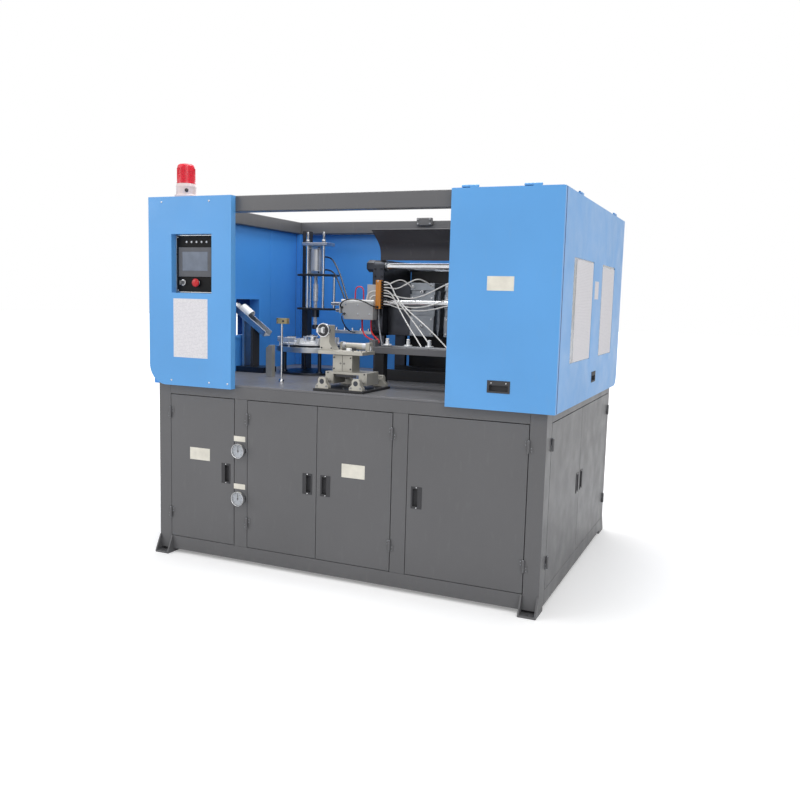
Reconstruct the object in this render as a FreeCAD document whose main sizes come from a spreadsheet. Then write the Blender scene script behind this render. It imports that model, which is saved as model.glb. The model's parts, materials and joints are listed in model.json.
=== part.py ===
import FreeCAD, Part

import math
import os

import Sketcher

# Blow moulding machine with a steel base cabinet, an open working area and an
# enclosed clamp and oven bay on the right.
#
# Machine coordinates, in millimetres: x runs right from the left side of the
# base cabinet, y runs back from its front, z runs up from its lower edge. The
# whole model is shifted so that the origin is the bottom centre of its box.

SIZES = {
    # Base cabinet: posts, rails, sheets and table.
    "base_width": 2065,
    "base_depth": 1558,
    "frame_height": 890,
    "table_plate": 10,
    "post_width": 74,
    "front_post_depth": 100,
    "rear_post_depth": 56,
    "rail_depth": 50,
    "bottom_rail": 71,
    "top_rail": 60,
    "mullion_width": 76,
    "left_mullion": 510,
    "right_mullion": 1384,
    "frame_sheet": 2,
    # Feet.
    "foot_width": 83,
    "foot_drop": 20,
    "foot_plate": 10,
    "foot_reach": 42,
    "foot_inside": 81,
    "foot_cheek": 8,
    "foot_cheek_top": 70,
    "foot_bolt_radius": 7,
    # Doors and their hinges.
    "door_gap": 3,
    "door_depth": 20,
    "door_sheet": 1.5,
    "hinge_height": 54,
    "hinge_low": 172,
    "hinge_high": 705,
    "hinge_radius": 6,
    "hinge_leaf": 20,
    "hinge_leaf_sheet": 2,
    "pin_play": 0.05,
    "hinge_face_gap": 0.3,
    # Recessed pulls.
    "pull_length": 103,
    "pull_width": 54,
    "pull_flange": 2,
    "pull_cup_length": 88,
    "pull_cup_width": 42,
    "pull_cup_depth": 17,
    "pull_wall": 2,
    "pull_lip": 13,
    "pull_inset": 48,
    "pull_height": 443,
    "pull_play": 0.5,
    # Pressure gauges on the left mullion.
    "gauge_radius": 37.5,
    "gauge_depth": 30,
    "gauge_bezel": 4,
    "gauge_dial_depth": 8,
    "gauge_x": 509,
    "upper_gauge_z": 570,
    "lower_gauge_z": 325,
    "needle_hub": 5,
    "needle_sheet": 1.2,
    "needle_length": 27,
    "needle_width": 2.4,
    "needle_tail": 9,
    "needle_rise": 0.3,
    # Upper frame above the table.
    "beam": 75,
    "beam_top": 1829,
    "upper_depth": 1385,
    "cabin_left": 1610,
    "beam_box_x": 896,
    "beam_box_width": 102,
    "beam_box_depth": 22,
    "beam_box_low": 1797,
    "beam_box_height": 48,
    # Blue sheet panels and walls.
    "front_reach": 37,
    "left_reach": 30,
    "right_reach": 40,
    "panel_sheet": 2,
    "panel_low": 880,
    "panel_high": 1829,
    "left_panel_right": 475,
    "left_panel_corner": 105,
    "wall_inset": 38,
    "back_wall_inset": 2,
    "window_front": 629,
    "window_back": 872,
    "window_low": 1110,
    "window_high": 1325,
    # Cabin shell and its two lifting covers.
    "cabin_depth": 1515,
    "roof_sheet": 2,
    "cover_low": 882,
    "cover_top_gap": 0.5,
    "front_cover_depth": 20,
    "side_cover_depth": 30,
    "cover_seam": 2,
    "side_cover_corner": 60,
    "cover_hinge_radius": 5,
    "cover_hinge_rise": 5,
    "cover_hinge_length": 76,
    "cover_hinge_leaf": 34,
    "front_hinge_first": 1655,
    "front_hinge_second": 1930,
    "side_hinge_first": 250,
    "side_hinge_second": 1150,
    "pane_front_y": 196,
    "pane_front_width": 458,
    "pane_rear_y": 887,
    "pane_rear_width": 375,
    "pane_low": 1085,
    "pane_height": 467,
    "pane_lap": 15,
    "pane_sheet": 4,
    "front_pull_x": 1854,
    "side_pull_y": 783,
    "cover_pull_z": 985,
    # Control box, touch screen, stop button and key.
    "recess_left": 114,
    "recess_width": 245,
    "recess_low": 1352,
    "recess_height": 292,
    "recess_rim": 4,
    "control_depth": 110,
    "screen_width": 200,
    "screen_height": 146,
    "screen_low": 1434,
    "screen_bezel": 8,
    "screen_glass_width": 156,
    "screen_glass_height": 96,
    "screen_glass_depth": 1.5,
    "stop_x": 245,
    "stop_z": 1404,
    "stop_radius": 21,
    "stop_head": 13,
    "stop_stem": 9,
    "stop_stand": 10,
    "stop_stem_length": 26,
    "stop_bore_depth": 36,
    "key_x": 160,
    "key_z": 1404,
    "key_barrel": 11,
    "key_stand": 6,
    "key_stem": 8,
    "key_stem_length": 20,
    "key_bow": 22,
    "key_thickness": 3,
    "key_bore_depth": 25,
    # Rotating beacon.
    "beacon_x": 150,
    "beacon_foot_radius": 58,
    "beacon_foot_height": 14,
    "beacon_base_radius": 55,
    "beacon_base_height": 70,
    "beacon_lens_radius": 47,
    "beacon_lens_height": 98,
    "beacon_lens_wall": 2.5,
    "beacon_lamp": 9,
    "beacon_lamp_height": 62,
    "beacon_dish": 30,
    "beacon_dish_wall": 2,
    "beacon_dish_height": 52,
    "beacon_turntable": 4,
    "beacon_gap": 0.4,
    # Feed chute for the preforms.
    "chute_y": 700,
    "chute_width": 70,
    "chute_height": 34,
    "chute_wall": 3,
    "chute_length": 286,
    "chute_slope": 35,
    "chute_low_x": 205,
    "chute_low_z": 1112,
    "chute_leg": 16,
    "chute_leg_first": 60,
    "chute_leg_second": 120,
    "chute_foot_height": 32,
    "chute_foot_length": 190,
    "chute_foot_left": 42,
    "chute_cap_radius": 33,
    "chute_cap_start": 58,
    "chute_cap_length": 74,
    "chute_cap_wall": 4,
    # Star table and star wheel.
    "star_x": 430,
    "star_y": 850,
    "star_table_radius": 210,
    "star_table_top": 1060,
    "star_table_sheet": 30,
    "star_leg": 11,
    "star_leg_circle": 165,
    "star_plinth_radius": 190,
    "star_plinth": 12,
    "star_spindle": 15,
    "star_spindle_height": 66,
    "star_wheel_radius": 180,
    "star_wheel_sheet": 10,
    "star_wheel_rise": 10,
    "star_hub": 34,
    "star_hub_height": 50,
    "star_pocket": 17,
    "star_pocket_circle": 172,
    "star_upper_radius": 120,
    "star_jaw_length": 46,
    "star_jaw_width": 24,
    "star_jaw_height": 30,
    "star_jaw_circle": 118,
    "star_jaw_slot": 8,
    "guide_radius": 200,
    "guide_wall": 5,
    "guide_low": 1086,
    "guide_height": 26,
    "guide_post": 5,
    # Sensor posts beside the star table.
    "sensor_rod_x": 578,
    "sensor_rod_y": 270,
    "sensor_rod": 6,
    "sensor_rod_height": 306,
    "sensor_foot": 15,
    "sensor_foot_height": 18,
    "sensor_box_length": 61,
    "sensor_box_depth": 30,
    "sensor_box_height": 29,
    "stop_post_x": 352,
    "stop_post_y": 470,
    "stop_post_width": 39,
    "stop_post_depth": 34,
    "stop_post_height": 177,
    # Loading press behind the star table.
    "press_x": 364,
    "press_y": 1000,
    "press_column_width": 38,
    "press_column_depth": 60,
    "press_column_x": 234,
    "press_column_top": 1752,
    "press_plate_left": 285,
    "press_plate_right": 495,
    "press_plate_front": 940,
    "press_plate_back": 1060,
    "press_plate_low": 1475,
    "press_plate": 12,
    "press_guide_low": 1283,
    "press_guide": 9,
    "press_guide_left": 331,
    "press_guide_right": 440,
    "press_guide_front": 955,
    "press_guide_far": 470,
    "press_guide_back": 1040,
    "press_guide_near": 304,
    "press_yoke_low": 1655,
    "press_yoke": 18,
    "press_yoke_left": 300,
    "press_yoke_width": 168,
    "press_rod_top": 1735,
    "press_nut": 14,
    "press_nut_height": 16,
    "press_sleeve": 24,
    "press_sleeve_height": 44,
    "cylinder_cap_width": 92,
    "cylinder_cap_depth": 64,
    "cylinder_cap_height": 20,
    "cylinder_barrel": 34,
    "cylinder_wall": 4,
    "cylinder_tie": 5,
    "cylinder_port": 6,
    "cylinder_port_length": 28,
    "cylinder_port_low": 1514,
    "cylinder_port_high": 1591,
    "press_ram": 12,
    "press_ram_low": 1180,
    "press_ram_top": 1580,
    "press_piston_height": 22,
    "press_head": 20,
    "press_head_height": 26,
    # Clamp with two platens, four tie bars and the mould halves.
    "clamp_front": 700,
    "clamp_depth": 385,
    "clamp_low": 1147,
    "clamp_high": 1559,
    "fixed_platen_left": 890,
    "fixed_platen_width": 67,
    "platen_chamfer": 30,
    "moving_platen_left": 1500,
    "moving_platen_width": 65,
    "moving_platen_drop": 8,
    "rear_platen_left": 1830,
    "rear_platen_width": 65,
    "tie_bar": 17,
    "tie_bar_inset": 35,
    "tie_bar_low": 1329,
    "tie_bar_high": 1527,
    "tie_nut": 34,
    "tie_nut_length": 42,
    "bed_rail_width": 60,
    "bed_rail_depth": 30,
    "mould_front": 770,
    "mould_depth": 245,
    "mould_low": 1150,
    "mould_high": 1440,
    "mould_backing": 133,
    "mould_width": 141,
    "mould_gap": 60,
    "mould_slot_depth": 12,
    "mould_slot_low": 1262,
    "mould_slot_low_height": 38,
    "mould_slot_high": 1378,
    "mould_slot_high_height": 22,
    "cavity_pitch": 115,
    "cavity_first": 65,
    "cavity_neck": 14,
    "cavity_neck_height": 24,
    "cavity_shoulder": 66,
    "cavity_radius": 33,
    "cavity_height": 250,
    "clamp_cylinder_radius": 68,
    "clamp_cylinder_bore": 55,
    "clamp_cylinder_length": 162,
    "clamp_cylinder_cap": 10,
    "clamp_rod_radius": 28,
    "clamp_piston_start": 71,
    "clamp_piston": 20,
    "clamp_piston_play": 0.05,
    # Curved hood above the clamp.
    "hood_left": 922,
    "hood_y": 731,
    "hood_straight": 74,
    "hood_rise": 158,
    "hood_lean": 124,
    "hood_sheet": 3,
    "hood_bend": 90,
    # Air manifold, blow beam and nozzle bar.
    "manifold_left": 925,
    "manifold_width": 30,
    "manifold_depth": 32,
    "manifold_low": 1294,
    "manifold_height": 156,
    "barb_radius": 4.5,
    "barb_length": 14,
    "barb_pitch": 15,
    "barb_first": 11,
    "blow_beam_left": 725,
    "blow_beam_right": 925,
    "blow_beam_depth": 60,
    "blow_beam_low": 1232,
    "blow_beam_height": 93,
    "blow_beam_bevel": 22,
    "blow_pipe": 8,
    "blow_bracket_height": 100,
    "blow_bracket_width": 62,
    "blow_bracket_sheet": 8,
    "blow_stub": 10,
    "blow_stub_length": 64,
    "blow_stub_short": 34,
    "nozzle_bar_left": 640,
    "nozzle_bar_depth": 30,
    "nozzle_bar_low": 1150,
    "nozzle_bar_height": 18,
    "nozzle_radius": 7,
    "nozzle_height": 16,
    "nozzle_pitch": 50,
    # Mandrel rail and its carrier.
    "rail_left": 1040,
    "rail_right": 1980,
    "rail_y": 350,
    "rail_width": 70,
    "rail_low": 1073,
    "rail_height": 32,
    "rail_slot": 12,
    "rail_slot_depth": 10,
    "rail_post": 50,
    "rail_post_first": 1075,
    "rail_post_pitch": 410,
    "rail_play": 0.3,
    "inlet_length": 32,
    "inlet_width": 42,
    "inlet_height": 34,
    "inlet_y": 366,
    "carrier_left": 1105,
    "carrier_length": 748,
    "carrier_width": 30,
    "carrier_height": 9,
    "mandrel_first": 28,
    "mandrel_pitch": 115,
    "mandrel_flange": 21,
    "mandrel_flange_height": 7,
    "mandrel_radius": 10,
    "mandrel_height": 36,
    # Transfer unit at the front of the table.
    "transfer_left": 910,
    "transfer_width": 268,
    "transfer_front": 20,
    "transfer_depth": 310,
    "transfer_plate": 12,
    "bearing_width": 70,
    "bearing_depth": 30,
    "bearing_height": 56,
    "bearing_inset": 8,
    "transfer_shaft": 10,
    "transfer_shaft_z": 947,
    "shaft_play": 0.05,
    "carriage_front": 105,
    "carriage_length": 130,
    "carriage_low": 962,
    "carriage_plate": 12,
    "slider_width": 44,
    "slider_height": 34,
    "lift_block_left": 958,
    "lift_block_width": 106,
    "lift_block_depth": 84,
    "lift_block_top": 1070,
    "lift_rod": 8,
    "lift_rod_length": 82,
    "lift_rod_spacing": 70,
    "lift_table_left": 895,
    "lift_table_width": 241,
    "lift_table_low": 1075,
    "lift_table_sheet": 17,
    "lift_table_front": 92,
    "lift_table_depth": 140,
    "head_block_width": 52,
    "head_block_height": 122,
    "head_block_depth": 60,
    "flip_cylinder": 17,
    "flip_cylinder_length": 130,
    "flip_cap": 40,
    "flip_cap_length": 44,
    "flip_radius": 34,
    "flip_thickness": 16,
    "flip_z": 1190,
    "flip_spindle": 10,
    "flip_spindle_length": 40,
    "flip_jaw_length": 34,
    "flip_jaw_width": 11,
    "flip_jaw_gap": 26,
    "flip_play": 0.3,
    # Heating oven over the mandrel rail.
    "oven_left": 1640,
    "oven_width": 330,
    "oven_back_front": 455,
    "oven_back_depth": 105,
    "oven_top": 1400,
    "oven_roof": 10,
    "oven_screen_front": 308,
    "oven_screen": 12,
    "oven_screen_low": 1165,
    "oven_lamp": 5,
    "oven_lamp_first": 1185,
    "oven_lamp_pitch": 40,
    "oven_lamp_stand": 16,
    "oven_lamp_clip": 8,
    # Flexible tubes.
    "tube_radius": 3.5,
    "hose_radius": 4.5,
}
LAMP_TOTAL = 5
BARB_TOTAL = 10
MANDREL_TOTAL = 7
POCKET_TOTAL = 8
NOZZLE_TOTAL = 5
BEND_SHARE = 0.45
SMALL_BAR_SIDES = 6
ROUND_BAR_SIDES = 12
NUT_SIDES = 6
GAUGE_SIDES = 16
TUBE_SIDES = 4

doc = FreeCAD.newDocument("BlowMouldingMachine")
sheet = doc.addObject("Spreadsheet::Sheet", "Sizes")
nodes = []


class Size:
    """A length that knows its number and the sheet formula behind it."""

    def __init__(self, value, text):
        self.value = value
        self.text = text

    def __add__(self, other):
        other = size(other)
        return Size(self.value + other.value, f"({self.text} + {other.text})")

    def __sub__(self, other):
        other = size(other)
        return Size(self.value - other.value, f"({self.text} - {other.text})")

    def __mul__(self, other):
        other = size(other)
        return Size(self.value * other.value, f"({self.text} * {other.text})")

    def __truediv__(self, other):
        other = size(other)
        return Size(self.value / other.value, f"({self.text} / {other.text})")

    def __radd__(self, other):
        return size(other) + self

    def __rsub__(self, other):
        return size(other) - self

    def __rmul__(self, other):
        return size(other) * self

    def __neg__(self):
        return Size(-self.value, f"(-1 * {self.text})")


class SheetSizes:
    """The spreadsheet's aliases as attributes."""

    def __getattr__(self, alias):
        return Size(SIZES[alias], f"Sizes.{alias}")


S = SheetSizes()


def size(amount):
    """Turn a plain number into a Size."""
    return amount if isinstance(amount, Size) else Size(float(amount), f"({amount})")


def fill_sheet():
    """Write every driving dimension into the spreadsheet with its alias."""
    for row, (alias, number) in enumerate(SIZES.items(), start=1):
        sheet.set(f"A{row}", alias)
        sheet.set(f"B{row}", str(number))
        sheet.setAlias(f"B{row}", alias)
    doc.recompute()


def bind(item, path, amount):
    """Tie one property of an object to a formula on the sheet."""
    item.setExpression(path, size(amount).text)


def place(item, corner, turn=None):
    """Put an object at machine coordinates, after an optional fixed turn."""
    if turn:
        item.Placement = FreeCAD.Placement(FreeCAD.Vector(), turn)
    for axis, amount, origin in zip("xyz", corner, (ORIGIN_X, ORIGIN_Y, ORIGIN_Z)):
        bind(item, f"Placement.Base.{axis}", origin + amount)
    return item


TURNS = {
    "X": FreeCAD.Rotation(FreeCAD.Vector(0, 1, 0), 90),
    "Y": FreeCAD.Rotation(FreeCAD.Vector(1, 0, 0), -90),
    "Z": None,
}


def box(name, corner, lengths):
    """A block from its low corner and its three lengths."""
    item = doc.addObject("Part::Box", name)
    for path, amount in zip(("Length", "Width", "Height"), lengths):
        bind(item, path, amount)
    return place(item, corner)


def rod(name, start, radius, length, axis="Z"):
    """A round bar from the centre of its low end, along one axis."""
    item = doc.addObject("Part::Cylinder", name)
    bind(item, "Radius", radius)
    bind(item, "Height", length)
    return place(item, start, TURNS[axis])


def prism(name, start, radius, length, axis="Z", sides=SMALL_BAR_SIDES):
    """A many-sided nut or small bar from the centre of its low end."""
    item = doc.addObject("Part::Prism", name)
    item.Polygon = sides
    bind(item, "Circumradius", radius)
    bind(item, "Height", length)
    return place(item, start, TURNS[axis])


def round_bar(name, start, radius, length, axis="Z"):
    """A repeated round bar, or the bore it slides in, with few flat sides."""
    return prism(name, start, radius, length, axis, ROUND_BAR_SIDES)


def fuse(name, items):
    """Join overlapping or touching solids into one."""
    item = doc.addObject("Part::MultiFuse", name)
    item.Shapes = items
    item.Refine = True
    return item


def cut(name, base, tools):
    """Take one or more tools out of a base."""
    item = doc.addObject("Part::Cut", name)
    item.Base = base
    item.Tool = tools[0] if len(tools) == 1 else group(f"{name}_tools", tools)
    return item


def group(name, items):
    """Hold separate solids together in one object."""
    item = doc.addObject("Part::Compound", name)
    item.Links = items
    return item


def node(label, item):
    """Name a finished sub-part; its label is its file's name."""
    item.Label = label
    nodes.append(item)
    return item


def new_body(name, corner, turn=None):
    """An empty PartDesign body at machine coordinates."""
    return place(doc.addObject("PartDesign::Body", name), corner, turn)


def new_sketch(body, plane, offset=0):
    """A sketch on one of the body's own planes, moved along its normal."""
    sketch = body.newObject("Sketcher::SketchObject", f"{body.Name}_sketch")
    face = next(item for item in body.Origin.OriginFeatures if item.Role == f"{plane}_Plane")
    sketch.AttachmentSupport = [(face, "")]
    sketch.MapMode = "FlatFace"
    bind(sketch, "AttachmentOffset.Base.z", offset)
    return sketch


def hold(sketch, geometry, vertex, place_2d):
    """Fix a sketch point by sheet-bound distances from the origin."""
    for kind, amount in zip(("DistanceX", "DistanceY"), place_2d):
        amount = size(amount)
        number = sketch.addConstraint(
            Sketcher.Constraint(kind, -1, 1, geometry, vertex, amount.value))
        name = f"{kind}_{number}"
        sketch.renameConstraint(number, name)
        sketch.setExpression(f"Constraints.{name}", amount.text)


def outline(sketch, corners):
    """A closed outline of straight lines through the given corners."""
    first = sketch.GeometryCount
    points = [FreeCAD.Vector(size(u).value, size(v).value, 0) for u, v in corners]
    total = len(points)
    for number, start in enumerate(points):
        sketch.addGeometry(Part.LineSegment(start, points[(number + 1) % total]))
    for number in range(total):
        following = first + (number + 1) % total
        sketch.addConstraint(
            Sketcher.Constraint("Coincident", first + number, 2, following, 1))
        hold(sketch, first + number, 1, corners[number])
    return sketch


def circle(sketch, centre, radius):
    """A circle with a sheet-bound radius."""
    middle = FreeCAD.Vector(size(centre[0]).value, size(centre[1]).value, 0)
    geometry = sketch.addGeometry(
        Part.Circle(middle, FreeCAD.Vector(0, 0, 1), size(radius).value))
    hold(sketch, geometry, 3, centre)
    number = sketch.addConstraint(
        Sketcher.Constraint("Radius", geometry, size(radius).value))
    sketch.renameConstraint(number, f"Radius_{number}")
    sketch.setExpression(f"Constraints.Radius_{number}", size(radius).text)
    return sketch


def rectangle(low, high):
    """The corners of an upright rectangle."""
    return [low, (high[0], low[1]), high, (low[0], high[1])]


def pad(body, sketch, length, backwards=False):
    """Raise a sketch into a solid."""
    feature = body.newObject("PartDesign::Pad", f"{body.Name}_pad")
    feature.Profile = sketch
    feature.Reversed = backwards
    bind(feature, "Length", length)
    return feature


def pocket(body, sketch, length, backwards=False):
    """Sink a sketch into the solid."""
    feature = body.newObject("PartDesign::Pocket", f"{body.Name}_pocket")
    feature.Profile = sketch
    feature.Reversed = backwards
    bind(feature, "Length", length)
    return feature


def turned(body, sketch, axis="V_Axis", groove=False):
    """Turn a sketch a full circle about one of its axes."""
    kind = "PartDesign::Groove" if groove else "PartDesign::Revolution"
    feature = body.newObject(kind, f"{body.Name}_turned")
    feature.Profile = sketch
    feature.ReferenceAxis = (sketch, [axis])
    feature.Angle = 360
    return feature


def round_edges(body, feature, radius, chosen):
    """Round the edges of a feature that a test picks by their geometry."""
    doc.recompute()
    names = [f"Edge{number}" for number, edge in enumerate(feature.Shape.Edges, start=1)
             if chosen(edge)]
    fillet = body.newObject("PartDesign::Fillet", f"{body.Name}_fillet")
    fillet.Base = (feature, names)
    bind(fillet, "Radius", radius)
    return fillet


def runs_along(axis):
    """A test for straight edges parallel to one axis of a body."""
    direction = FreeCAD.Vector(*[1 if letter == axis else 0 for letter in "XYZ"])

    def chosen(edge):
        straight = isinstance(edge.Curve, Part.Line)
        return straight and abs(edge.tangentAt(edge.FirstParameter).dot(direction)) > 0.999
    return chosen


def along_at(axis, *places):
    """A test for straight edges along an axis that pass near a point."""
    chosen_direction = runs_along(axis)

    def chosen(edge):
        if not chosen_direction(edge):
            return False
        middle = edge.CenterOfMass
        return all(abs(getattr(middle, letter) - amount) < 0.01 for letter, amount in places)
    return chosen


fill_sheet()

# The box of the whole machine: left panel to right cover, foot to foot.
ORIGIN_X = S.left_reach - (S.base_width + S.left_reach + S.right_reach + S.pull_flange) / 2
ORIGIN_Y = -S.base_depth / 2
ORIGIN_Z = S.foot_drop

TABLE = S.frame_height + S.table_plate
BEAM_LOW = S.beam_top - S.beam
REAR_BEAM = S.upper_depth - S.beam
COVER_SIDE = S.base_width + S.right_reach
COVER_TOP = S.beam_top - S.cover_top_gap
DOOR_LOW = S.bottom_rail
DOOR_HIGH = S.frame_height - S.top_rail
SIDE_OPENING_END = S.base_depth - S.rear_post_depth


# ---------------------------------------------------------------- base cabinet

def base_cabinet():
    """Posts, rails, mullions, floor, partitions and the fixed sheets."""
    width, depth, height = S.base_width, S.base_depth, S.frame_height
    parts = []
    for x in (0, width - S.post_width):
        parts.append(box("front_post", (x, 0, 0), (S.post_width, S.front_post_depth, height)))
        parts.append(box("rear_post", (x, depth - S.rear_post_depth, 0),
                         (S.post_width, S.rear_post_depth, height)))
    span = width - 2 * S.post_width
    for y in (0, depth - S.rail_depth):
        for z, rail in ((0, S.bottom_rail), (DOOR_HIGH, S.top_rail)):
            parts.append(box("cross_rail", (S.post_width, y, z), (span, S.rail_depth, rail)))
    side_span = SIDE_OPENING_END - S.front_post_depth
    for x in (0, width - S.rail_depth):
        for z, rail in ((0, S.bottom_rail), (DOOR_HIGH, S.top_rail)):
            parts.append(box("side_rail", (x, S.front_post_depth, z),
                             (S.rail_depth, side_span, rail)))
    clear_height = DOOR_HIGH - DOOR_LOW
    for centre in (S.left_mullion, S.right_mullion):
        parts.append(box("mullion", (centre - S.mullion_width / 2, 0, DOOR_LOW),
                         (S.mullion_width, S.rail_depth, clear_height)))
        parts.append(box("partition", (centre - S.frame_sheet / 2, S.rail_depth, DOOR_LOW),
                         (S.frame_sheet, depth - S.rail_depth - 2 * S.frame_sheet, clear_height)))
    parts.append(box("bottom_sheet", (S.post_width, S.rail_depth, DOOR_LOW - S.frame_sheet),
                     (span, depth - 2 * S.rail_depth, S.frame_sheet)))
    parts.append(box("left_sheet", (S.frame_sheet, S.front_post_depth, DOOR_LOW),
                     (S.frame_sheet, side_span, clear_height)))
    parts.append(box("back_sheet", (S.post_width, depth - 2 * S.frame_sheet, DOOR_LOW),
                     (span, S.frame_sheet, clear_height)))
    node("base_cabinet", group("cabinet_frame", parts))
    node("table_top", box("table_sheet", (0, 0, S.frame_height), (width, depth, S.table_plate)))


def foot(x, facing):
    """One welded foot: ground plate with a bolt hole and two sloping cheeks."""
    front = facing == "front"
    edge = size(0) if front else S.base_depth
    way = 1 if front else -1
    low = edge - S.foot_reach if front else edge - S.foot_inside
    plate = box("foot_plate", (x, low, -S.foot_drop),
                (S.foot_width, S.foot_reach + S.foot_inside, S.foot_plate))
    cheeks = []
    for side in (x, x + S.foot_width - S.foot_cheek):
        body = new_body("foot_cheek", (side, edge, 0))
        profile = [(-way * S.foot_reach, -S.foot_drop + S.foot_plate),
                   (way * S.foot_inside, -S.foot_drop + S.foot_plate),
                   (way * S.foot_inside, 0), (0, 0), (0, S.foot_cheek_top),
                   (-way * S.foot_cheek / 2, S.foot_cheek_top)]
        pad(body, outline(new_sketch(body, "YZ"), profile), S.foot_cheek)
        cheeks.append(body)
    hole = rod("foot_hole", (x + S.foot_width / 2, edge - way * S.foot_reach / 2, -S.foot_drop),
               S.foot_bolt_radius, S.foot_plate)
    return fuse("foot", [cut("drilled_plate", plate, [hole])] + cheeks)


def feet():
    """Four feet under the cabinet's corners."""
    right = S.base_width - S.foot_width
    node("feet", group("foot_set", [foot(x, facing) for x in (size(0), right)
                                    for facing in ("front", "back")]))


# ------------------------------------------------------------ doors and pulls

FRONT_TURN = None
SIDE_TURN = FreeCAD.Rotation(FreeCAD.Vector(0, 0, 1), 90)


def on_face(face, along, outward, up):
    """Machine coordinates of a point on the front or the right side."""
    if face == "front":
        return (size(along), -size(outward), size(up))
    return (S.base_width + outward, size(along), size(up))


def face_box(name, face, low, lengths):
    """A block on a face, from its low corner along, outward and up."""
    along, outward, up = low
    length, thickness, height = lengths
    if face == "front":
        return box(name, (along, -size(outward) - thickness, up), (length, thickness, height))
    return box(name, (S.base_width + outward, along, up), (thickness, length, height))


def knuckle(face, hinge, way, up, round_barrel=False):
    """Half of a hinge: its barrel and the leaf that screws to the sheet."""
    height = S.hinge_height / 2 - S.hinge_face_gap / 2
    centre = on_face(face, hinge, S.hinge_radius, up)
    if round_barrel:
        barrel = rod("hinge_barrel", centre, S.hinge_radius, height)
    else:
        barrel = prism("hinge_barrel", centre, S.hinge_radius, height, sides=NUT_SIDES)
    leaf_low = hinge if way > 0 else hinge - S.hinge_leaf
    leaf = face_box("hinge_leaf", face, (leaf_low, 0, up),
                    (S.hinge_leaf, S.hinge_leaf_sheet, height))
    return fuse("hinge_half", [barrel, leaf])


def door(label, face, low, high, hinge_side, pull_height):
    """A folded sheet door with its knuckles, its pull and fixed hinges.

    low and high are the door opening along the face; the leaf leaves a gap
    all round. hinge_side is -1 for the low edge and 1 for the high edge.
    """
    start, end = low + S.door_gap, high - S.door_gap
    length = end - start
    bottom, height = DOOR_LOW + S.door_gap, DOOR_HIGH - DOOR_LOW - 2 * S.door_gap
    pan = face_box("door_pan", face, (start, -S.door_depth, bottom),
                   (length, S.door_depth, height))
    hollow = face_box("door_hollow", face, (start + S.door_sheet, -S.door_depth, bottom + S.door_sheet),
                      (length - 2 * S.door_sheet, S.door_depth - S.door_sheet,
                       height - 2 * S.door_sheet))
    free_edge = start if hinge_side > 0 else end
    pull_centre = free_edge + hinge_side * S.pull_inset
    hole = face_box("pull_hole", face,
                    (pull_centre - S.pull_cup_width / 2 - S.pull_play, -S.door_depth,
                     pull_height - S.pull_cup_length / 2 - S.pull_play),
                    (S.pull_cup_width + 2 * S.pull_play, S.door_depth,
                     S.pull_cup_length + 2 * S.pull_play))
    hinge = (low + S.door_gap / 2) if hinge_side < 0 else (high - S.door_gap / 2)
    leaf_parts = [cut(f"{label}_leaf", pan, [hollow, hole])]
    fixed_halves = []
    for low_end, lowest in ((S.hinge_low, True), (S.hinge_high, False)):
        middle = low_end + S.hinge_height / 2 + S.hinge_face_gap / 2
        leaf_parts.append(knuckle(face, hinge, -hinge_side, middle))
        fixed_halves.append(knuckle(face, hinge, hinge_side, low_end, lowest))
    node(label, fuse(f"{label}_fused", leaf_parts))
    node(f"{label}_handle", upright_pull(f"{label}_pull", face, pull_centre, pull_height,
                                         hinge_side))
    return fixed_halves


def upright_pull(name, face, centre, height, lip_side):
    """A recessed pull: flange, open cup and the lip the fingers hook behind."""
    flange = face_box("pull_flange", face,
                      (centre - S.pull_width / 2, 0, height - S.pull_length / 2),
                      (S.pull_width, S.pull_flange, S.pull_length))
    cup = face_box("pull_cup", face,
                   (centre - S.pull_cup_width / 2, -S.pull_cup_depth,
                    height - S.pull_cup_length / 2),
                   (S.pull_cup_width, S.pull_cup_depth, S.pull_cup_length))
    inner = S.pull_cup_width - 2 * S.pull_wall
    inner_low = centre - inner / 2
    hollow = face_box("pull_hollow", face,
                      (inner_low, S.pull_wall - S.pull_cup_depth,
                       height - S.pull_cup_length / 2 + S.pull_wall),
                      (inner, S.pull_cup_depth + S.pull_flange - S.pull_wall,
                       S.pull_cup_length - 2 * S.pull_wall))
    lip_low = inner_low if lip_side < 0 else inner_low + inner - S.pull_lip
    lip = face_box("pull_lip", face,
                   (lip_low, 0, height - S.pull_cup_length / 2 + S.pull_wall),
                   (S.pull_lip, S.pull_flange, S.pull_cup_length - 2 * S.pull_wall))
    return fuse(name, [cut("pull_shell", fuse("pull_blank", [flange, cup]), [hollow]), lip])


def doors():
    """Four front doors and two side doors, each in its own opening."""
    first_end = S.left_mullion - S.mullion_width / 2
    middle_start = S.left_mullion + S.mullion_width / 2
    middle_end = S.right_mullion - S.mullion_width / 2
    last_start = S.right_mullion + S.mullion_width / 2
    middle = (middle_start + middle_end) / 2
    half_gap = S.door_gap / 2
    side_middle = (S.front_post_depth + SIDE_OPENING_END) / 2 - S.door_gap * 12
    hinges = []
    hinges += door("left_door", "front", S.post_width, first_end, -1, S.pull_height)
    hinges += door("middle_left_door", "front", middle_start, middle + half_gap, -1,
                   S.pull_height)
    hinges += door("middle_right_door", "front", middle - half_gap, middle_end, 1,
                   S.pull_height)
    hinges += door("right_door", "front", last_start, S.base_width - S.post_width, 1,
                   S.pull_height)
    hinges += door("side_front_door", "side", S.front_post_depth, side_middle + half_gap, -1,
                   S.pull_height)
    hinges += door("side_rear_door", "side", side_middle - half_gap, SIDE_OPENING_END, 1,
                   S.pull_height)
    node("door_hinges", group("hinge_set", hinges))


# ---------------------------------------------------------------------- gauges

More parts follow.
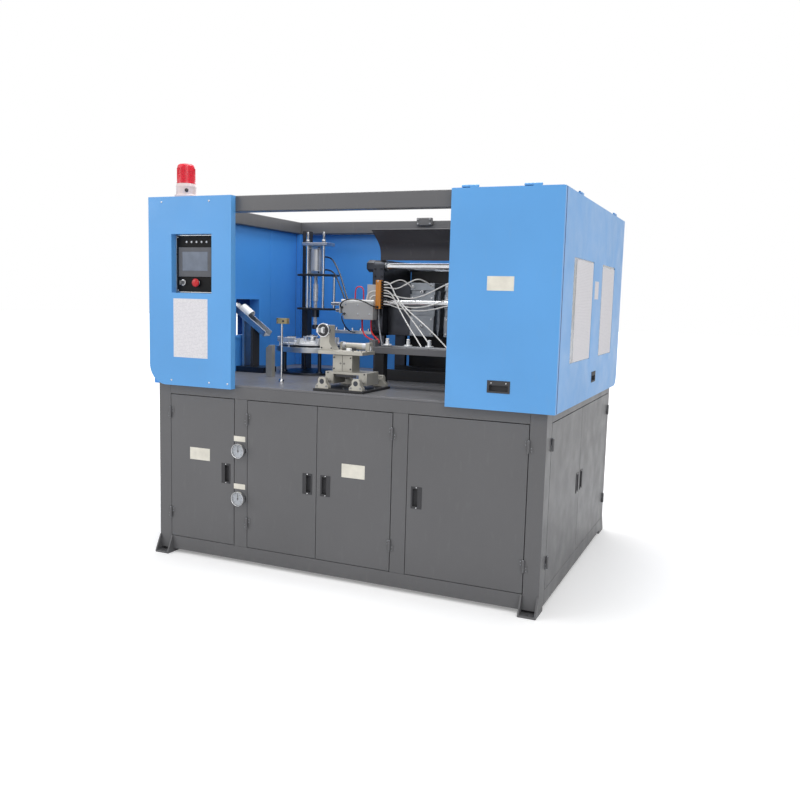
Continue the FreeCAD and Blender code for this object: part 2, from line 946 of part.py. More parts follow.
def gauge_case(z):
    """A gauge case with a raised bezel round its dial."""
    front = -S.gauge_depth
    case = prism("gauge_drum", (S.gauge_x, front, z), S.gauge_radius, S.gauge_depth, "Y",
                 GAUGE_SIDES)
    dial = prism("gauge_dial_well", (S.gauge_x, front, z), S.gauge_radius - S.gauge_bezel,
                 S.gauge_dial_depth, "Y", GAUGE_SIDES)
    return cut("gauge_case", case, [dial])


def needle(label, z):
    """A pointer with its hub, close in front of the dial."""
    front = S.gauge_dial_depth - S.gauge_depth - S.needle_rise - S.needle_sheet
    hub = prism("needle_hub", (S.gauge_x, front, z), S.needle_hub, S.needle_sheet, "Y")
    hand = box("needle_hand", (S.gauge_x - S.needle_width / 2, front, z - S.needle_tail),
               (S.needle_width, S.needle_sheet, S.needle_length + S.needle_tail))
    node(label, fuse(f"{label}_fused", [hub, hand]))


def gauges():
    """Two pressure gauges, one above the other."""
    node("gauge_cases", group("gauge_pair", [gauge_case(S.upper_gauge_z),
                                             gauge_case(S.lower_gauge_z)]))
    needle("upper_gauge_needle", S.upper_gauge_z)
    needle("lower_gauge_needle", S.lower_gauge_z)


# ----------------------------------------------------------------- upper frame

def upper_frame():
    """Square tube posts and beams above the table, and the box on the rear beam."""
    parts = []
    right = S.base_width - S.beam
    for x in (size(0), right):
        for y in (size(0), REAR_BEAM):
            parts.append(box("upper_post", (x, y, TABLE), (S.beam, S.beam, BEAM_LOW - TABLE)))
    for y in (size(0), REAR_BEAM):
        parts.append(box("long_beam", (0, y, BEAM_LOW), (S.base_width, S.beam, S.beam)))
    for x in (size(0), S.cabin_left + S.panel_sheet, right):
        parts.append(box("cross_beam", (x, S.beam, BEAM_LOW),
                         (S.beam, REAR_BEAM - S.beam, S.beam)))
    parts.append(box("beam_box", (S.beam_box_x, REAR_BEAM - S.beam_box_depth, S.beam_box_low),
                     (S.beam_box_width, S.beam_box_depth, S.beam_box_height)))
    node("upper_frame", group("upper_tubes", parts))


# --------------------------------------------------------------- blue sheeting

def shell(body, feature, wall, face_test):
    """Hollow a solid from the one face that a test picks."""
    doc.recompute()
    name = next(f"Face{number}" for number, face in enumerate(feature.Shape.Faces, start=1)
                if face_test(face))
    hollow = body.newObject("PartDesign::Thickness", f"{body.Name}_shell")
    hollow.Base = (feature, [name])
    bind(hollow, "Value", wall)
    hollow.Reversed = True
    return hollow


def faces_towards(x, y, z):
    """A test for the flat face whose outward normal is the given direction."""
    direction = FreeCAD.Vector(x, y, z)

    def chosen(face):
        return isinstance(face.Surface, Part.Plane) and face.normalAt(0, 0).dot(direction) > 0.999
    return chosen


def left_front_panel():
    """The deep sheet panel with a round lower corner and the control recess."""
    left = -S.left_reach
    body = new_body("left_panel_body", (left, 0, S.panel_low))
    width = S.left_panel_right + S.left_reach
    height = S.panel_high - S.panel_low
    sketch = outline(new_sketch(body, "XZ"), rectangle((0, 0), (width, height)))
    block = pad(body, sketch, S.front_reach)
    rounded = round_edges(body, block, S.left_panel_corner, along_at("Y", ("x", 0), ("z", 0)))
    body.Tip = shell(body, rounded, S.panel_sheet, faces_towards(0, 1, 0))
    rim = box("recess_rim", (S.recess_left - S.panel_sheet, -S.front_reach,
                             S.recess_low - S.panel_sheet),
              (S.recess_width + 2 * S.panel_sheet, S.front_reach,
               S.recess_height + 2 * S.panel_sheet))
    recess = box("recess_hole", (S.recess_left, -S.front_reach, S.recess_low),
                 (S.recess_width, S.front_reach, S.recess_height))
    node("left_front_panel", cut("left_panel", fuse("left_panel_blank", [body, rim]), [recess]))


def window_block(name, x, thickness, margin=0):
    """A block through the feed window, optionally larger all round."""
    return box(name, (x, S.window_front - margin, S.window_low - margin),
               (thickness, S.window_back - S.window_front + 2 * margin,
                S.window_high - S.window_low + 2 * margin))


def wall_panels():
    """Left side cover, inner side wall, the duct of the feed window, back wall."""
    left = -S.left_reach
    height = S.panel_high - S.panel_low
    pan = box("left_cover", (left, 0, S.panel_low), (S.left_reach, S.upper_depth, height))
    hollow = box("left_cover_hollow", (left + S.panel_sheet, S.panel_sheet,
                                       S.panel_low + S.panel_sheet),
                 (S.left_reach, S.upper_depth - 2 * S.panel_sheet, height - 2 * S.panel_sheet))
    outer = cut("left_cover_pan", pan,
                [hollow, window_block("outer_window", left, S.left_reach)])
    inner_face = S.wall_inset + S.panel_sheet
    inner = cut("inner_wall", box("inner_wall_sheet", (S.wall_inset, S.beam, TABLE),
                                  (S.panel_sheet, REAR_BEAM - S.beam, BEAM_LOW - TABLE)),
                [window_block("inner_window", S.wall_inset, S.panel_sheet)])
    duct_left = left + S.panel_sheet
    duct = cut("window_duct",
               window_block("duct_block", duct_left, inner_face - duct_left, S.panel_sheet),
               [window_block("duct_hole", duct_left, inner_face - duct_left)])
    back = box("back_wall", (S.beam, S.upper_depth - S.back_wall_inset - S.panel_sheet, TABLE),
               (S.base_width - 2 * S.beam, S.panel_sheet, BEAM_LOW - TABLE))
    node("wall_panels", group("blue_walls", [outer, fuse("lined_wall", [inner, duct]), back]))


# ------------------------------------------------------------ cabin and covers

def cover_knuckles(name, axis_point, along, places, fixed, leaf_box):
    """One half of each hinge of a lifting cover, on the roof or on the cover.

    The roof carries the first half of a hinge's length and the cover the
    second, with a running gap between them.
    """
    half = S.cover_hinge_length / 2 - S.hinge_face_gap / 2
    parts = []
    for start in places:
        low = start if fixed else start + half + S.hinge_face_gap
        shape = rod if fixed and start is places[0] else prism
        parts.append(shape(f"{name}_barrel", axis_point(low), S.cover_hinge_radius, half,
                           axis=along))
        parts.append(leaf_box(low, half))
    return parts


def front_axis(x):
    """A point on the front cover's hinge axis."""
    return (x, -S.front_reach + S.cover_hinge_radius,
            S.beam_top + S.roof_sheet + S.cover_hinge_rise)


def side_axis(y):
    """A point on the side cover's hinge axis."""
    return (COVER_SIDE - S.cover_hinge_radius, y,
            S.beam_top + S.roof_sheet + S.cover_hinge_rise)


def cabin_shell():
    """Folded roof and back of the cabin, with the fixed hinge halves."""
    roof_right = COVER_SIDE - 2 * S.cover_hinge_radius
    roof_front = -S.front_reach + 2 * S.cover_hinge_radius
    roof = box("cabin_roof", (S.cabin_left, roof_front, S.beam_top),
               (roof_right - S.cabin_left, S.cabin_depth - roof_front, S.roof_sheet))
    back_right = COVER_SIDE - S.side_cover_depth - S.cover_seam
    back = box("cabin_back", (S.cabin_left, S.cabin_depth - S.panel_sheet, TABLE),
               (back_right - S.cabin_left, S.panel_sheet, S.beam_top - TABLE))
    roof_top = S.beam_top + S.roof_sheet

    def front_leaf(low, length):
        return box("roof_leaf", (low, -S.front_reach + S.cover_hinge_radius, roof_top),
                   (length, S.cover_hinge_leaf, S.hinge_leaf_sheet))

    def side_leaf(low, length):
        return box("roof_leaf", (COVER_SIDE - S.cover_hinge_radius - S.cover_hinge_leaf, low,
                                 roof_top), (S.cover_hinge_leaf, length, S.hinge_leaf_sheet))

    hinges = cover_knuckles("front_fixed", front_axis, "X",
                            (S.front_hinge_first, S.front_hinge_second), True, front_leaf)
    hinges += cover_knuckles("side_fixed", side_axis, "Y",
                             (S.side_hinge_first, S.side_hinge_second), True, side_leaf)
    node("cabin_shell", fuse("cabin_fused", [roof, back] + hinges))


def flat_pull_parts(face_block, centre, lip_name):
    """The parts of a recessed pull that lies flat, built by a face function."""
    low = S.cover_pull_z
    flange = face_block("pull_flange", centre - S.pull_length / 2, 0, low - S.pull_width / 2,
                        S.pull_length, S.pull_flange, S.pull_width)
    cup = face_block("pull_cup", centre - S.pull_cup_length / 2, -S.pull_cup_depth,
                     low - S.pull_cup_width / 2, S.pull_cup_length, S.pull_cup_depth,
                     S.pull_cup_width)
    hollow_length = S.pull_cup_length - 2 * S.pull_wall
    hollow_height = S.pull_cup_width - 2 * S.pull_wall
    hollow = face_block("pull_hollow", centre - hollow_length / 2,
                        S.pull_wall - S.pull_cup_depth, low - hollow_height / 2, hollow_length,
                        S.pull_cup_depth + S.pull_flange - S.pull_wall, hollow_height)
    lip = face_block(lip_name, centre - hollow_length / 2, 0,
                     low + hollow_height / 2 - S.pull_lip, hollow_length, S.pull_flange,
                     S.pull_lip)
    return fuse(f"{lip_name}_pull",
                [cut(f"{lip_name}_shell", fuse(f"{lip_name}_blank", [flange, cup]), [hollow]),
                 lip])


def front_cover_block(name, along, outward, up, length, thickness, height):
    """A block on the front cover's outer face."""
    return box(name, (along, -S.front_reach - outward - thickness, up),
               (length, thickness, height))


def side_cover_block(name, along, outward, up, length, thickness, height):
    """A block on the side cover's outer face."""
    return box(name, (COVER_SIDE + outward, along, up), (thickness, length, height))


def pull_opening(face_block, centre):
    """The hole that a flat pull's cup passes through."""
    length, height = S.pull_cup_length + 2 * S.pull_play, S.pull_cup_width + 2 * S.pull_play
    return face_block("cover_pull_hole", centre - length / 2, -S.pull_cup_depth,
                      S.cover_pull_z - height / 2, length, S.pull_cup_depth, height)


def front_cover():
    """The lifting front cover: a folded pan hung on the roof's front edge."""
    height = COVER_TOP - S.cover_low
    width = COVER_SIDE - S.cabin_left
    body = new_body("front_cover_body", (S.cabin_left, -S.front_reach, S.cover_low))
    block = pad(body, outline(new_sketch(body, "XZ"), rectangle((0, 0), (width, height))),
                S.front_cover_depth, backwards=True)
    body.Tip = shell(body, block, S.panel_sheet, faces_towards(0, 1, 0))

    def tab(low, length):
        return box("cover_tab", (low, -S.front_reach, COVER_TOP - S.panel_sheet),
                   (length, S.panel_sheet, S.cover_hinge_rise + S.roof_sheet
                    + S.cover_top_gap + S.panel_sheet))

    tabs = cover_knuckles("front_moving", front_axis, "X",
                          (S.front_hinge_first, S.front_hinge_second), False, tab)
    holes = [pull_opening(front_cover_block, S.front_pull_x)]
    node("front_cover", cut("front_cover_cut", fuse("front_cover_blank", [body] + tabs), holes))
    node("front_cover_handle", flat_pull_parts(front_cover_block, S.front_pull_x, "front_lip"))


def side_cover():
    """The lifting side cover with two windows and a round rear lower corner."""
    start = -S.front_reach + S.front_cover_depth + S.cover_seam
    length = S.cabin_depth - start
    height = COVER_TOP - S.cover_low
    body = new_body("side_cover_body", (COVER_SIDE, start, S.cover_low))
    block = pad(body, outline(new_sketch(body, "YZ"), rectangle((0, 0), (length, height))),
                S.side_cover_depth, backwards=True)
    rounded = round_edges(body, block, S.side_cover_corner,
                          along_at("X", ("y", length.value), ("z", 0)))
    body.Tip = shell(body, rounded, S.panel_sheet, faces_towards(-1, 0, 0))

    def tab(low, tab_length):
        return box("cover_tab", (COVER_SIDE - S.panel_sheet, low, COVER_TOP - S.panel_sheet),
                   (S.panel_sheet, tab_length, S.cover_hinge_rise + S.roof_sheet
                    + S.cover_top_gap + S.panel_sheet))

    tabs = cover_knuckles("side_moving", side_axis, "Y",
                          (S.side_hinge_first, S.side_hinge_second), False, tab)
    holes = [pull_opening(side_cover_block, S.side_pull_y)]
    panes = []
    for low, width in ((S.pane_front_y, S.pane_front_width), (S.pane_rear_y, S.pane_rear_width)):
        holes.append(box("window_hole", (COVER_SIDE - S.panel_sheet, low, S.pane_low),
                         (S.panel_sheet, width, S.pane_height)))
        panes.append(box("window_pane", (COVER_SIDE - S.panel_sheet - S.pane_sheet,
                                         low - S.pane_lap, S.pane_low - S.pane_lap),
                         (S.pane_sheet, width + 2 * S.pane_lap,
                          S.pane_height + 2 * S.pane_lap)))
    node("side_cover", cut("side_cover_cut", fuse("side_cover_blank", [body] + tabs), holes))
    node("side_cover_handle", flat_pull_parts(side_cover_block, S.side_pull_y, "side_lip"))
    node("side_windows", group("window_panes", panes))


# -------------------------------------------------------------------- controls

def controls():
    """Control box behind the recess, touch screen, stop button and key."""
    rim = S.recess_rim
    casing = box("control_casing", (S.recess_left - rim, 0, S.recess_low - rim),
                 (S.recess_width + 2 * rim, S.control_depth, S.recess_height + 2 * rim))
    stop_bore = round_bar("stop_bore", (S.stop_x, 0, S.stop_z), S.stop_stem + S.pin_play,
                          S.stop_bore_depth, "Y")
    key_bore = rod("key_bore", (S.key_x, 0, S.key_z), S.key_stem + S.pin_play,
                   S.key_bore_depth, "Y")
    node("control_box", cut("control_casing_cut", casing, [stop_bore, key_bore]))

    screen_left = S.recess_left + (S.recess_width - S.screen_width) / 2
    body = new_body("screen_body", (screen_left, 0, S.screen_low))
    face = outline(new_sketch(body, "XZ"), rectangle((0, 0), (S.screen_width, S.screen_height)))
    pad(body, face, S.screen_bezel)
    side = (S.screen_width - S.screen_glass_width) / 2
    rise = (S.screen_height - S.screen_glass_height) / 2 + S.screen_bezel / 2
    glass = outline(new_sketch(body, "XZ", S.screen_bezel),
                    rectangle((side, rise), (side + S.screen_glass_width,
                                             rise + S.screen_glass_height)))
    body.Tip = pocket(body, glass, S.screen_glass_depth)
    node("touch_screen", body)

    front = S.stop_stand + S.stop_head
    shoulder = 2 * S.stop_head / 3
    rim = round_bar("button_rim", (S.stop_x, -S.stop_stand - shoulder, S.stop_z),
                    S.stop_radius, shoulder, "Y")
    crown = round_bar("button_crown", (S.stop_x, -front, S.stop_z), S.stop_radius * 0.75,
                      S.stop_head / 3, "Y")
    stem = round_bar("stop_stem_bar", (S.stop_x, -S.stop_stand, S.stop_z), S.stop_stem,
                     S.stop_stand + S.stop_stem_length, "Y")
    node("stop_button", fuse("stop_fused", [rim, crown, stem]))

    barrel = round_bar("key_barrel_disc", (S.key_x, -S.key_stand, S.key_z), S.key_barrel,
                       S.key_stand - S.hinge_face_gap, "Y")
    stem = round_bar("key_stem_bar", (S.key_x, -S.hinge_face_gap, S.key_z), S.key_stem,
                     S.key_stem_length, "Y")
    bow = box("key_bow_plate", (S.key_x - S.key_thickness / 2, -S.key_stand - S.key_bow,
                                S.key_z - S.key_bow / 2),
              (S.key_thickness, S.key_bow, S.key_bow))
    node("key_switch", fuse("key_fused", [barrel, stem, bow]))


# ---------------------------------------------------------------------- beacon

def beacon():
    """Rotating beacon on the front beam: base with lamp, dish and red lens."""
    x, y, z = S.beacon_x, S.beam / 2, S.beam_top
    top = z + S.beacon_base_height
    foot_disc = round_bar("beacon_foot", (x, y, z), S.beacon_foot_radius, S.beacon_foot_height)
    body = round_bar("beacon_body", (x, y, z + S.beacon_foot_height), S.beacon_base_radius,
                     S.beacon_base_height - S.beacon_foot_height)
    lamp = round_bar("beacon_lamp_stem", (x, y, top), S.beacon_lamp, S.beacon_lamp_height)
    node("beacon_base", fuse("beacon_base_fused", [foot_disc, body, lamp]))

    wall, tall = S.beacon_lens_wall, S.beacon_lens_height
    lens = cut("lens_shell", round_bar("lens_outer", (x, y, top), S.beacon_lens_radius, tall),
               [round_bar("lens_inner", (x, y, top), S.beacon_lens_radius - wall, tall - wall)])
    node("beacon_lens", lens)

    start = top + S.beacon_gap
    table = round_bar("dish_table", (x, y, start), S.beacon_dish, S.beacon_turntable)
    outer = round_bar("dish_outer", (x, y, start), S.beacon_dish, S.beacon_dish_height)
    inner = round_bar("dish_inner", (x, y, start + S.beacon_turntable),
                      S.beacon_dish - S.beacon_dish_wall, S.beacon_dish_height)
    front = box("dish_front", (x - S.beacon_dish, y - S.beacon_dish,
                               start + S.beacon_turntable),
                (2 * S.beacon_dish, S.beacon_dish, S.beacon_dish_height))
    dish = cut("dish_half", outer, [inner, front])
    bore = rod("dish_bore", (x, y, start), S.beacon_lamp + S.pin_play, S.beacon_dish_height)
    node("beacon_reflector", cut("dish_cut", fuse("dish_blank", [table, dish]), [bore]))


# ------------------------------------------------------------- preform feeding

def feed_chute():
    """An inclined open channel through the feed window, on two legs."""
    slope = math.radians(SIZES["chute_slope"])
    turn = FreeCAD.Rotation(FreeCAD.Vector(0, 1, 0), SIZES["chute_slope"])
    length, width, wall = S.chute_length, S.chute_width, S.chute_wall
    rise, run = length * math.sin(slope), length * math.cos(slope)
    channel = new_body("chute_channel", (S.chute_low_x - run, S.chute_y - width / 2,
                                         S.chute_low_z + rise), turn)
    tall = S.chute_height
    profile = [(0, 0), (width, 0), (width, tall), (width - wall, tall), (width - wall, wall),
               (wall, wall), (wall, tall), (0, tall)]
    pad(channel, outline(new_sketch(channel, "YZ"), profile), length)

    def under(x):
        """Height of the channel's underside above the table at x."""
        return S.chute_low_z + (S.chute_low_x - x) * math.tan(slope) - TABLE

    legs = []
    for x in (S.chute_leg_first, S.chute_leg_second):
        tall_side = under(x) - S.chute_foot_height
        short_side = under(x + S.chute_leg) - S.chute_foot_height
        leg = new_body("chute_leg", (x, S.chute_y + width / 2, TABLE + S.chute_foot_height))
        side = [(0, 0), (S.chute_leg, 0), (S.chute_leg, short_side), (0, tall_side)]
        pad(leg, outline(new_sketch(leg, "XZ"), side), width)
        legs.append(leg)
    base = box("chute_base", (S.chute_foot_left, S.chute_y - width, TABLE),
               (S.chute_foot_length, 2 * width, S.chute_foot_height))
    cap = new_body("chute_cap", (S.chute_low_x - run, S.chute_y, S.chute_low_z + rise), turn)
    ring = new_sketch(cap, "YZ", S.chute_cap_start)
    circle(ring, (0, tall), S.chute_cap_radius)
    circle(ring, (0, tall), S.chute_cap_radius - S.chute_cap_wall)
    pad(cap, ring, S.chute_cap_length)
    lower = new_sketch(cap, "YZ", S.chute_cap_start)
    outline(lower, rectangle((-2 * S.chute_cap_radius, -tall), (2 * S.chute_cap_radius, tall)))
    cap.Tip = pocket(cap, lower, S.chute_cap_length, backwards=True)
    node("feed_chute", group("chute_set", [channel, base, cap] + legs))


def star_table():
    """Round table on legs with its spindle and the curved preform guide."""
    x, y, top = S.star_x, S.star_y, S.star_table_top
    radius = S.star_table_radius
    plate = rod("star_top", (x, y, top - S.star_table_sheet), radius, S.star_table_sheet)
    spindle = round_bar("star_spindle_bar", (x, y, top), S.star_spindle, S.star_spindle_height)
    plinth = round_bar("star_plinth_disc", (x, y, TABLE), S.star_plinth_radius, S.star_plinth)
    parts = [fuse("star_table_plate", [plate, spindle]), plinth]
    leg_height = top - S.star_table_sheet - TABLE - S.star_plinth
    diagonal = S.star_leg_circle * math.sqrt(0.5)
    for dx in (-diagonal, diagonal):
        for dy in (-diagonal, diagonal):
            parts.append(prism("star_leg_bar", (x + dx, y + dy, TABLE + S.star_plinth),
                               S.star_leg, leg_height))
    ring = cut("guide_ring", rod("guide_outer", (x, y, S.guide_low),
                                 S.guide_radius + S.guide_wall, S.guide_height),
               [rod("guide_inner", (x, y, S.guide_low), S.guide_radius, S.guide_height)])
    keep = box("guide_keep", (x - 2 * radius, y - 2 * radius, S.guide_low),
               (2 * radius, 2 * radius, S.guide_height))
    arc = doc.addObject("Part::Common", "guide_arc")
    arc.Base, arc.Tool = ring, keep
    guide_parts = [arc]
    middle = S.guide_radius + S.guide_wall / 2
    for dx, dy in ((-middle * math.cos(0.2), -middle * math.sin(0.2)),
                   (-middle * math.sin(0.2), -middle * math.cos(0.2))):
        guide_parts.append(prism("guide_post_bar", (x + dx, y + dy, top), S.guide_post,
                                 S.guide_low - top + S.guide_height))
    parts.append(fuse("guide_fused", guide_parts))
    node("star_table", group("star_table_set", parts))


def star_wheel():
    """The pocketed wheel with an upper disc and a gripper jaw per pocket."""
    start = S.star_table_top + S.star_wheel_rise
    body = new_body("wheel_body", (S.star_x, S.star_y, start))
    disc = new_sketch(body, "XY")
    pad(body, circle(disc, (0, 0), S.star_wheel_radius), S.star_wheel_sheet)
    step = math.pi / POCKET_TOTAL
    corners = [(S.star_pocket_circle + math.cos((2 * number + 1) * step) * S.star_pocket,
                math.sin((2 * number + 1) * step) * S.star_pocket)
               for number in range(POCKET_TOTAL)]
    notch = outline(new_sketch(body, "XY"), corners)
    first = pocket(body, notch, S.star_wheel_sheet, backwards=True)
    pattern = body.newObject("PartDesign::PolarPattern", "wheel_pockets")
    pattern.Originals = [first]
    pattern.Axis = (disc, ["N_Axis"])
    pattern.Angle = 360
    pattern.Occurrences = POCKET_TOTAL
    body.Tip = pattern
    hub_sketch = new_sketch(body, "XY")
    body.Tip = pad(body, circle(hub_sketch, (0, 0), S.star_hub), S.star_hub_height)
    bore_sketch = new_sketch(body, "XY")
    body.Tip = pocket(body, circle(bore_sketch, (0, 0), S.star_spindle + S.pin_play),
                      S.star_hub_height, backwards=True)
    upper = cut("upper_disc",
                rod("upper_disc_plate", (S.star_x, S.star_y, start + S.star_wheel_sheet),
                    S.star_upper_radius, S.star_wheel_sheet),
                [round_bar("upper_disc_hole", (S.star_x, S.star_y, start + S.star_wheel_sheet),
                           S.star_hub, S.star_wheel_sheet)])
    jaws = []
    for number in range(POCKET_TOTAL):
        jaw = new_body("wheel_jaw", (S.star_x, S.star_y, start + S.star_wheel_sheet),
                       FreeCAD.Rotation(FreeCAD.Vector(0, 0, 1), number * 360 / POCKET_TOTAL))
        half = S.star_jaw_width / 2
        slot = S.star_jaw_slot / 2
        first, last = S.star_jaw_circle, S.star_jaw_circle + S.star_jaw_length
        middle = (first + last) / 2
        shape = [(first, -half), (last, -half), (last, -slot), (middle, -slot),
                 (middle, slot), (last, slot), (last, half), (first, half)]
        pad(jaw, outline(new_sketch(jaw, "XY"), shape), S.star_jaw_height)
        jaws.append(jaw)
    whole = fuse("wheel_fused", [body, upper] + jaws)
    node("star_wheel", whole)


def sensor_posts():
    """The sensor on its thin rod and the plain post beside the star table."""
    x, y = S.sensor_rod_x, S.sensor_rod_y
    stand = fuse("sensor_stand", [
        prism("sensor_bar", (x, y, TABLE), S.sensor_rod, S.sensor_rod_height),
        prism("sensor_clamp", (x, y, TABLE), S.sensor_foot, S.sensor_foot_height)])
    head = box("sensor_box", (x - S.sensor_box_length / 2 + S.sensor_rod,
                              y - S.sensor_box_depth / 2, TABLE + S.sensor_rod_height),
               (S.sensor_box_length, S.sensor_box_depth, S.sensor_box_height))
    post_body = new_body("post_body", (S.stop_post_x, S.stop_post_y + S.stop_post_depth, TABLE))
    slope = S.stop_post_depth / 2
    side = [(0, 0), (S.stop_post_width, 0), (S.stop_post_width, S.stop_post_height),
            (S.stop_post_width / 2, S.stop_post_height), (0, S.stop_post_height - slope)]
    pad(post_body, outline(new_sketch(post_body, "XZ"), side), S.stop_post_depth)
    node("sensor_posts", group("sensor_set", [stand, head, post_body]))


# --------------------------------------------------------------- loading press

PRESS_GUIDES = (("press_guide_left", "press_guide_front"),
                ("press_guide_right", "press_guide_front"),
                ("press_guide_far", "press_guide_back"),
                ("press_guide_near", "press_guide_back"))


def loading_tower():
    """Column, two plates, guide bars, the yoke above and the ram's sleeve."""
    front, back = S.press_plate_front, S.press_plate_back
    left, right = S.press_plate_left, S.press_plate_right
    parts = [box("press_column", (S.press_column_x, back, TABLE),
                 (S.press_column_width, S.press_column_depth, S.press_column_top - TABLE))]
    sleeve_low = S.press_guide_low - S.press_plate - S.press_sleeve_height
    sleeve = prism("sleeve_outer", (S.press_x, S.press_y, sleeve_low), S.press_sleeve,
                   S.press_sleeve_height)
    for z, extra, hole_low in ((S.press_plate_low, [], S.press_plate_low),
                               (S.press_guide_low - S.press_plate, [sleeve], sleeve_low)):
        plate = box("press_plate_block", (left, front, z),
                    (right - left, back - front, S.press_plate))
        arm = box("press_arm", (S.press_column_x, back - S.press_column_depth, z),
                  (left - S.press_column_x, S.press_column_depth, S.press_plate))
        hole = prism("ram_hole", (S.press_x, S.press_y, hole_low), S.press_ram + S.pin_play,
                     z + S.press_plate - hole_low, sides=NUT_SIDES)
        parts.append(cut("press_plate_cut", fuse("press_plate_arm", [plate, arm] + extra),
                         [hole]))
    for x_name, y_name in PRESS_GUIDES:
        parts.append(prism("guide_bar", (getattr(S, x_name), getattr(S, y_name),
                                         S.press_guide_low), S.press_guide,
                           S.press_plate_low - S.press_guide_low))
    above = S.press_plate_low + S.press_plate
    yoke_top = S.press_yoke_low + S.press_yoke
    yoke = [box("yoke_block", (S.press_yoke_left, front, S.press_yoke_low),
                (S.press_yoke_width, back - front - 2 * S.press_guide, S.press_yoke))]
    for x in (S.press_guide_left, S.press_guide_right):
        yoke.append(prism("yoke_bar", (x, S.press_guide_front, above), S.press_guide,
                          S.press_rod_top - above))
        yoke.append(prism("yoke_nut", (x, S.press_guide_front, yoke_top), S.press_nut,
                          S.press_nut_height, sides=NUT_SIDES))
    node("loading_tower", group("tower_set", parts + [fuse("yoke_fused", yoke)]))


def loading_cylinder():
    """Square caps, a hollow barrel with two air ports, and four tie rods."""
    x, y = S.press_x, S.press_y
    low = S.press_plate_low + S.press_plate
    high = S.press_yoke_low
    cap = (S.cylinder_cap_width, S.cylinder_cap_depth, S.cylinder_cap_height)
    corner_x, corner_y = x - S.cylinder_cap_width / 2, y - S.cylinder_cap_depth / 2
    lower = cut("lower_cap", box("lower_cap_block", (corner_x, corner_y, low), cap),
                [prism("cap_bore", (x, y, low), S.press_ram + S.pin_play,
                       S.cylinder_cap_height, sides=NUT_SIDES)])
    upper = box("upper_cap", (corner_x, corner_y, high - S.cylinder_cap_height), cap)
    barrel_low = low + S.cylinder_cap_height
    barrel_height = high - low - 2 * S.cylinder_cap_height
    barrel = cut("barrel_tube", round_bar("barrel_outer", (x, y, barrel_low),
                                          S.cylinder_barrel, barrel_height),
                 [round_bar("barrel_bore", (x, y, barrel_low),
                            S.cylinder_barrel - S.cylinder_wall, barrel_height)])
    start = x + S.cylinder_barrel - S.cylinder_wall / 2
    ports = [prism("air_port", (start, y, z), S.cylinder_port, S.cylinder_port_length, "X")
             for z in (S.cylinder_port_low, S.cylinder_port_high)]
    parts = [lower, upper, fuse("barrel_fused", [barrel] + ports)]
    inset = 1.6 * S.cylinder_tie
    for tie_x in (corner_x + inset, corner_x + S.cylinder_cap_width - inset):
        for tie_y in (corner_y + inset, corner_y + S.cylinder_cap_depth - inset):
            parts.append(prism("cylinder_tie_bar", (tie_x, tie_y, barrel_low), S.cylinder_tie,
                               barrel_height))
    node("loading_cylinder", group("cylinder_set", parts))


def loading_ram():
    """The press's piston, its six-sided rod that cannot turn, and the head."""
    x, y, low, top = S.press_x, S.press_y, S.press_ram_low, S.press_ram_top
    head = round_bar("ram_head", (x, y, low - S.press_head_height), S.press_head,
                     S.press_head_height)
    bar = prism("ram_rod", (x, y, low), S.press_ram, top - low, sides=NUT_SIDES)
    piston = round_bar("ram_piston", (x, y, top - S.press_piston_height),
                       S.cylinder_barrel - S.cylinder_wall - S.clamp_piston_play,
                       S.press_piston_height)
    node("loading_ram", fuse("ram_fused", [head, bar, piston]))


# ----------------------------------------------------------------------- clamp

def tie_bar_places():
    """The four tie bar centres in y and z."""
    rear = S.clamp_front + S.clamp_depth - S.tie_bar_inset
    return [(y, z) for y in (S.clamp_front + S.tie_bar_inset, rear)
            for z in (S.tie_bar_low, S.tie_bar_high)]


def platen(name, left, width, drop=0):
    """A platen plate with chamfered corners."""
    low, high = S.clamp_low, S.clamp_high - drop
    body = new_body(name, (left, 0, 0))
    front, back, edge = S.clamp_front, S.clamp_front + S.clamp_depth, S.platen_chamfer
    shape = [(front + edge, low), (back - edge, low), (back, low + edge), (back, high - edge),
             (back - edge, high), (front + edge, high), (front, high - edge),
             (front, low + edge)]
    pad(body, outline(new_sketch(body, "YZ"), shape), width)
    return body


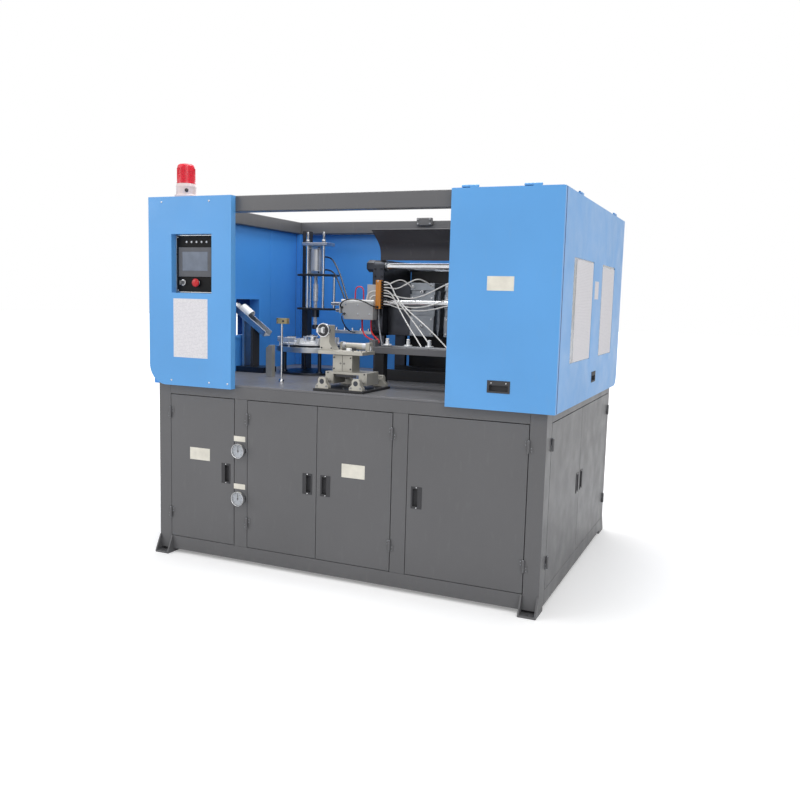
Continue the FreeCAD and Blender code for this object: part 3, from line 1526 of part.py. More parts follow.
def clamp():
    """Frame, tie bars, moving platen, mould halves and the closing cylinder."""
    fixed_right = S.fixed_platen_left + S.fixed_platen_width
    rear_right = S.rear_platen_left + S.rear_platen_width
    front_face, back_face = S.clamp_front, S.clamp_front + S.clamp_depth
    fixed = platen("fixed_platen", S.fixed_platen_left, S.fixed_platen_width)
    rear = platen("rear_platen", S.rear_platen_left, S.rear_platen_width)
    rod_hole = round_bar("rod_hole", (S.rear_platen_left, CLAMP_Y, CLAMP_Z),
                         S.clamp_rod_radius + S.shaft_play, S.rear_platen_width, "X")
    backing = box("mould_backing_block", (fixed_right, S.mould_front, S.mould_low),
                  (S.mould_backing, S.mould_depth, S.mould_high - S.mould_low))
    bed = []
    for y in (front_face + S.platen_chamfer, back_face - S.platen_chamfer - S.bed_rail_depth):
        bed.append(box("bed_rail", (S.fixed_platen_left, y, TABLE),
                       (rear_right - S.fixed_platen_left, S.bed_rail_depth, S.bed_rail_width)))
        for x, width in ((S.fixed_platen_left, S.fixed_platen_width),
                         (S.rear_platen_left, S.rear_platen_width)):
            bed.append(box("bed_column", (x, y, TABLE + S.bed_rail_width),
                           (width, S.bed_rail_depth, S.clamp_low - TABLE - S.bed_rail_width)))
    node("clamp_frame", group("clamp_set", [fixed, cut("rear_platen_cut", rear, [rod_hole]),
                                            backing] + bed))

    bars = []
    length = S.rear_platen_left - fixed_right
    for y, z in tie_bar_places():
        bars.append(round_bar("tie_bar_rod", (fixed_right, y, z), S.tie_bar, length, "X"))
        bars.append(prism("tie_nut_left", (S.fixed_platen_left - S.tie_nut_length, y, z),
                          S.tie_nut, S.tie_nut_length, "X", NUT_SIDES))
        bars.append(prism("tie_nut_right", (rear_right, y, z), S.tie_nut, S.tie_nut_length,
                          "X", NUT_SIDES))
    node("tie_bars", group("tie_bar_set", bars))

    moving = platen("moving_platen_body", S.moving_platen_left, S.moving_platen_width,
                    S.moving_platen_drop)
    bores = [round_bar("tie_bar_bore", (S.moving_platen_left, y, z), S.tie_bar + S.shaft_play,
                       S.moving_platen_width, "X") for y, z in tie_bar_places()]
    carrier_left = S.moving_platen_left - MOVING_BACKING
    carrier = box("moving_backing", (carrier_left, S.mould_front, S.mould_low),
                  (MOVING_BACKING, S.mould_depth, S.mould_high - S.mould_low))
    node("moving_platen", cut("moving_platen_cut", fuse("moving_platen_fused",
                                                        [moving, carrier]), bores))
    mould_half("fixed_mould", PARTING - S.mould_width, PARTING)
    mould_half("moving_mould", PARTING + S.mould_gap, PARTING + S.mould_gap)

    start, total, cap = rear_right, S.clamp_cylinder_length, S.clamp_cylinder_cap
    barrel = rod("clamp_barrel", (start, CLAMP_Y, CLAMP_Z), S.clamp_cylinder_radius, total, "X")
    chamber = round_bar("clamp_chamber", (start + cap, CLAMP_Y, CLAMP_Z), S.clamp_cylinder_bore,
                        total - 2 * cap, "X")
    neck = round_bar("clamp_neck", (start, CLAMP_Y, CLAMP_Z), S.clamp_rod_radius + S.shaft_play,
                     cap, "X")
    node("clamp_cylinder", cut("clamp_cylinder_cut", barrel, [chamber, neck]))

    moving_right = S.moving_platen_left + S.moving_platen_width
    reach = start - moving_right + S.clamp_piston_start
    ram = round_bar("clamp_rod_bar", (moving_right, CLAMP_Y, CLAMP_Z), S.clamp_rod_radius,
                    reach, "X")
    piston = round_bar("clamp_piston_disc", (moving_right + reach, CLAMP_Y, CLAMP_Z),
                       S.clamp_cylinder_bore - S.clamp_piston_play, S.clamp_piston, "X")
    node("clamp_rod", fuse("clamp_rod_fused", [ram, piston]))


CLAMP_Y = S.clamp_front + S.clamp_depth / 2
CLAMP_Z = (S.tie_bar_low + S.tie_bar_high) / 2
PARTING = S.fixed_platen_left + S.fixed_platen_width + S.mould_backing + S.mould_width
MOVING_BACKING = S.moving_platen_left - PARTING - S.mould_gap - S.mould_width


def mould_half(label, left, parting):
    """A mould half: a block with two upright half cavities and front slots."""
    body = new_body(f"{label}_body", (parting, S.mould_front, S.mould_low))
    near = left - parting
    height = S.mould_high - S.mould_low
    base = outline(new_sketch(body, "XY"), rectangle((near, 0), (near + S.mould_width,
                                                                S.mould_depth)))
    block = pad(body, base, height)
    for low, slot in ((S.mould_slot_low, S.mould_slot_low_height),
                      (S.mould_slot_high, S.mould_slot_high_height)):
        groove = outline(new_sketch(body, "XZ"),
                         rectangle((near, low - S.mould_low),
                                   (near + S.mould_width, low - S.mould_low + slot)))
        block = pocket(body, groove, S.mould_slot_depth)
    profile = [(0, 0), (S.cavity_neck, 0), (S.cavity_neck, S.cavity_neck_height),
               (S.cavity_radius, S.cavity_shoulder), (S.cavity_radius, S.cavity_height),
               (0, S.cavity_height)]
    for number in range(2):
        offset = S.cavity_first + number * S.cavity_pitch
        bottle = outline(new_sketch(body, "XZ", -offset), profile)
        body.Tip = turned(body, bottle, groove=True)
    node(label, body)


def clamp_hood():
    """A curved sheet above the clamp that leans forward at its top."""
    body = new_body("hood_body", (S.hood_left, S.hood_y, S.clamp_high))
    rise, lean, sheet_wall = S.hood_rise, S.hood_lean, S.hood_sheet
    bend = S.hood_straight
    profile = [(0, 0), (sheet_wall, 0), (sheet_wall, bend), (sheet_wall - lean, rise),
               (-lean, rise - sheet_wall), (0, bend - sheet_wall)]
    width = S.rear_platen_left + S.rear_platen_width - S.hood_left
    strip = pad(body, outline(new_sketch(body, "YZ"), profile), width)
    outside = round_edges(body, strip, S.hood_bend + S.hood_sheet,
                          along_at("X", ("y", SIZES["hood_sheet"]), ("z", SIZES["hood_straight"])))
    inner_z = SIZES["hood_straight"] - SIZES["hood_sheet"]
    body.Tip = round_edges(body, outside, S.hood_bend, along_at("X", ("y", 0), ("z", inner_z)))
    node("clamp_hood", body)


# ------------------------------------------------------------- air and blowing

def air_manifold():
    """A bar with a column of hose barbs on its right side."""
    x = S.manifold_left
    y = S.clamp_front - S.manifold_depth
    block = box("manifold_block", (x, y, S.manifold_low),
                (S.manifold_width, S.manifold_depth, S.manifold_height))
    barbs = [prism("barb", (x + S.manifold_width, y + S.manifold_depth / 2,
                            S.manifold_low + S.barb_first + number * S.barb_pitch),
                   S.barb_radius, S.barb_length, "X", NUT_SIDES)
             for number in range(BARB_TOTAL)]
    node("air_manifold", fuse("manifold_fused", [block] + barbs))


def blow_beam():
    """Bevelled beam in front of the fixed platen, its pipe, stubs and nozzles."""
    left, right = S.blow_beam_left, S.blow_beam_right
    body = new_body("beam_body", (left, S.clamp_front, S.blow_beam_low))
    span, height = right - left, S.blow_beam_height
    profile = [(S.blow_beam_bevel, 0), (span, 0), (span, height), (0, height)]
    pad(body, outline(new_sketch(body, "XZ"), profile), S.blow_beam_depth)
    top = S.blow_beam_low + height
    front = S.clamp_front - S.blow_beam_depth
    pipe = prism("blow_pipe_bar", (left, front + 2 * S.blow_pipe, top + S.blow_pipe),
                 S.blow_pipe, span, "X")
    bracket_left = right - S.blow_bracket_width
    bracket = box("blow_bracket", (bracket_left, S.clamp_front - S.blow_bracket_sheet, top),
                  (S.blow_bracket_width, S.blow_bracket_sheet, S.blow_bracket_height))
    stub_y = S.clamp_front - S.blow_beam_depth / 2
    end_plate = box("stub_plate", (left - S.blow_bracket_sheet, front, S.blow_beam_low + height / 3),
                    (S.blow_bracket_sheet, S.blow_beam_depth, 2 * height / 3))
    upper_z = top - S.blow_stub
    lower_z = S.blow_beam_low + height / 2
    upper = prism("upper_stub", (left - S.blow_bracket_sheet - S.blow_stub_length, stub_y,
                                 upper_z), S.blow_stub, S.blow_stub_length, "X")
    lower = prism("lower_stub", (left - S.blow_bracket_sheet - S.blow_stub_short, stub_y,
                                 lower_z), S.blow_stub, S.blow_stub_short, "X")
    bar = box("nozzle_bar", (S.nozzle_bar_left, S.clamp_front, S.nozzle_bar_low),
              (S.fixed_platen_left - S.nozzle_bar_left, S.nozzle_bar_depth,
               S.nozzle_bar_height))
    nozzle_z = S.nozzle_bar_low + S.nozzle_bar_height
    nozzles = [prism("nozzle", (S.nozzle_bar_left + (number + 0.5) * S.nozzle_pitch,
                                S.clamp_front + S.nozzle_bar_depth / 2, nozzle_z),
                     S.nozzle_radius, S.nozzle_height, sides=NUT_SIDES)
               for number in range(NOZZLE_TOTAL)]
    beam = fuse("beam_fused", [body, end_plate])
    node("blow_beam", group("blow_set", [beam, pipe, bracket, upper, lower, bar] + nozzles))


# --------------------------------------------------- mandrel rail and its oven

def mandrel_rail():
    """The slotted rail on posts that guides the row of mandrels."""
    length = S.rail_right - S.rail_left
    rail = box("rail_bar", (S.rail_left, S.rail_y, S.rail_low),
               (length, S.rail_width, S.rail_height))
    middle = S.rail_y + S.rail_width / 2
    slot = box("rail_slot_cut", (S.rail_left, middle - S.rail_slot / 2 - S.rail_play,
                                 S.rail_low + S.rail_height - S.rail_slot_depth),
               (length, S.rail_slot + 2 * S.rail_play, S.rail_slot_depth))
    parts = [cut("rail_slotted", rail, [slot])]
    for number in range(3):
        parts.append(box("rail_post_bar", (S.rail_post_first + number * S.rail_post_pitch,
                                           middle - S.rail_post / 2, TABLE),
                         (S.rail_post, S.rail_post, S.rail_low - TABLE)))
    parts.append(box("inlet_block", (S.rail_left, S.inlet_y, S.rail_low + S.rail_height),
                     (S.inlet_length, S.inlet_width, S.inlet_height)))
    node("mandrel_rail", group("rail_set", parts))


def mandrel_carrier():
    """A sliding bar with a tongue below and a row of mandrels above."""
    middle = S.rail_y + S.rail_width / 2
    top = S.rail_low + S.rail_height + S.rail_play + S.carrier_height
    body = new_body("carrier_body", (S.carrier_left, middle, top))
    bar, tongue = S.carrier_width / 2, S.rail_slot / 2
    under, deep = -S.carrier_height, -S.carrier_height - S.rail_slot_depth + S.rail_play
    section = [(-bar, 0), (-bar, under), (-tongue, under), (-tongue, deep), (tongue, deep),
               (tongue, under), (bar, under), (bar, 0)]
    pad(body, outline(new_sketch(body, "YZ"), section), S.carrier_length)
    parts = [body]
    for number in range(MANDREL_TOTAL):
        x = S.carrier_left + S.mandrel_first + number * S.mandrel_pitch
        parts.append(prism("mandrel_flange_disc", (x, middle, top), S.mandrel_flange,
                           S.mandrel_flange_height))
        parts.append(prism("mandrel_knob", (x, middle, top + S.mandrel_flange_height),
                           S.mandrel_radius, S.mandrel_height - S.mandrel_flange_height,
                           sides=NUT_SIDES))
    node("mandrel_carrier", fuse("carrier_fused", parts))


def oven():
    """Heater box behind the rail, its roof, the reflector screen and lamps."""
    left, width = S.oven_left, S.oven_width
    back = box("oven_back", (left, S.oven_back_front, TABLE),
               (width, S.oven_back_depth, S.oven_top - TABLE))
    roof = box("oven_roof_sheet", (left, S.oven_screen_front, S.oven_top),
               (width, S.oven_back_front + S.oven_back_depth - S.oven_screen_front,
                S.oven_roof))
    screen = box("oven_screen_sheet", (left, S.oven_screen_front, S.oven_screen_low),
                 (width, S.oven_screen, S.oven_top - S.oven_screen_low))
    parts = [back, roof, screen]
    lamp_y = S.oven_back_front - S.oven_lamp_stand
    for number in range(LAMP_TOTAL):
        z = S.oven_lamp_first + number * S.oven_lamp_pitch
        parts.append(prism("lamp_tube", (left + S.oven_lamp_clip, lamp_y, z), S.oven_lamp,
                           width - 2 * S.oven_lamp_clip, "X"))
    clip_low = S.oven_lamp_first - 2 * S.oven_lamp
    clip_height = (LAMP_TOTAL - 1) * S.oven_lamp_pitch + 4 * S.oven_lamp
    for x in (left, left + width - S.oven_lamp_clip):
        parts.append(box("lamp_clip", (x, lamp_y - S.oven_lamp, clip_low),
                         (S.oven_lamp_clip, S.oven_back_front - lamp_y + S.oven_lamp,
                          clip_height)))
    node("oven", group("oven_set", parts))


# --------------------------------------------------------------- transfer unit

def shaft_places():
    """The x of the two transfer shafts."""
    left = S.transfer_left + S.bearing_inset + S.bearing_width / 2
    return left, 2 * S.transfer_left + S.transfer_width - left


def transfer_base():
    """Base plate, four shaft supports and the two shafts between them."""
    plate = box("transfer_plate_block", (S.transfer_left, S.transfer_front, TABLE),
                (S.transfer_width, S.transfer_depth, S.transfer_plate))
    parts = [plate]
    above = TABLE + S.transfer_plate
    front = S.transfer_front + S.bearing_inset
    rear = S.transfer_front + S.transfer_depth - S.bearing_inset - S.bearing_depth
    half, top = S.bearing_width / 2, S.bearing_height
    neck, crown = 0.6 * half, 0.4 * half
    shape = [(-half, 0), (half, 0), (half, 0.25 * top), (neck, 0.5 * top), (neck, 0.8 * top),
             (crown, top), (-crown, top), (-neck, 0.8 * top), (-neck, 0.5 * top),
             (-half, 0.25 * top)]
    for x in shaft_places():
        for y in (front, rear):
            support = new_body("shaft_support", (x, y, above))
            pad(support, outline(new_sketch(support, "XZ"), shape), S.bearing_depth,
                backwards=True)
            parts.append(support)
        parts.append(round_bar("transfer_shaft_bar",
                               (x, front + S.bearing_depth, S.transfer_shaft_z),
                               S.transfer_shaft, rear - front - S.bearing_depth, "Y"))
    node("transfer_base", group("transfer_set", parts))


def lift_rod_places():
    """The x and y of the two lift rods."""
    middle = S.lift_block_left + S.lift_block_width / 2
    y = S.carriage_front + S.carriage_length / 2
    return [(middle - S.lift_rod_spacing / 2, y), (middle + S.lift_rod_spacing / 2, y)]


def transfer_carriage():
    """Carriage plate on four sliders, with the guided lift block on top."""
    left_shaft, right_shaft = shaft_places()
    half = S.slider_width / 2
    plate = box("carriage_plate_block", (left_shaft - half, S.carriage_front, S.carriage_low
                                         + S.slider_height / 2),
                (right_shaft - left_shaft + S.slider_width, S.carriage_length,
                 S.carriage_plate))
    parts = [plate]
    tools = []
    for x in (left_shaft, right_shaft):
        low = S.transfer_shaft_z - S.slider_height / 2
        parts.append(box("slider_block", (x - half, S.carriage_front, low),
                         (S.slider_width, S.carriage_length,
                          S.carriage_low + S.slider_height / 2 - low)))
        tools.append(round_bar("slider_bore", (x, S.carriage_front, S.transfer_shaft_z),
                               S.transfer_shaft + S.shaft_play, S.carriage_length, "Y"))
    block_low = S.carriage_low + S.slider_height / 2 + S.carriage_plate
    block_y = S.carriage_front + (S.carriage_length - S.lift_block_depth) / 2
    parts.append(box("lift_block", (S.lift_block_left, block_y, block_low),
                     (S.lift_block_width, S.lift_block_depth, S.lift_block_top - block_low)))
    for x, y in lift_rod_places():
        tools.append(round_bar("lift_bore", (x, y, block_low), S.lift_rod + S.shaft_play,
                               S.lift_block_top - block_low))
    node("transfer_carriage", cut("carriage_cut", fuse("carriage_fused", parts), tools))


def head_centre():
    """The x and y of the turning head's spindle and block."""
    return S.lift_table_left + S.head_block_width / 2, S.lift_table_front


def lift_table():
    """Lifting plate with its rods, the head block and the flip cylinder."""
    table = box("lift_plate", (S.lift_table_left, S.lift_table_front, S.lift_table_low),
                (S.lift_table_width, S.lift_table_depth, S.lift_table_sheet))
    above = S.lift_table_low + S.lift_table_sheet
    centre_x, front = head_centre()
    body = new_body("head_block", (S.lift_table_left, front + S.head_block_depth
                                   + S.flip_thickness, above))
    width, height = S.head_block_width, S.head_block_height
    shape = [(0, 0), (width * 1.5, 0), (width, height / 3), (width, height), (width / 4, height),
             (0, height * 0.85)]
    pad(body, outline(new_sketch(body, "XZ"), shape), S.head_block_depth)
    spindle_hole = rod("spindle_hole", (centre_x, front + S.flip_thickness, S.flip_z),
                       S.flip_spindle + S.shaft_play, S.head_block_depth, "Y")
    head = cut("head_block_cut", body, [spindle_hole])
    rods = [round_bar("lift_rod_bar", (x, y, S.lift_table_low - S.lift_rod_length), S.lift_rod,
                      S.lift_rod_length) for x, y in lift_rod_places()]
    cylinder_y = S.lift_table_front + S.lift_table_depth - S.flip_cap / 2
    cylinder_z = above + S.flip_cap / 2
    cylinder_left = S.lift_table_left + width * 1.5
    cylinder = round_bar("flip_cylinder_bar", (cylinder_left, cylinder_y, cylinder_z),
                         S.flip_cylinder, S.flip_cylinder_length, "X")
    cap = box("flip_cap_block", (cylinder_left + S.flip_cylinder_length,
                                 cylinder_y - S.flip_cap / 2, above),
              (S.flip_cap_length / 2, S.flip_cap, S.flip_cap))
    stop = box("flip_stop_block", (cylinder_left - S.flip_cap_length / 4,
                                   cylinder_y - S.flip_cap / 2, above),
               (S.flip_cap_length / 4, S.flip_cap, S.flip_cap))
    node("lift_table", fuse("lift_fused", [table, head, cylinder, cap, stop] + rods))


def turning_head():
    """A round head with two gripper jaws that turns a preform over."""
    centre_x, front = head_centre()
    disc_front = front - S.flip_play
    disc = round_bar("flip_disc", (centre_x, disc_front, S.flip_z), S.flip_radius,
                     S.flip_thickness, "Y")
    spindle = rod("flip_spindle_bar", (centre_x, disc_front + S.flip_thickness, S.flip_z),
                  S.flip_spindle, S.flip_spindle_length, "Y")
    jaws = []
    for side in (-1, 1):
        middle = centre_x + side * S.flip_jaw_gap / 2
        jaws.append(box("flip_jaw", (middle - S.flip_jaw_width / 2,
                                     disc_front - S.flip_jaw_length, S.flip_z
                                     - S.flip_jaw_width),
                        (S.flip_jaw_width, S.flip_jaw_length, 2 * S.flip_jaw_width)))
    node("turning_head", fuse("flip_fused", [disc, spindle] + jaws))


# -------------------------------------------------------------- flexible tubes

# Points chosen along each tube's route, from one fitting to the other.
ROUTES = {
    "rail tube 1": ("tube_radius", [(969, 684, 1440), (994, 684, 1440), (1030, 652, 1414),
        (1068, 628, 1358), (1152, 590, 1292), (1290, 530, 1210), (1418, 474, 1116),
        (1446, 450, 1096), (1446, 420, 1096)]),
    "mould tube 1": ("tube_radius", [(969, 684, 1425), (994, 684, 1425), (1028, 696, 1446),
        (1070, 694, 1456), (1104, 716, 1430), (1108, 742, 1414), (1108, 770, 1414)]),
    "mould tube 2": ("tube_radius", [(969, 684, 1410), (1000, 684, 1410), (1054, 662, 1402),
        (1116, 642, 1428), (1176, 660, 1464), (1218, 704, 1440), (1222, 740, 1424),
        (1222, 770, 1424)]),
    "rail tube 2": ("tube_radius", [(969, 684, 1395), (994, 684, 1395), (1036, 654, 1366),
        (1084, 618, 1308), (1170, 556, 1216), (1268, 482, 1126), (1300, 450, 1096),
        (1300, 420, 1096)]),
    "oven tube 1": ("tube_radius", [(969, 684, 1380), (1000, 684, 1380), (1068, 672, 1358),
        (1160, 634, 1352), (1262, 590, 1378), (1376, 552, 1430), (1500, 518, 1468),
        (1630, 505, 1470), (1676, 505, 1448), (1676, 505, 1410)]),
    "rail tube 3": ("tube_radius", [(969, 684, 1365), (998, 684, 1365), (1056, 662, 1342),
        (1130, 616, 1286), (1226, 544, 1210), (1330, 476, 1120), (1358, 448, 1096),
        (1358, 420, 1096)]),
    "oven tube 2": ("tube_radius", [(969, 684, 1335), (1000, 684, 1335), (1076, 666, 1312),
        (1176, 624, 1304), (1290, 576, 1319), (1412, 536, 1360), (1540, 508, 1376),
        (1640, 508, 1376)]),
    "oven tube 3": ("tube_radius", [(969, 684, 1320), (1000, 684, 1320), (1074, 662, 1298),
        (1174, 622, 1287), (1290, 578, 1296), (1412, 538, 1326), (1540, 508, 1336),
        (1640, 508, 1336)]),
    "upper press hose": ("hose_radius", [(424, 1000, 1591), (458, 1000, 1591), (516, 956, 1556),
        (596, 888, 1472), (684, 786, 1362), (732, 738, 1312), (732, 700, 1312)]),
    "lower press hose": ("hose_radius", [(424, 1000, 1514), (458, 1000, 1514), (520, 956, 1490),
        (600, 866, 1420), (690, 776, 1322), (744, 738, 1284), (744, 700, 1284)]),
    "red hose 1": ("hose_radius", [(844, 676, 1232), (844, 676, 1202), (868, 636, 1166),
        (916, 580, 1143), (984, 508, 1132), (1050, 446, 1122), (1050, 408, 1122)]),
    "red hose 2": ("hose_radius", [(898, 676, 1232), (898, 676, 1200), (920, 636, 1168),
        (960, 584, 1150), (1010, 520, 1139), (1063, 444, 1122), (1063, 408, 1122)]),
    "arched tube": ("tube_radius", [(798, 676, 1325), (798, 676, 1394), (808, 676, 1408),
        (824, 676, 1413), (840, 676, 1408), (850, 676, 1394), (850, 676, 1325)]),
    "beam tube": ("tube_radius", [(738, 640, 1296), (738, 602, 1296), (766, 588, 1334),
        (822, 604, 1346), (882, 612, 1334), (928, 624, 1308), (940, 640, 1304), (940, 668, 1304)]),
    "nozzle tube": ("tube_radius", [(752, 640, 1262), (752, 608, 1262), (762, 590, 1228),
        (780, 612, 1180), (788, 664, 1159), (788, 700, 1159)]),
    "rail hose": ("hose_radius", [(940, 684, 1294), (940, 684, 1262), (960, 646, 1226),
        (994, 584, 1184), (1036, 516, 1134), (1076, 452, 1096), (1076, 420, 1096)]),
    "bracket tube 1": ("tube_radius", [(864, 684, 1325), (864, 684, 1352), (876, 684, 1380),
        (900, 684, 1390), (925, 684, 1390)]),
    "bracket tube 2": ("tube_radius", [(882, 684, 1325), (882, 684, 1341), (890, 684, 1356),
        (906, 684, 1366), (925, 684, 1366)]),
}


def ring_of(radius, centre, direction):
    """A closed many-sided ring around a point, square to a direction."""
    turn = FreeCAD.Rotation(FreeCAD.Vector(0, 0, 1), direction)
    step = 2 * math.pi / TUBE_SIDES
    corners = [centre + turn.multVec(FreeCAD.Vector(radius * math.cos(number * step),
                                                    radius * math.sin(number * step), 0))
               for number in range(TUBE_SIDES)]
    return Part.makePolygon(corners + corners[:1])


def tube(label, radius, points):
    """One tube along straight runs joined by tangent arcs, as a solid.

    Each arc's radius is a share of the shorter run, divided by the tangent of
    half the turn, so that long runs get long bends.
    """
    corners = [FreeCAD.Vector(*point) for point in points]
    runs = [end - start for start, end in zip(corners, corners[1:])]
    edges, radii = [], []
    last = corners[0]
    for corner, before, after in zip(corners[1:-1], runs, runs[1:]):
        half_turn = before.getAngle(after) / 2
        cut_back = BEND_SHARE * min(before.Length, after.Length)
        radii.append(cut_back / math.tan(half_turn))
        start = corner - FreeCAD.Vector(before).normalize() * cut_back
        end = corner + FreeCAD.Vector(after).normalize() * cut_back
        inward = (start + end) / 2 - corner
        depth = radii[-1] / math.cos(half_turn) - radii[-1]
        middle = corner + inward.normalize() * depth
        edges.append(Part.LineSegment(last, start).toShape())
        edges.append(Part.Arc(start, middle, end).toShape())
        last = end
    edges.append(Part.LineSegment(last, corners[-1]).toShape())
    path = Part.Wire(edges)
    solid = path.makePipeShell([ring_of(radius, corners[0], runs[0])], True, False)
    section = TUBE_SIDES / 2 * radius ** 2 * math.sin(2 * math.pi / TUBE_SIDES)
    share = solid.Volume / (section * path.Length)
    print(f"{label}: length {path.Length:.0f} mm, least bend {min(radii):.0f} mm, "
          f"volume {share:.3f} of section times length")
    return solid


def air_tubes():
    """Air and water tubes of the manifold, the press, the beam and the rail."""
    tubes = []
    for label, (radius_name, points) in ROUTES.items():
        item = doc.addObject("Part::Feature", "air_tube")
        item.Shape = tube(label, SIZES[radius_name], points)
        item.Placement = FreeCAD.Placement(
            FreeCAD.Vector(ORIGIN_X.value, ORIGIN_Y.value, ORIGIN_Z.value),
            FreeCAD.Rotation())
        tubes.append(item)
    node("air_tubes", group("tube_set", tubes))


def check_document():
    """Stop if any object failed or any sub-part has a bad shape."""
    for item in doc.Objects:
        bad = {"Invalid", "Error"} & set(item.State)
        if bad:
            raise RuntimeError(f"{item.Name} ({item.Label}) is {bad}")
    for item in nodes:
        if item.Shape.isNull() or not item.Shape.isValid():
            raise RuntimeError(f"{item.Label} has no valid shape")


def main():
    """Build every sub-part, check the document and write the files."""
    base_cabinet()
    feet()
    doors()
    gauges()
    upper_frame()
    left_front_panel()
    wall_panels()
    cabin_shell()
    front_cover()
    side_cover()
    controls()
    beacon()
    feed_chute()
    star_table()
    star_wheel()
    sensor_posts()
    loading_tower()
    loading_cylinder()
    loading_ram()
    clamp()
    clamp_hood()
    air_manifold()
    blow_beam()
    mandrel_rail()
    mandrel_carrier()
    oven()
    transfer_base()
    transfer_carriage()
    lift_table()
    turning_head()
    air_tubes()
    doc.recompute()
    check_document()
    os.makedirs("parts", exist_ok=True)
    for item in nodes:
        item.Shape.exportStep(f"parts/{item.Label}.step")
    print(f"{len(nodes)} sub-parts")


main()
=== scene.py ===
import json
import logging
import math
from collections.abc import Callable, Sequence
from dataclasses import dataclass, field
from enum import Enum
from itertools import pairwise

import bmesh
import bpy
from mathutils import Matrix, Vector

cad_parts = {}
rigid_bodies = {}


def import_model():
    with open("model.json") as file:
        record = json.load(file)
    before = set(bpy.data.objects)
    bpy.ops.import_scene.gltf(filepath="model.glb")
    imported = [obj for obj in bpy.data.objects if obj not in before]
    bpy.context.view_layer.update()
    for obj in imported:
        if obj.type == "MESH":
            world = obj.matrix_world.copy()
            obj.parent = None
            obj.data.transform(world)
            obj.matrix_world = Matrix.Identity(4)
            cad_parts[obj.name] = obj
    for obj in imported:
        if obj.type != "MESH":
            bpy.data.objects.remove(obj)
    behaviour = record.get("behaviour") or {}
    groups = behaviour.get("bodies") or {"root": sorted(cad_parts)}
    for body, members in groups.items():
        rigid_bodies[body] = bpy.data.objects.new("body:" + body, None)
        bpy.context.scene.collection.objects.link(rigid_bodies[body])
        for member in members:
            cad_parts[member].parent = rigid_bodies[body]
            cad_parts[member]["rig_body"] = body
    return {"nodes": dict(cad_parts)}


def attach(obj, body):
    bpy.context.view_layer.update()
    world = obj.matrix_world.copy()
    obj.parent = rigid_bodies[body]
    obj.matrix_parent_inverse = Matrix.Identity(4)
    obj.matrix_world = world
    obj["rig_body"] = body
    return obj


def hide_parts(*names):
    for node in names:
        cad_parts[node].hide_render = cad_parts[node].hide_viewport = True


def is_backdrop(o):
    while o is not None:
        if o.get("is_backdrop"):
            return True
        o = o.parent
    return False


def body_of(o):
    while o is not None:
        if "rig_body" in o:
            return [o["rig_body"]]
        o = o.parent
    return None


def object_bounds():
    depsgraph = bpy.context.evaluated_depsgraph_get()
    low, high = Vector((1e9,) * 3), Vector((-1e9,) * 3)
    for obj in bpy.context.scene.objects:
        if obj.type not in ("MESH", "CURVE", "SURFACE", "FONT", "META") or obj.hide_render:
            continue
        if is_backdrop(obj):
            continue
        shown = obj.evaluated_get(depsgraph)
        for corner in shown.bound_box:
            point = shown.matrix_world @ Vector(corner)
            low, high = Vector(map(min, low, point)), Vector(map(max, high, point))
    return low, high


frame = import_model()

LOG = logging.getLogger("blow_moulding_machine")
MM = 0.001
# What turns machine millimetres, measured from the base cabinet's lower left front
# corner, into the frame's own origin at the bottom centre of the whole machine.
SHIFT = Vector((-1038.5, -779.0, 20.0))
ROUND_ANGLE = math.radians(50)
STANDING = "machine"
BASE_WIDTH = 2065.0
TABLE = 900.0
WALL_TOP = 1752.0
PANEL_FACE = -37.0
COVER_SIDE = 2105.0
SHEET = 0.5

Pair = tuple[float, float]
Point = tuple[float, float, float]
Colour = tuple[float, float, float, float]
Outline = Sequence[Pair]
Socket = bpy.types.NodeSocket
Thing = bpy.types.Object
Mesh = bpy.types.Mesh
Draft = bmesh.types.BMesh
Face = bmesh.types.BMFace
Places = list[tuple[Point, Point]]

FRONT: Point = (0.0, -1.0, 0.0)
BACK: Point = (0.0, 1.0, 0.0)
LEFT: Point = (-1.0, 0.0, 0.0)
RIGHT: Point = (1.0, 0.0, 0.0)
UP: Point = (0.0, 0.0, 1.0)
DOWN: Point = (0.0, 0.0, -1.0)


def srgb(red: float, green: float, blue: float) -> Colour:
    """Turn a colour as a screen shows it into the shader's own values.

    Args:
        red: The red part, 0 to 255.
        green: The green part, 0 to 255.
        blue: The blue part, 0 to 255.

    Returns:
        The linear colour with full opacity.
    """
    def linear(part: float) -> float:
        """One part on the linear scale."""
        share = part / 255
        return share / 12.92 if share <= 0.04045 else ((share + 0.055) / 1.055) ** 2.4

    return linear(red), linear(green), linear(blue), 1.0


def shade(colour: Colour, factor: float) -> Colour:
    """A colour made darker or lighter by a factor."""
    return tuple(min(1.0, part * factor) for part in colour[:3]) + (1.0,)


def at(point: Sequence[float]) -> Vector:
    """Turn a point in machine millimetres into metres in the frame."""
    return (Vector(point) + SHIFT) * MM


def grid(xs: Sequence[float], ys: Sequence[float], zs: Sequence[float], way: Point) -> Places:
    """A place at every x, y and z that is given, all facing one way."""
    return [((x, y, z), way) for x in xs for y in ys for z in zs]


def both(middle: float, reach: float) -> Pair:
    """The two places at one distance from a middle, the lower first."""
    return middle - reach, middle + reach


# ---- finishes

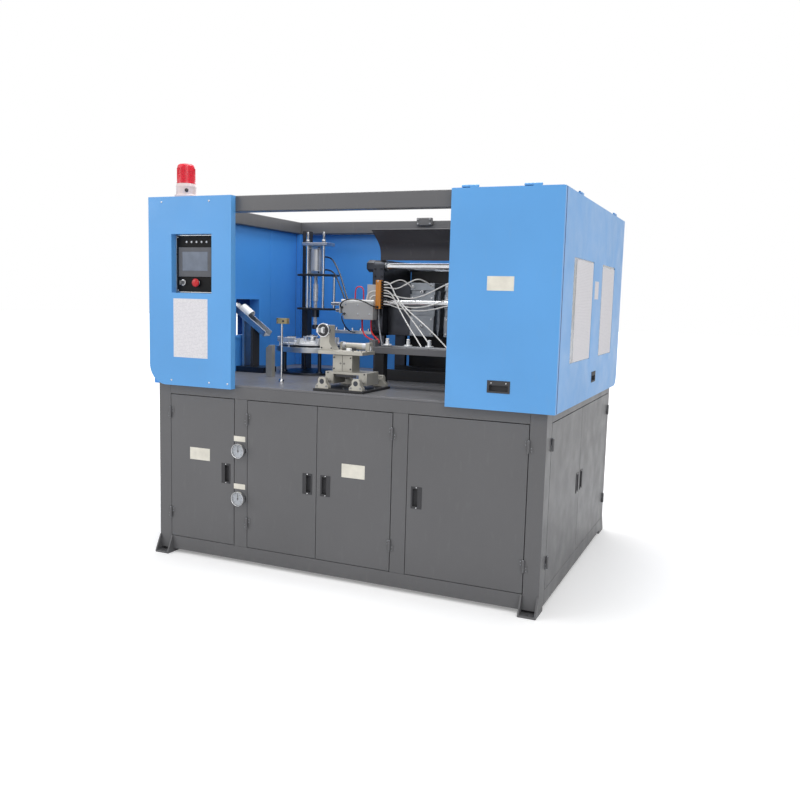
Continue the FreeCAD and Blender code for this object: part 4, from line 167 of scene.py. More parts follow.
class NodeTree:
    """A node tree under construction."""

    def __init__(self, tree: bpy.types.NodeTree) -> None:
        """Start with an empty tree."""
        self.tree = tree
        self.tree.nodes.clear()

    def node(self, kind: str, links: dict[str | int, Socket] | None = None,
             values: dict[str | int, object] | None = None, **settings: object) -> bpy.types.Node:
        """Add a node.

        Args:
            kind: The node's type name.
            links: Which socket feeds each input, by the input's name or number.
            values: The fixed value of each other input.
            settings: Attributes of the node.

        Returns:
            The new node.
        """
        node = self.tree.nodes.new(kind)
        for name, value in settings.items():
            setattr(node, name, value)
        for name, value in (values or {}).items():
            node.inputs[name].default_value = value
        for name, socket in (links or {}).items():
            self.tree.links.new(socket, node.inputs[name])
        return node


class ShaderTree(NodeTree):
    """A material's node tree, with short calls for the nodes that finishes use."""

    def __init__(self, name: str) -> None:
        """Start a material that holds one principled shader.

        Args:
            name: The material's name.
        """
        self.material = bpy.data.materials.new(name)
        self.material.use_nodes = True
        super().__init__(self.material.node_tree)
        self.shader = self.node("ShaderNodeBsdfPrincipled")
        self.output = self.node("ShaderNodeOutputMaterial", {"Surface": self.shader.outputs["BSDF"]})

    def place(self, stretch: Point = (1.0, 1.0, 1.0)) -> Socket:
        """Object coordinates, stretched along the axes."""
        source = self.node("ShaderNodeTexCoord").outputs["Object"]
        return self.node("ShaderNodeMapping", {"Vector": source}, {"Scale": stretch}).outputs["Vector"]

    def noise(self, scale: float, detail: float = 3.0, stretch: Point = (1.0, 1.0, 1.0)) -> Socket:
        """A soft random field from 0 to 1 over the piece, with a scale in waves per metre."""
        return self.node("ShaderNodeTexNoise", {"Vector": self.place(stretch)},
                         {"Scale": scale, "Detail": detail}).outputs["Fac"]

    def span(self, value: Socket, low: float, high: float, start: float = 0.3,
             end: float = 0.7) -> Socket:
        """Carry a field over from the range start to end to the range low to high."""
        return self.node("ShaderNodeMapRange", {"Value": value}, {
            "From Min": start, "From Max": end, "To Min": low, "To Max": high}).outputs["Result"]

    def blend(self, share: Socket, first: Colour | Socket, second: Colour | Socket) -> Socket:
        """Mix two colours by a field.

        Args:
            share: 0 gives the first colour and 1 the second.
            first: A colour or the socket of one.
            second: A colour or the socket of one.

        Returns:
            The socket with the mixed colour.
        """
        node = self.node("ShaderNodeMix", {"Factor": share}, data_type="RGBA")
        for name, colour in (("A", first), ("B", second)):
            socket = next(s for s in node.inputs if s.name == name and s.type == "RGBA")
            if isinstance(colour, Socket):
                self.tree.links.new(colour, socket)
            else:
                socket.default_value = colour
        return next(s for s in node.outputs if s.type == "RGBA")

    def tone(self, field: Socket, colour: Colour, dark: float, light: float) -> Socket:
        """Let a field move a colour between a darker and a lighter shade of it."""
        return self.blend(self.span(field, 0.0, 1.0), shade(colour, dark), shade(colour, light))

    def relief(self, height: Socket, depth: float) -> None:
        """Let a field raise the surface by a bump of a depth in metres."""
        bump = self.node("ShaderNodeBump", {"Height": height}, {"Distance": depth, "Strength": 1.0})
        self.put("Normal", bump.outputs["Normal"])

    def put(self, name: str, value: float | Colour | Socket) -> None:
        """Set or feed one input of the shader.

        Args:
            name: The input's name.
            value: A number, a colour, or the socket that feeds it.
        """
        if isinstance(value, Socket):
            self.tree.links.new(value, self.shader.inputs[name])
        else:
            self.shader.inputs[name].default_value = value


class Grain(Enum):
    """How a metal surface was worked, as the stretch of its marks on each axis."""

    ALONG_X = (0.03, 1.0, 1.0)
    ALONG_Z = (1.0, 1.0, 0.03)
    EVEN = (1.0, 1.0, 1.0)


@dataclass(frozen=True)
class Finish:
    """A surface finish with its name, the record's slot that it belongs to and its colour."""

    name: str
    slot: str
    colour: Colour

    def material(self) -> bpy.types.Material:
        """Make the finish's material the first time it is asked for.

        Returns:
            The material.
        """
        known = bpy.data.materials.get(self.name)
        if known:
            return known
        tree = ShaderTree(self.name)
        self.dress(tree)
        return tree.material

    def dress(self, tree: ShaderTree) -> None:
        """Set up the shader; each kind of finish does this its own way."""
        raise NotImplementedError


@dataclass(frozen=True)
class Paint(Finish):
    """Baked enamel on sheet or castings: fine peel, light scuffs and dust."""

    roughness: float = 0.36
    peel: float = 0.00012
    dust: float = 0.10

    def dress(self, tree: ShaderTree) -> None:
        """Build the paint's colour drift, scuffs, gloss and peel.

        Args:
            tree: The shader tree to fill.
        """
        colour = tree.tone(tree.noise(2.3, 4.0), self.colour, 0.95, 1.04)
        scuff = tree.span(tree.noise(46.0, 8.0, (1.0, 1.0, 0.22)), 0.0, self.dust, 0.60, 0.74)
        pale = tuple(0.55 * part + 0.16 for part in self.colour[:3]) + (1.0,)
        tree.put("Base Color", tree.blend(scuff, colour, pale))
        tree.put("Roughness", tree.span(tree.noise(9.0, 6.0), self.roughness - 0.05,
                                        self.roughness + 0.08))
        tree.relief(tree.noise(520.0, 2.0), self.peel)


@dataclass(frozen=True)
class Metal(Finish):
    """Bare or plated metal with grain, faint smudges and small scratches."""

    roughness: float = 0.3
    grain: Grain = Grain.EVEN
    depth: float = 0.00003
    metallic: float = 1.0

    def dress(self, tree: ShaderTree) -> None:
        """Build the metal's tone, its worked grain and its smudges.

        Args:
            tree: The shader tree to fill.
        """
        marks = tree.noise(640.0, 4.0, self.grain.value)
        tone = tree.tone(tree.noise(14.0, 5.0), self.colour, 0.86, 1.06)
        streak = tree.span(marks, 0.0, 0.16, 0.35, 0.75)
        tree.put("Base Color", tree.blend(streak, tone, shade(self.colour, 0.62)))
        tree.put("Metallic", self.metallic)
        tree.put("Roughness", tree.span(tree.noise(31.0, 6.0), max(0.05, self.roughness - 0.06),
                                        self.roughness + 0.10))
        tree.relief(marks, self.depth)


@dataclass(frozen=True)
class Plastic(Finish):
    """Moulded plastic or rubber with a fine grain."""

    roughness: float = 0.42
    grain: float = 0.00004
    clear: float = 0.0
    gloss: float = 0.5

    def dress(self, tree: ShaderTree) -> None:
        """Build the plastic's colour, gloss and moulded grain.

        Args:
            tree: The shader tree to fill.
        """
        tree.put("Base Color", tree.tone(tree.noise(24.0, 4.0), self.colour, 0.90, 1.08))
        tree.put("Roughness", tree.span(tree.noise(60.0, 5.0), self.roughness - 0.06,
                                        self.roughness + 0.08))
        tree.put("Transmission Weight", self.clear)
        tree.put("Specular IOR Level", self.gloss)
        tree.relief(tree.noise(1500.0, 2.0), self.grain)


@dataclass(frozen=True)
class Clear(Finish):
    """Clear or tinted sheet and glass with faint wipe marks."""

    roughness: float = 0.04
    index: float = 1.49

    def dress(self, tree: ShaderTree) -> None:
        """Build the clear body and its wipe marks.

        Args:
            tree: The shader tree to fill.
        """
        wipe = tree.noise(18.0, 6.0, (1.0, 0.3, 1.0))
        tree.put("Base Color", tree.tone(wipe, self.colour, 0.96, 1.0))
        tree.put("Roughness", tree.span(wipe, self.roughness, self.roughness + 0.06))
        tree.put("Transmission Weight", 1.0)
        tree.put("IOR", self.index)


@dataclass(frozen=True)
class Paper(Finish):
    """Printed sheet with rows of faint grey strokes that spell nothing."""

    ink: Colour
    row: float = 7.0
    strength: float = 0.36

    def dress(self, tree: ShaderTree) -> None:
        """Build the sheet's fibres and the rows of strokes.

        Args:
            tree: The shader tree to fill.
        """
        split = tree.node("ShaderNodeSeparateXYZ", {"Vector": tree.place((1000 / self.row,) * 3)})
        wave = tree.node("ShaderNodeMath", {0: split.outputs["Z"]}, operation="FRACT")
        band = tree.node("ShaderNodeMath", {0: wave.outputs["Value"]}, {1: 0.34},
                         operation="LESS_THAN")
        words = tree.span(tree.noise(150.0, 1.0, (1.0, 1.0, 0.9)), 0.0, self.strength, 0.44, 0.50)
        print_share = tree.node("ShaderNodeMath", {0: band.outputs["Value"], 1: words},
                                operation="MULTIPLY")
        fibre = tree.blend(tree.noise(90.0, 5.0), shade(self.colour, 0.95), self.colour)
        tree.put("Base Color", tree.blend(print_share.outputs["Value"], fibre, self.ink))
        tree.put("Roughness", tree.span(tree.noise(200.0, 3.0), 0.62, 0.78))
        tree.relief(tree.noise(700.0, 3.0), 0.00003)


CABINET_PAINT = Paint("cabinet_grey_enamel", "cabinet_paint", srgb(95, 95, 97))
TABLE_PAINT = Paint("table_grey_enamel", "cabinet_paint", srgb(106, 106, 109), 0.34)
BLUE_PAINT = Paint("cover_blue_enamel", "blue_paint", srgb(92, 160, 222), 0.34, dust=0.05)
WALL_PAINT = Paint("wall_blue_enamel", "blue_paint", srgb(74, 152, 232), 0.42, dust=0.05)
BLACK_PAINT = Paint("black_machine_enamel", "dark_machine_paint", srgb(33, 33, 36), 0.50)
HOOD_PAINT = Paint("hood_dark_enamel", "dark_machine_paint", srgb(54, 53, 59), 0.44)
PALE_PAINT = Paint("pale_grey_enamel", "grey_machine_paint", srgb(188, 188, 187), 0.38)
RAIL_PAINT = Paint("rail_grey_enamel", "grey_machine_paint", srgb(104, 104, 107), 0.40)
ORANGE_PAINT = Paint("orange_anodised", "manifold_paint", srgb(214, 138, 52), 0.34)
STEEL = Metal("ground_steel", "steel", srgb(150, 152, 156), 0.32, Grain.ALONG_X)
DARK_STEEL = Metal("blued_steel", "steel", srgb(74, 76, 82), 0.36)
BRIGHT_STEEL = Metal("turned_steel", "steel", srgb(214, 215, 217), 0.18)
CHROME_X = Metal("chromed_bar_x", "hard_chrome", srgb(228, 230, 233), 0.12, Grain.ALONG_X,
                 0.00001)
CHROME_Z = Metal("chromed_bar_z", "hard_chrome", srgb(226, 228, 232), 0.13, Grain.ALONG_Z,
                 0.00001)
RAM_CHROME = Metal("bright_ram", "hard_chrome", srgb(226, 227, 229), 0.26, Grain.EVEN,
                   0.00001, 0.3)
ALUMINIUM = Metal("milled_aluminium", "aluminium_plate", srgb(196, 199, 203), 0.34,
                  Grain.ALONG_X)
MOULD_METAL = Metal("mould_aluminium", "aluminium_plate", srgb(150, 155, 162), 0.40,
                    Grain.ALONG_Z)
PLATE_METAL = Metal("satin_anodised", "aluminium_plate", srgb(184, 181, 172), 0.44,
                    Grain.EVEN, 0.00002, 0.45)
BARREL_METAL = Metal("drawn_aluminium", "aluminium_plate", srgb(192, 194, 198), 0.38,
                     Grain.ALONG_Z, 0.00001, 0.5)
SENSOR_METAL = Metal("sensor_brass", "grey_machine_paint", srgb(206, 186, 136), 0.34,
                     Grain.EVEN, 0.00002, 0.7)
MANDREL_METAL = Metal("satin_mandrel", "steel", srgb(226, 227, 228), 0.34, Grain.EVEN,
                      0.00002, 0.40)
LAMP_GLASS = Plastic("frosted_lamp_glass", "steel", srgb(236, 226, 214), 0.22, 0.0, 0.2)
MIRROR = Metal("reflector_mirror", "reflector_metal", srgb(235, 236, 238), 0.06)
BLACK_PLASTIC = Plastic("black_plastic", "black_plastic", srgb(11, 11, 13), 0.5, gloss=0.25)
FACE_PLASTIC = Plastic("black_face_panel", "black_plastic", srgb(6, 6, 8), 0.5, gloss=0.2)
SCREEN_FRAME = Plastic("screen_frame_plastic", "screen_plastic", srgb(80, 82, 88), 0.40)
SCREEN_GLASS = Plastic("screen_glass", "screen_plastic", srgb(108, 117, 132), 0.16, 0.0)
RED_PLASTIC = Plastic("red_button_plastic", "red_plastic", srgb(196, 22, 30), 0.28)
WHITE_PLASTIC = Plastic("white_plastic", "white_plastic", srgb(216, 214, 212), 0.42)
BEACON_WHITE = Plastic("beacon_base_plastic", "white_plastic", srgb(219, 202, 201), 0.42)
KNOB_PLASTIC = Plastic("dark_knob_plastic", "black_plastic", srgb(52, 46, 50), 0.38)
CURTAIN_RUBBER = Plastic("dark_blue_curtain", "black_plastic", srgb(24, 62, 122), 0.5)
RED_LENS = Plastic("red_lens_plastic", "red_lens", srgb(240, 20, 52), 0.24, 0.0, 0.25)
CLEAR_SHEET = Clear("clear_window_sheet", "clear_panel", srgb(232, 238, 242))
DIAL_GLASS = Clear("gauge_glass", "clear_panel", srgb(246, 248, 250))
NEEDLE_PAINT = Plastic("needle_enamel", "needle_paint", srgb(26, 27, 30), 0.35)
DIAL_FACE = Plastic("dial_enamel", "white_plastic", srgb(222, 224, 229), 0.36)
PLATE_CREAM = Plastic("plain_label_plate", "white_plastic", srgb(224, 220, 208), 0.46)
PRINTED_SHEET = Paper("instruction_sheet", "white_plastic", srgb(226, 224, 228),
                      srgb(158, 158, 168))
TUBE_WHITE = Plastic("white_tube", "tube_plastic", srgb(232, 231, 228), 0.30, 0.0)
TUBE_BLACK = Plastic("black_tube", "tube_plastic", srgb(26, 27, 33), 0.26, 0.0)
TUBE_RED = Plastic("red_tube", "tube_plastic", srgb(214, 44, 36), 0.30, 0.0)
TUBE_GREY = Plastic("grey_tube", "tube_plastic", srgb(120, 122, 128), 0.34, 0.0)


# ---- mesh building

def placed(name: str, data: bpy.types.ID) -> Thing:
    """Put data into the scene.

    Args:
        name: The new object's name.
        data: Its mesh, curve, light or camera.

    Returns:
        The object.
    """
    item = bpy.data.objects.new(name, data)
    bpy.context.scene.collection.objects.link(item)
    return item


def saved(mesh: Draft, name: str, finishes: Sequence[Finish] = ()) -> Mesh:
    """Turn a working mesh into plain data and let the working mesh go.

    Args:
        mesh: The working mesh.
        name: The name of the data.
        finishes: The finishes of its material slots.

    Returns:
        The plain mesh.
    """
    data = bpy.data.meshes.new(name)
    mesh.to_mesh(data)
    mesh.free()
    for finish in finishes:
        data.materials.append(finish.material())
    return data


def flattened(item: Thing) -> Mesh:
    """Keep an object's final shape and remove the object.

    Args:
        item: An object with modifiers or text.

    Returns:
        Its shape as a plain mesh.
    """
    graph = bpy.context.evaluated_depsgraph_get()
    mesh = bpy.data.meshes.new_from_object(item.evaluated_get(graph), depsgraph=graph)
    bpy.data.objects.remove(item)
    return mesh


def declare(piece: Thing, body: str, replaced: Sequence[str]) -> None:
    """Say what a piece is to the frame.

    Args:
        piece: The piece.
        body: The body that it rides on.
        replaced: CAD nodes that it stands for.
    """
    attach(piece, body)
    if replaced:
        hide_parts(*replaced)
    LOG.info("made %s on %s", piece.name, body)


def settle(name: str, mesh: Mesh, body: str,
           replaced: Sequence[str] = ()) -> None:
    """Turn a finished mesh into a piece of the machine.

    Args:
        name: The piece's name.
        mesh: Its mesh, in metres in the frame.
        body: The body that it rides on.
        replaced: CAD nodes that the piece stands for.
    """
    piece = placed(name, mesh)
    mesh.shade_smooth()
    mesh.set_sharp_from_angle(angle=ROUND_ANGLE)
    piece.modifiers.new("Flat faces stay flat", "WEIGHTED_NORMAL").keep_sharp = True
    declare(piece, body, replaced)


def soften(mesh: Draft, faces: Sequence[Face], width: float) -> None:
    """Round the sharp edges of one closed solid.

    Args:
        mesh: The mesh that holds the solid.
        faces: The solid's faces.
        width: How far the rounding reaches, in the mesh's units.
    """
    edges = [edge for edge in dict.fromkeys(edge for face in faces for edge in face.edges)
             if len(edge.link_faces) == 2 and edge.calc_face_angle(0.0) > ROUND_ANGLE]
    if edges:
        bmesh.ops.bevel(mesh, geom=edges, offset=width, offset_type="OFFSET", segments=2,
                        profile=0.5, affect="EDGES", clamp_overlap=True, material=-1)


def turn_to(axis: Sequence[float]) -> Matrix:
    """The turn from the Z axis to another direction."""
    return Vector((0, 0, 1)).rotation_difference(Vector(axis)).to_matrix()


def around(number: float, count: int, radius: float = 1.0) -> Pair:
    """Where one of several evenly spaced points on a circle lies."""
    angle = 2 * math.pi * number / count
    return radius * math.cos(angle), radius * math.sin(angle)


@dataclass
class Stock:
    """Solids in machine millimetres that together become one piece.

    Every call that adds a solid gives the stock back, for the next call.

    Attributes:
        edge: The usual rounding of a block's edges, in millimetres.
        mesh: The mesh that the solids are gathered in.
        finishes: The finishes used so far, in the order of the material slots.
    """

    edge: float = 0.8
    mesh: Draft = field(default_factory=bmesh.new)
    finishes: list[Finish] = field(default_factory=list)

    def rings(self, rings: Sequence[Sequence[Vector]], finish: Finish,
              closed: bool = False) -> list[Face]:
        """Skin rings of points; a ring of one point is a pole.

        Args:
            rings: The rings in order, each with the same number of points or one.
            finish: The finish of the skin.
            closed: Whether the last ring joins the first one, as in a pipe's wall.

        Returns:
            The new faces.
        """
        rows = [[self.mesh.verts.new(point) for point in ring] for ring in rings]
        faces = []
        pairs = list(pairwise(rows)) + ([(rows[-1], rows[0])] if closed else [])
        for lower, upper in pairs:
            for number in range(max(len(lower), len(upper))):
                corners = [lower[number % len(lower)], lower[(number + 1) % len(lower)],
                           upper[(number + 1) % len(upper)], upper[number % len(upper)]]
                faces.append(self.mesh.faces.new(list(dict.fromkeys(corners))))
        if not closed:
            faces += [self.mesh.faces.new(row) for row in (rows[0], rows[-1]) if len(row) > 2]
        bmesh.ops.recalc_face_normals(self.mesh, faces=faces)
        if finish not in self.finishes:
            self.finishes.append(finish)
        for face in faces:
            face.material_index = self.finishes.index(finish)
        return faces

    def lathe(self, profile: Outline, base: Point, axis: Point, finish: Finish,
              sides: int = 40, closed: bool = False) -> "Stock":
        """Turn a profile about an axis.

        Args:
            profile: Radius and height pairs along the outline.
            base: Where height 0 is on the axis.
            axis: The direction of the axis.
            finish: The finish of the solid.
            sides: How many facets go round.
            closed: Whether the profile is a closed outline round a hole.

        Returns:
            The stock.
        """
        turn = turn_to(axis)
        self.rings([[Vector(base) + turn @ Vector((*around(number, sides, radius), height))
                     for number in range(sides if radius > 1e-6 else 1)]
                    for radius, height in profile], finish, closed)
        return self

    def bar(self, start: Point, end: Point, radius: float, finish: Finish,
            sides: int = 32) -> "Stock":
        """Add a round bar with a small chamfer at each end.

        Args:
            start: The middle of one end.
            end: The middle of the other end.
            radius: Its radius.
            finish: The finish of the bar.
            sides: How many facets go round.

        Returns:
            The stock.
        """
        way = Vector(end) - Vector(start)
        nick = min(0.8, 0.1 * radius, 0.2 * way.length)
        return self.lathe([(0, 0), (radius - nick, 0), (radius, nick), (radius, way.length - nick),
                           (radius - nick, way.length), (0, way.length)], start, tuple(way),
                          finish, sides)

    def nut(self, base: Point, axis: Point, radius: float, height: float,
            finish: Finish) -> "Stock":
        """A six-sided nut with chamfered corners and its rounded top."""
        return self.lathe([(0, 0), (0.94 * radius, 0), (radius, 0.08 * height),
                           (radius, 0.86 * height), (0.88 * radius, height), (0, height)],
                          base, axis, finish, 6)

    def prism(self, outline: Outline, low: float, high: float, finish: Finish,
              edge: float | None = None) -> "Stock":
        """Carry an outline upwards.

        Args:
            outline: The x and y of each corner.
            low: Where the solid starts on the Z axis.
            high: Where it ends.
            finish: The finish of the solid.
            edge: The rounding of its edges, or None for the stock's own.

        Returns:
            The stock.
        """
        faces = self.rings([[Vector((x, y, z)) for x, y in outline] for z in (low, high)], finish)
        soften(self.mesh, faces, self.edge if edge is None else edge)
        return self

    def block(self, low: Point, high: Point, finish: Finish, edge: float | None = None) -> "Stock":
        """A block between two corners, with rounded edges."""
        return self.prism([low[:2], (high[0], low[1]), high[:2], (low[0], high[1])], low[2],
                          high[2], finish, edge)

    def piece(self, name: str, body: str = STANDING, replaced: Sequence[str] = ()) -> None:
        """Finish the stock as one piece.

        Args:
            name: The piece's name.
            body: The body that it rides on.
            replaced: CAD nodes that the piece stands for.
        """
        self.mesh.transform(Matrix.Translation(SHIFT))
        self.mesh.transform(Matrix.Scale(MM, 4))
        settle(name, saved(self.mesh, name, self.finishes), body, replaced)


def islands(mesh: Draft) -> list[list[Face]]:
    """Find the faces of each loose solid, always in the same order.

    Args:
        mesh: The mesh that holds the solids.

    Returns:
        The faces of each solid.
    """
    waiting = dict.fromkeys(mesh.faces)
    found = []
    while waiting:
        group, reached = [], [waiting.popitem()[0]]
        while reached:
            face = reached.pop()
            group.append(face)
            for edge in face.edges:
                for other in edge.link_faces:
                    if other in waiting:
                        del waiting[other]
                        reached.append(other)
        found.append(group)
    return found


Rule = Callable[[Vector, Vector], Finish]


def stout(_centre: Vector, size: Vector) -> bool:
    """Whether a loose solid of this size isn't just one thin round bar."""
    small, middle, large = sorted(size)
    return not (large > 3 * middle and middle < 36 and middle - small < 0.2 * middle)


def carried(node: str, finish: Finish | Rule, edge: float,
            keep: Callable[[Vector, Vector], bool] | None = None,
            main: Finish | None = None) -> None:
    """Make a piece of a CAD node's own shape, with rounded edges and its real finishes.

    Args:
        node: The CAD node, which the piece replaces.
        finish: One finish, or a rule that picks one from the centre and the size of each
            loose solid, in machine millimetres.
        edge: How far its edges are rounded, in millimetres.
        keep: A test, on centre and size, for the solids that stay in this piece.
        main: The finish that gives the piece its slot, where a rule picks among several.
    """
    source = frame["nodes"][node]
    mesh = bmesh.new()
    mesh.from_mesh(source.data)
    bmesh.ops.remove_doubles(mesh, verts=mesh.verts, dist=0.00001)
    bmesh.ops.split_edges(mesh, edges=[one for one in mesh.edges if len(one.link_faces) > 2])
    bmesh.ops.dissolve_limit(mesh, angle_limit=math.radians(0.4), verts=mesh.verts,
                             edges=mesh.edges, delimit={"NORMAL"})
    for group in islands(mesh):
        bmesh.ops.split(mesh, geom=group)
    used = [main] if main else []
    for group in islands(mesh):
        corners = [vert.co for face in group for vert in face.verts]
        low, high = (Vector([pick(corner[axis] for corner in corners) for axis in range(3)])
                     for pick in (min, max))
        centre, size = (low + high) / 2 / MM - SHIFT, (high - low) / MM
        if keep and not keep(centre, size):
            bmesh.ops.delete(mesh, geom=group, context="FACES")
            continue
        chosen = finish if isinstance(finish, Finish) else finish(centre, size)
        if chosen not in used:
            used.append(chosen)
        for face in group:
            face.material_index = used.index(chosen)
        soften(mesh, group, min(edge, 0.22 * min(size)) * MM)
    name = f"{node}_finished"
    settle(name, saved(mesh, name, used), body_of(source)[0], [node])


def carry(*nodes: tuple[str, Finish | Rule, float]) -> None:
    """Make the pieces of several CAD nodes, each with its finish and its rounding."""
    for node, finish, edge in nodes:
        carried(node, finish, edge)


def plain_plate(name: str, body: str, low: Pair, high: Pair,
                face: float, finish: Finish, side: bool = False) -> None:
    """Stick a thin plain plate or sheet on the front or the right side.

    Args:
        name: The piece's name.
        body: The body that it rides on.
        low: Its low corner along the face and up.
        high: Its high corner along the face and up.
        face: Where the face is, on Y for the front and on X for the side.
        finish: The plate's finish.
        side: Whether it is on the right side.
    """
    if side:
        near, far = (face, *low), (face + SHEET, *high)
    else:
        near, far = (low[0], face - SHEET, low[1]), (high[0], face, high[1])
    Stock(0.2).block(near, far, finish).piece(name, body)


# ---- repeated pieces

class Pattern(NodeTree):
    """A Geometry Nodes tree that copies a part, with named inputs."""

    def __init__(self, name: str, inputs: dict[str, str]) -> None:
        """Start a tree with its inputs and its output.

        Args:
            name: The tree's name.
            inputs: The socket kind of each named input, such as Float or Object.
        """
        super().__init__(bpy.data.node_groups.new(name, "GeometryNodeTree"))
        kinds = {"Geometry": "Geometry", **inputs, "Finish": "Material"}
        sockets = {label: self.tree.interface.new_socket(label, in_out="INPUT",
                                                         socket_type=f"NodeSocket{kind}")
                   for label, kind in kinds.items()}
        self.identifiers = {label: socket.identifier for label, socket in sockets.items()}
        self.tree.interface.new_socket("Geometry", in_out="OUTPUT", socket_type="NodeSocketGeometry")
        self.inlet = self.node("NodeGroupInput").outputs

    def close(self, links: dict[str, Socket]) -> None:
        """End the tree in real copies on points, with the finish on them.

        Args:
            links: What feeds the copies' points, part, rotation and scale.
        """
        copies = self.node("GeometryNodeInstanceOnPoints", links)
        real = self.node("GeometryNodeRealizeInstances", {"Geometry": copies.outputs["Instances"]})
        coat = self.node("GeometryNodeSetMaterial", {"Geometry": real.outputs["Geometry"],
                                                     "Material": self.inlet["Finish"]})
        self.node("NodeGroupOutput", {"Geometry": coat.outputs["Geometry"]})

    def run(self, name: str, carrier: Mesh, finish: Finish,
            values: dict[str, object]) -> Mesh:
        """Run the tree on a mesh and keep the result as a plain mesh.

        Args:
            name: The piece's name.
            carrier: The mesh that the tree works on.
            finish: The finish of the piece.
            values: The value of each named input.

        Returns:
            The plain mesh.
        """
        host = placed(f"{name}_host", carrier)
        modifier = host.modifiers.new(name, "NODES")
        modifier.node_group = self.tree
        for label, value in {**values, "Finish": finish.material()}.items():
            modifier[self.identifiers[label]] = value
        made = flattened(host)
        made.name = name
        return made


def scatter_pattern() -> Pattern:
    """Copy a part onto the points of a mesh, each facing its point's way.

    Returns:
        The pattern.
    """
    pattern = Pattern("part_on_each_point", {"Part": "Object", "Scale": "Float",
                                             "Loose turn": "Float"})
    facing = pattern.node("GeometryNodeInputNamedAttribute", values={"Name": "facing"},
                          data_type="FLOAT_VECTOR")
    aim = pattern.node("FunctionNodeAlignRotationToVector",
                       {"Vector": facing.outputs["Attribute"]}, axis="Z")
    turn = pattern.node("FunctionNodeRandomValue", {"Max": pattern.inlet["Loose turn"]},
                        {"Seed": 7}, data_type="FLOAT")
    spin = pattern.node("FunctionNodeAxisAngleToRotation", {"Angle": turn.outputs["Value"]})
    whole = pattern.node("FunctionNodeRotateRotation", {
        "Rotation": aim.outputs["Rotation"], "Rotate By": spin.outputs["Rotation"]},
        rotation_space="LOCAL")
    part = pattern.node("GeometryNodeObjectInfo", {"Object": pattern.inlet["Part"]})
    pattern.close({"Points": pattern.inlet["Geometry"], "Instance": part.outputs["Geometry"],
                   "Rotation": whole.outputs["Rotation"], "Scale": pattern.inlet["Scale"]})
    return pattern


def ring_pattern() -> Pattern:
    """Copy the incoming part along an arc about the Z axis.

    Returns:
        The pattern.
    """
    pattern = Pattern("part_round_an_arc", {"Count": "Int", "Radius": "Float",
                                            "First angle": "Float", "Step angle": "Float"})
    inlet = pattern.inlet
    points = pattern.node("GeometryNodePoints", {"Count": inlet["Count"]})
    number = pattern.node("GeometryNodeInputIndex")
    angle = pattern.node("ShaderNodeMath", {0: number.outputs["Index"], 1: inlet["Step angle"],
                                            2: inlet["First angle"]}, operation="MULTIPLY_ADD")
    turn = pattern.node("ShaderNodeCombineXYZ", {"Z": angle.outputs["Value"]})
    reach = pattern.node("ShaderNodeCombineXYZ", {"X": inlet["Radius"]})
    swing = pattern.node("ShaderNodeVectorRotate", {
        "Vector": reach.outputs["Vector"], "Angle": angle.outputs["Value"]},
        rotation_type="Z_AXIS")
    spots = pattern.node("GeometryNodeSetPosition", {"Geometry": points.outputs["Geometry"],
                                                     "Position": swing.outputs["Vector"]})
    pattern.close({"Points": spots.outputs["Geometry"], "Instance": inlet["Geometry"],
                   "Rotation": turn.outputs["Vector"]})
    return pattern


def row_pattern() -> Pattern:
    """Copy the incoming part in a straight row.

    Returns:
        The pattern.
    """
    pattern = Pattern("part_in_a_row", {"Count": "Int", "Step": "Vector"})
    inlet = pattern.inlet
    line = pattern.node("GeometryNodeMeshLine", {"Count": inlet["Count"], "Offset": inlet["Step"]})
    pattern.close({"Points": line.outputs["Mesh"], "Instance": inlet["Geometry"]})
    return pattern


class ScrewKind(Enum):
    """The head of a screw, as its outline in shares of the radius, and its facets."""

    DOME = (((0, 0), (1.0, 0.0), (1.0, 0.10), (0.86, 0.42), (0.55, 0.62), (0.30, 0.66),
             (0.24, 0.36), (0, 0.36)), 12)
    SOCKET = (((0, 0), (1.0, 0.0), (1.0, 0.92), (0.92, 1.0), (0.56, 1.0), (0.50, 0.94),
               (0.50, 0.45), (0, 0.45)), 12)
    HEX = (((0, 0), (0.94, 0.0), (1.0, 0.08), (1.0, 0.58), (0.86, 0.70), (0, 0.70)), 6)


DOME, SOCKET, HEX = ScrewKind


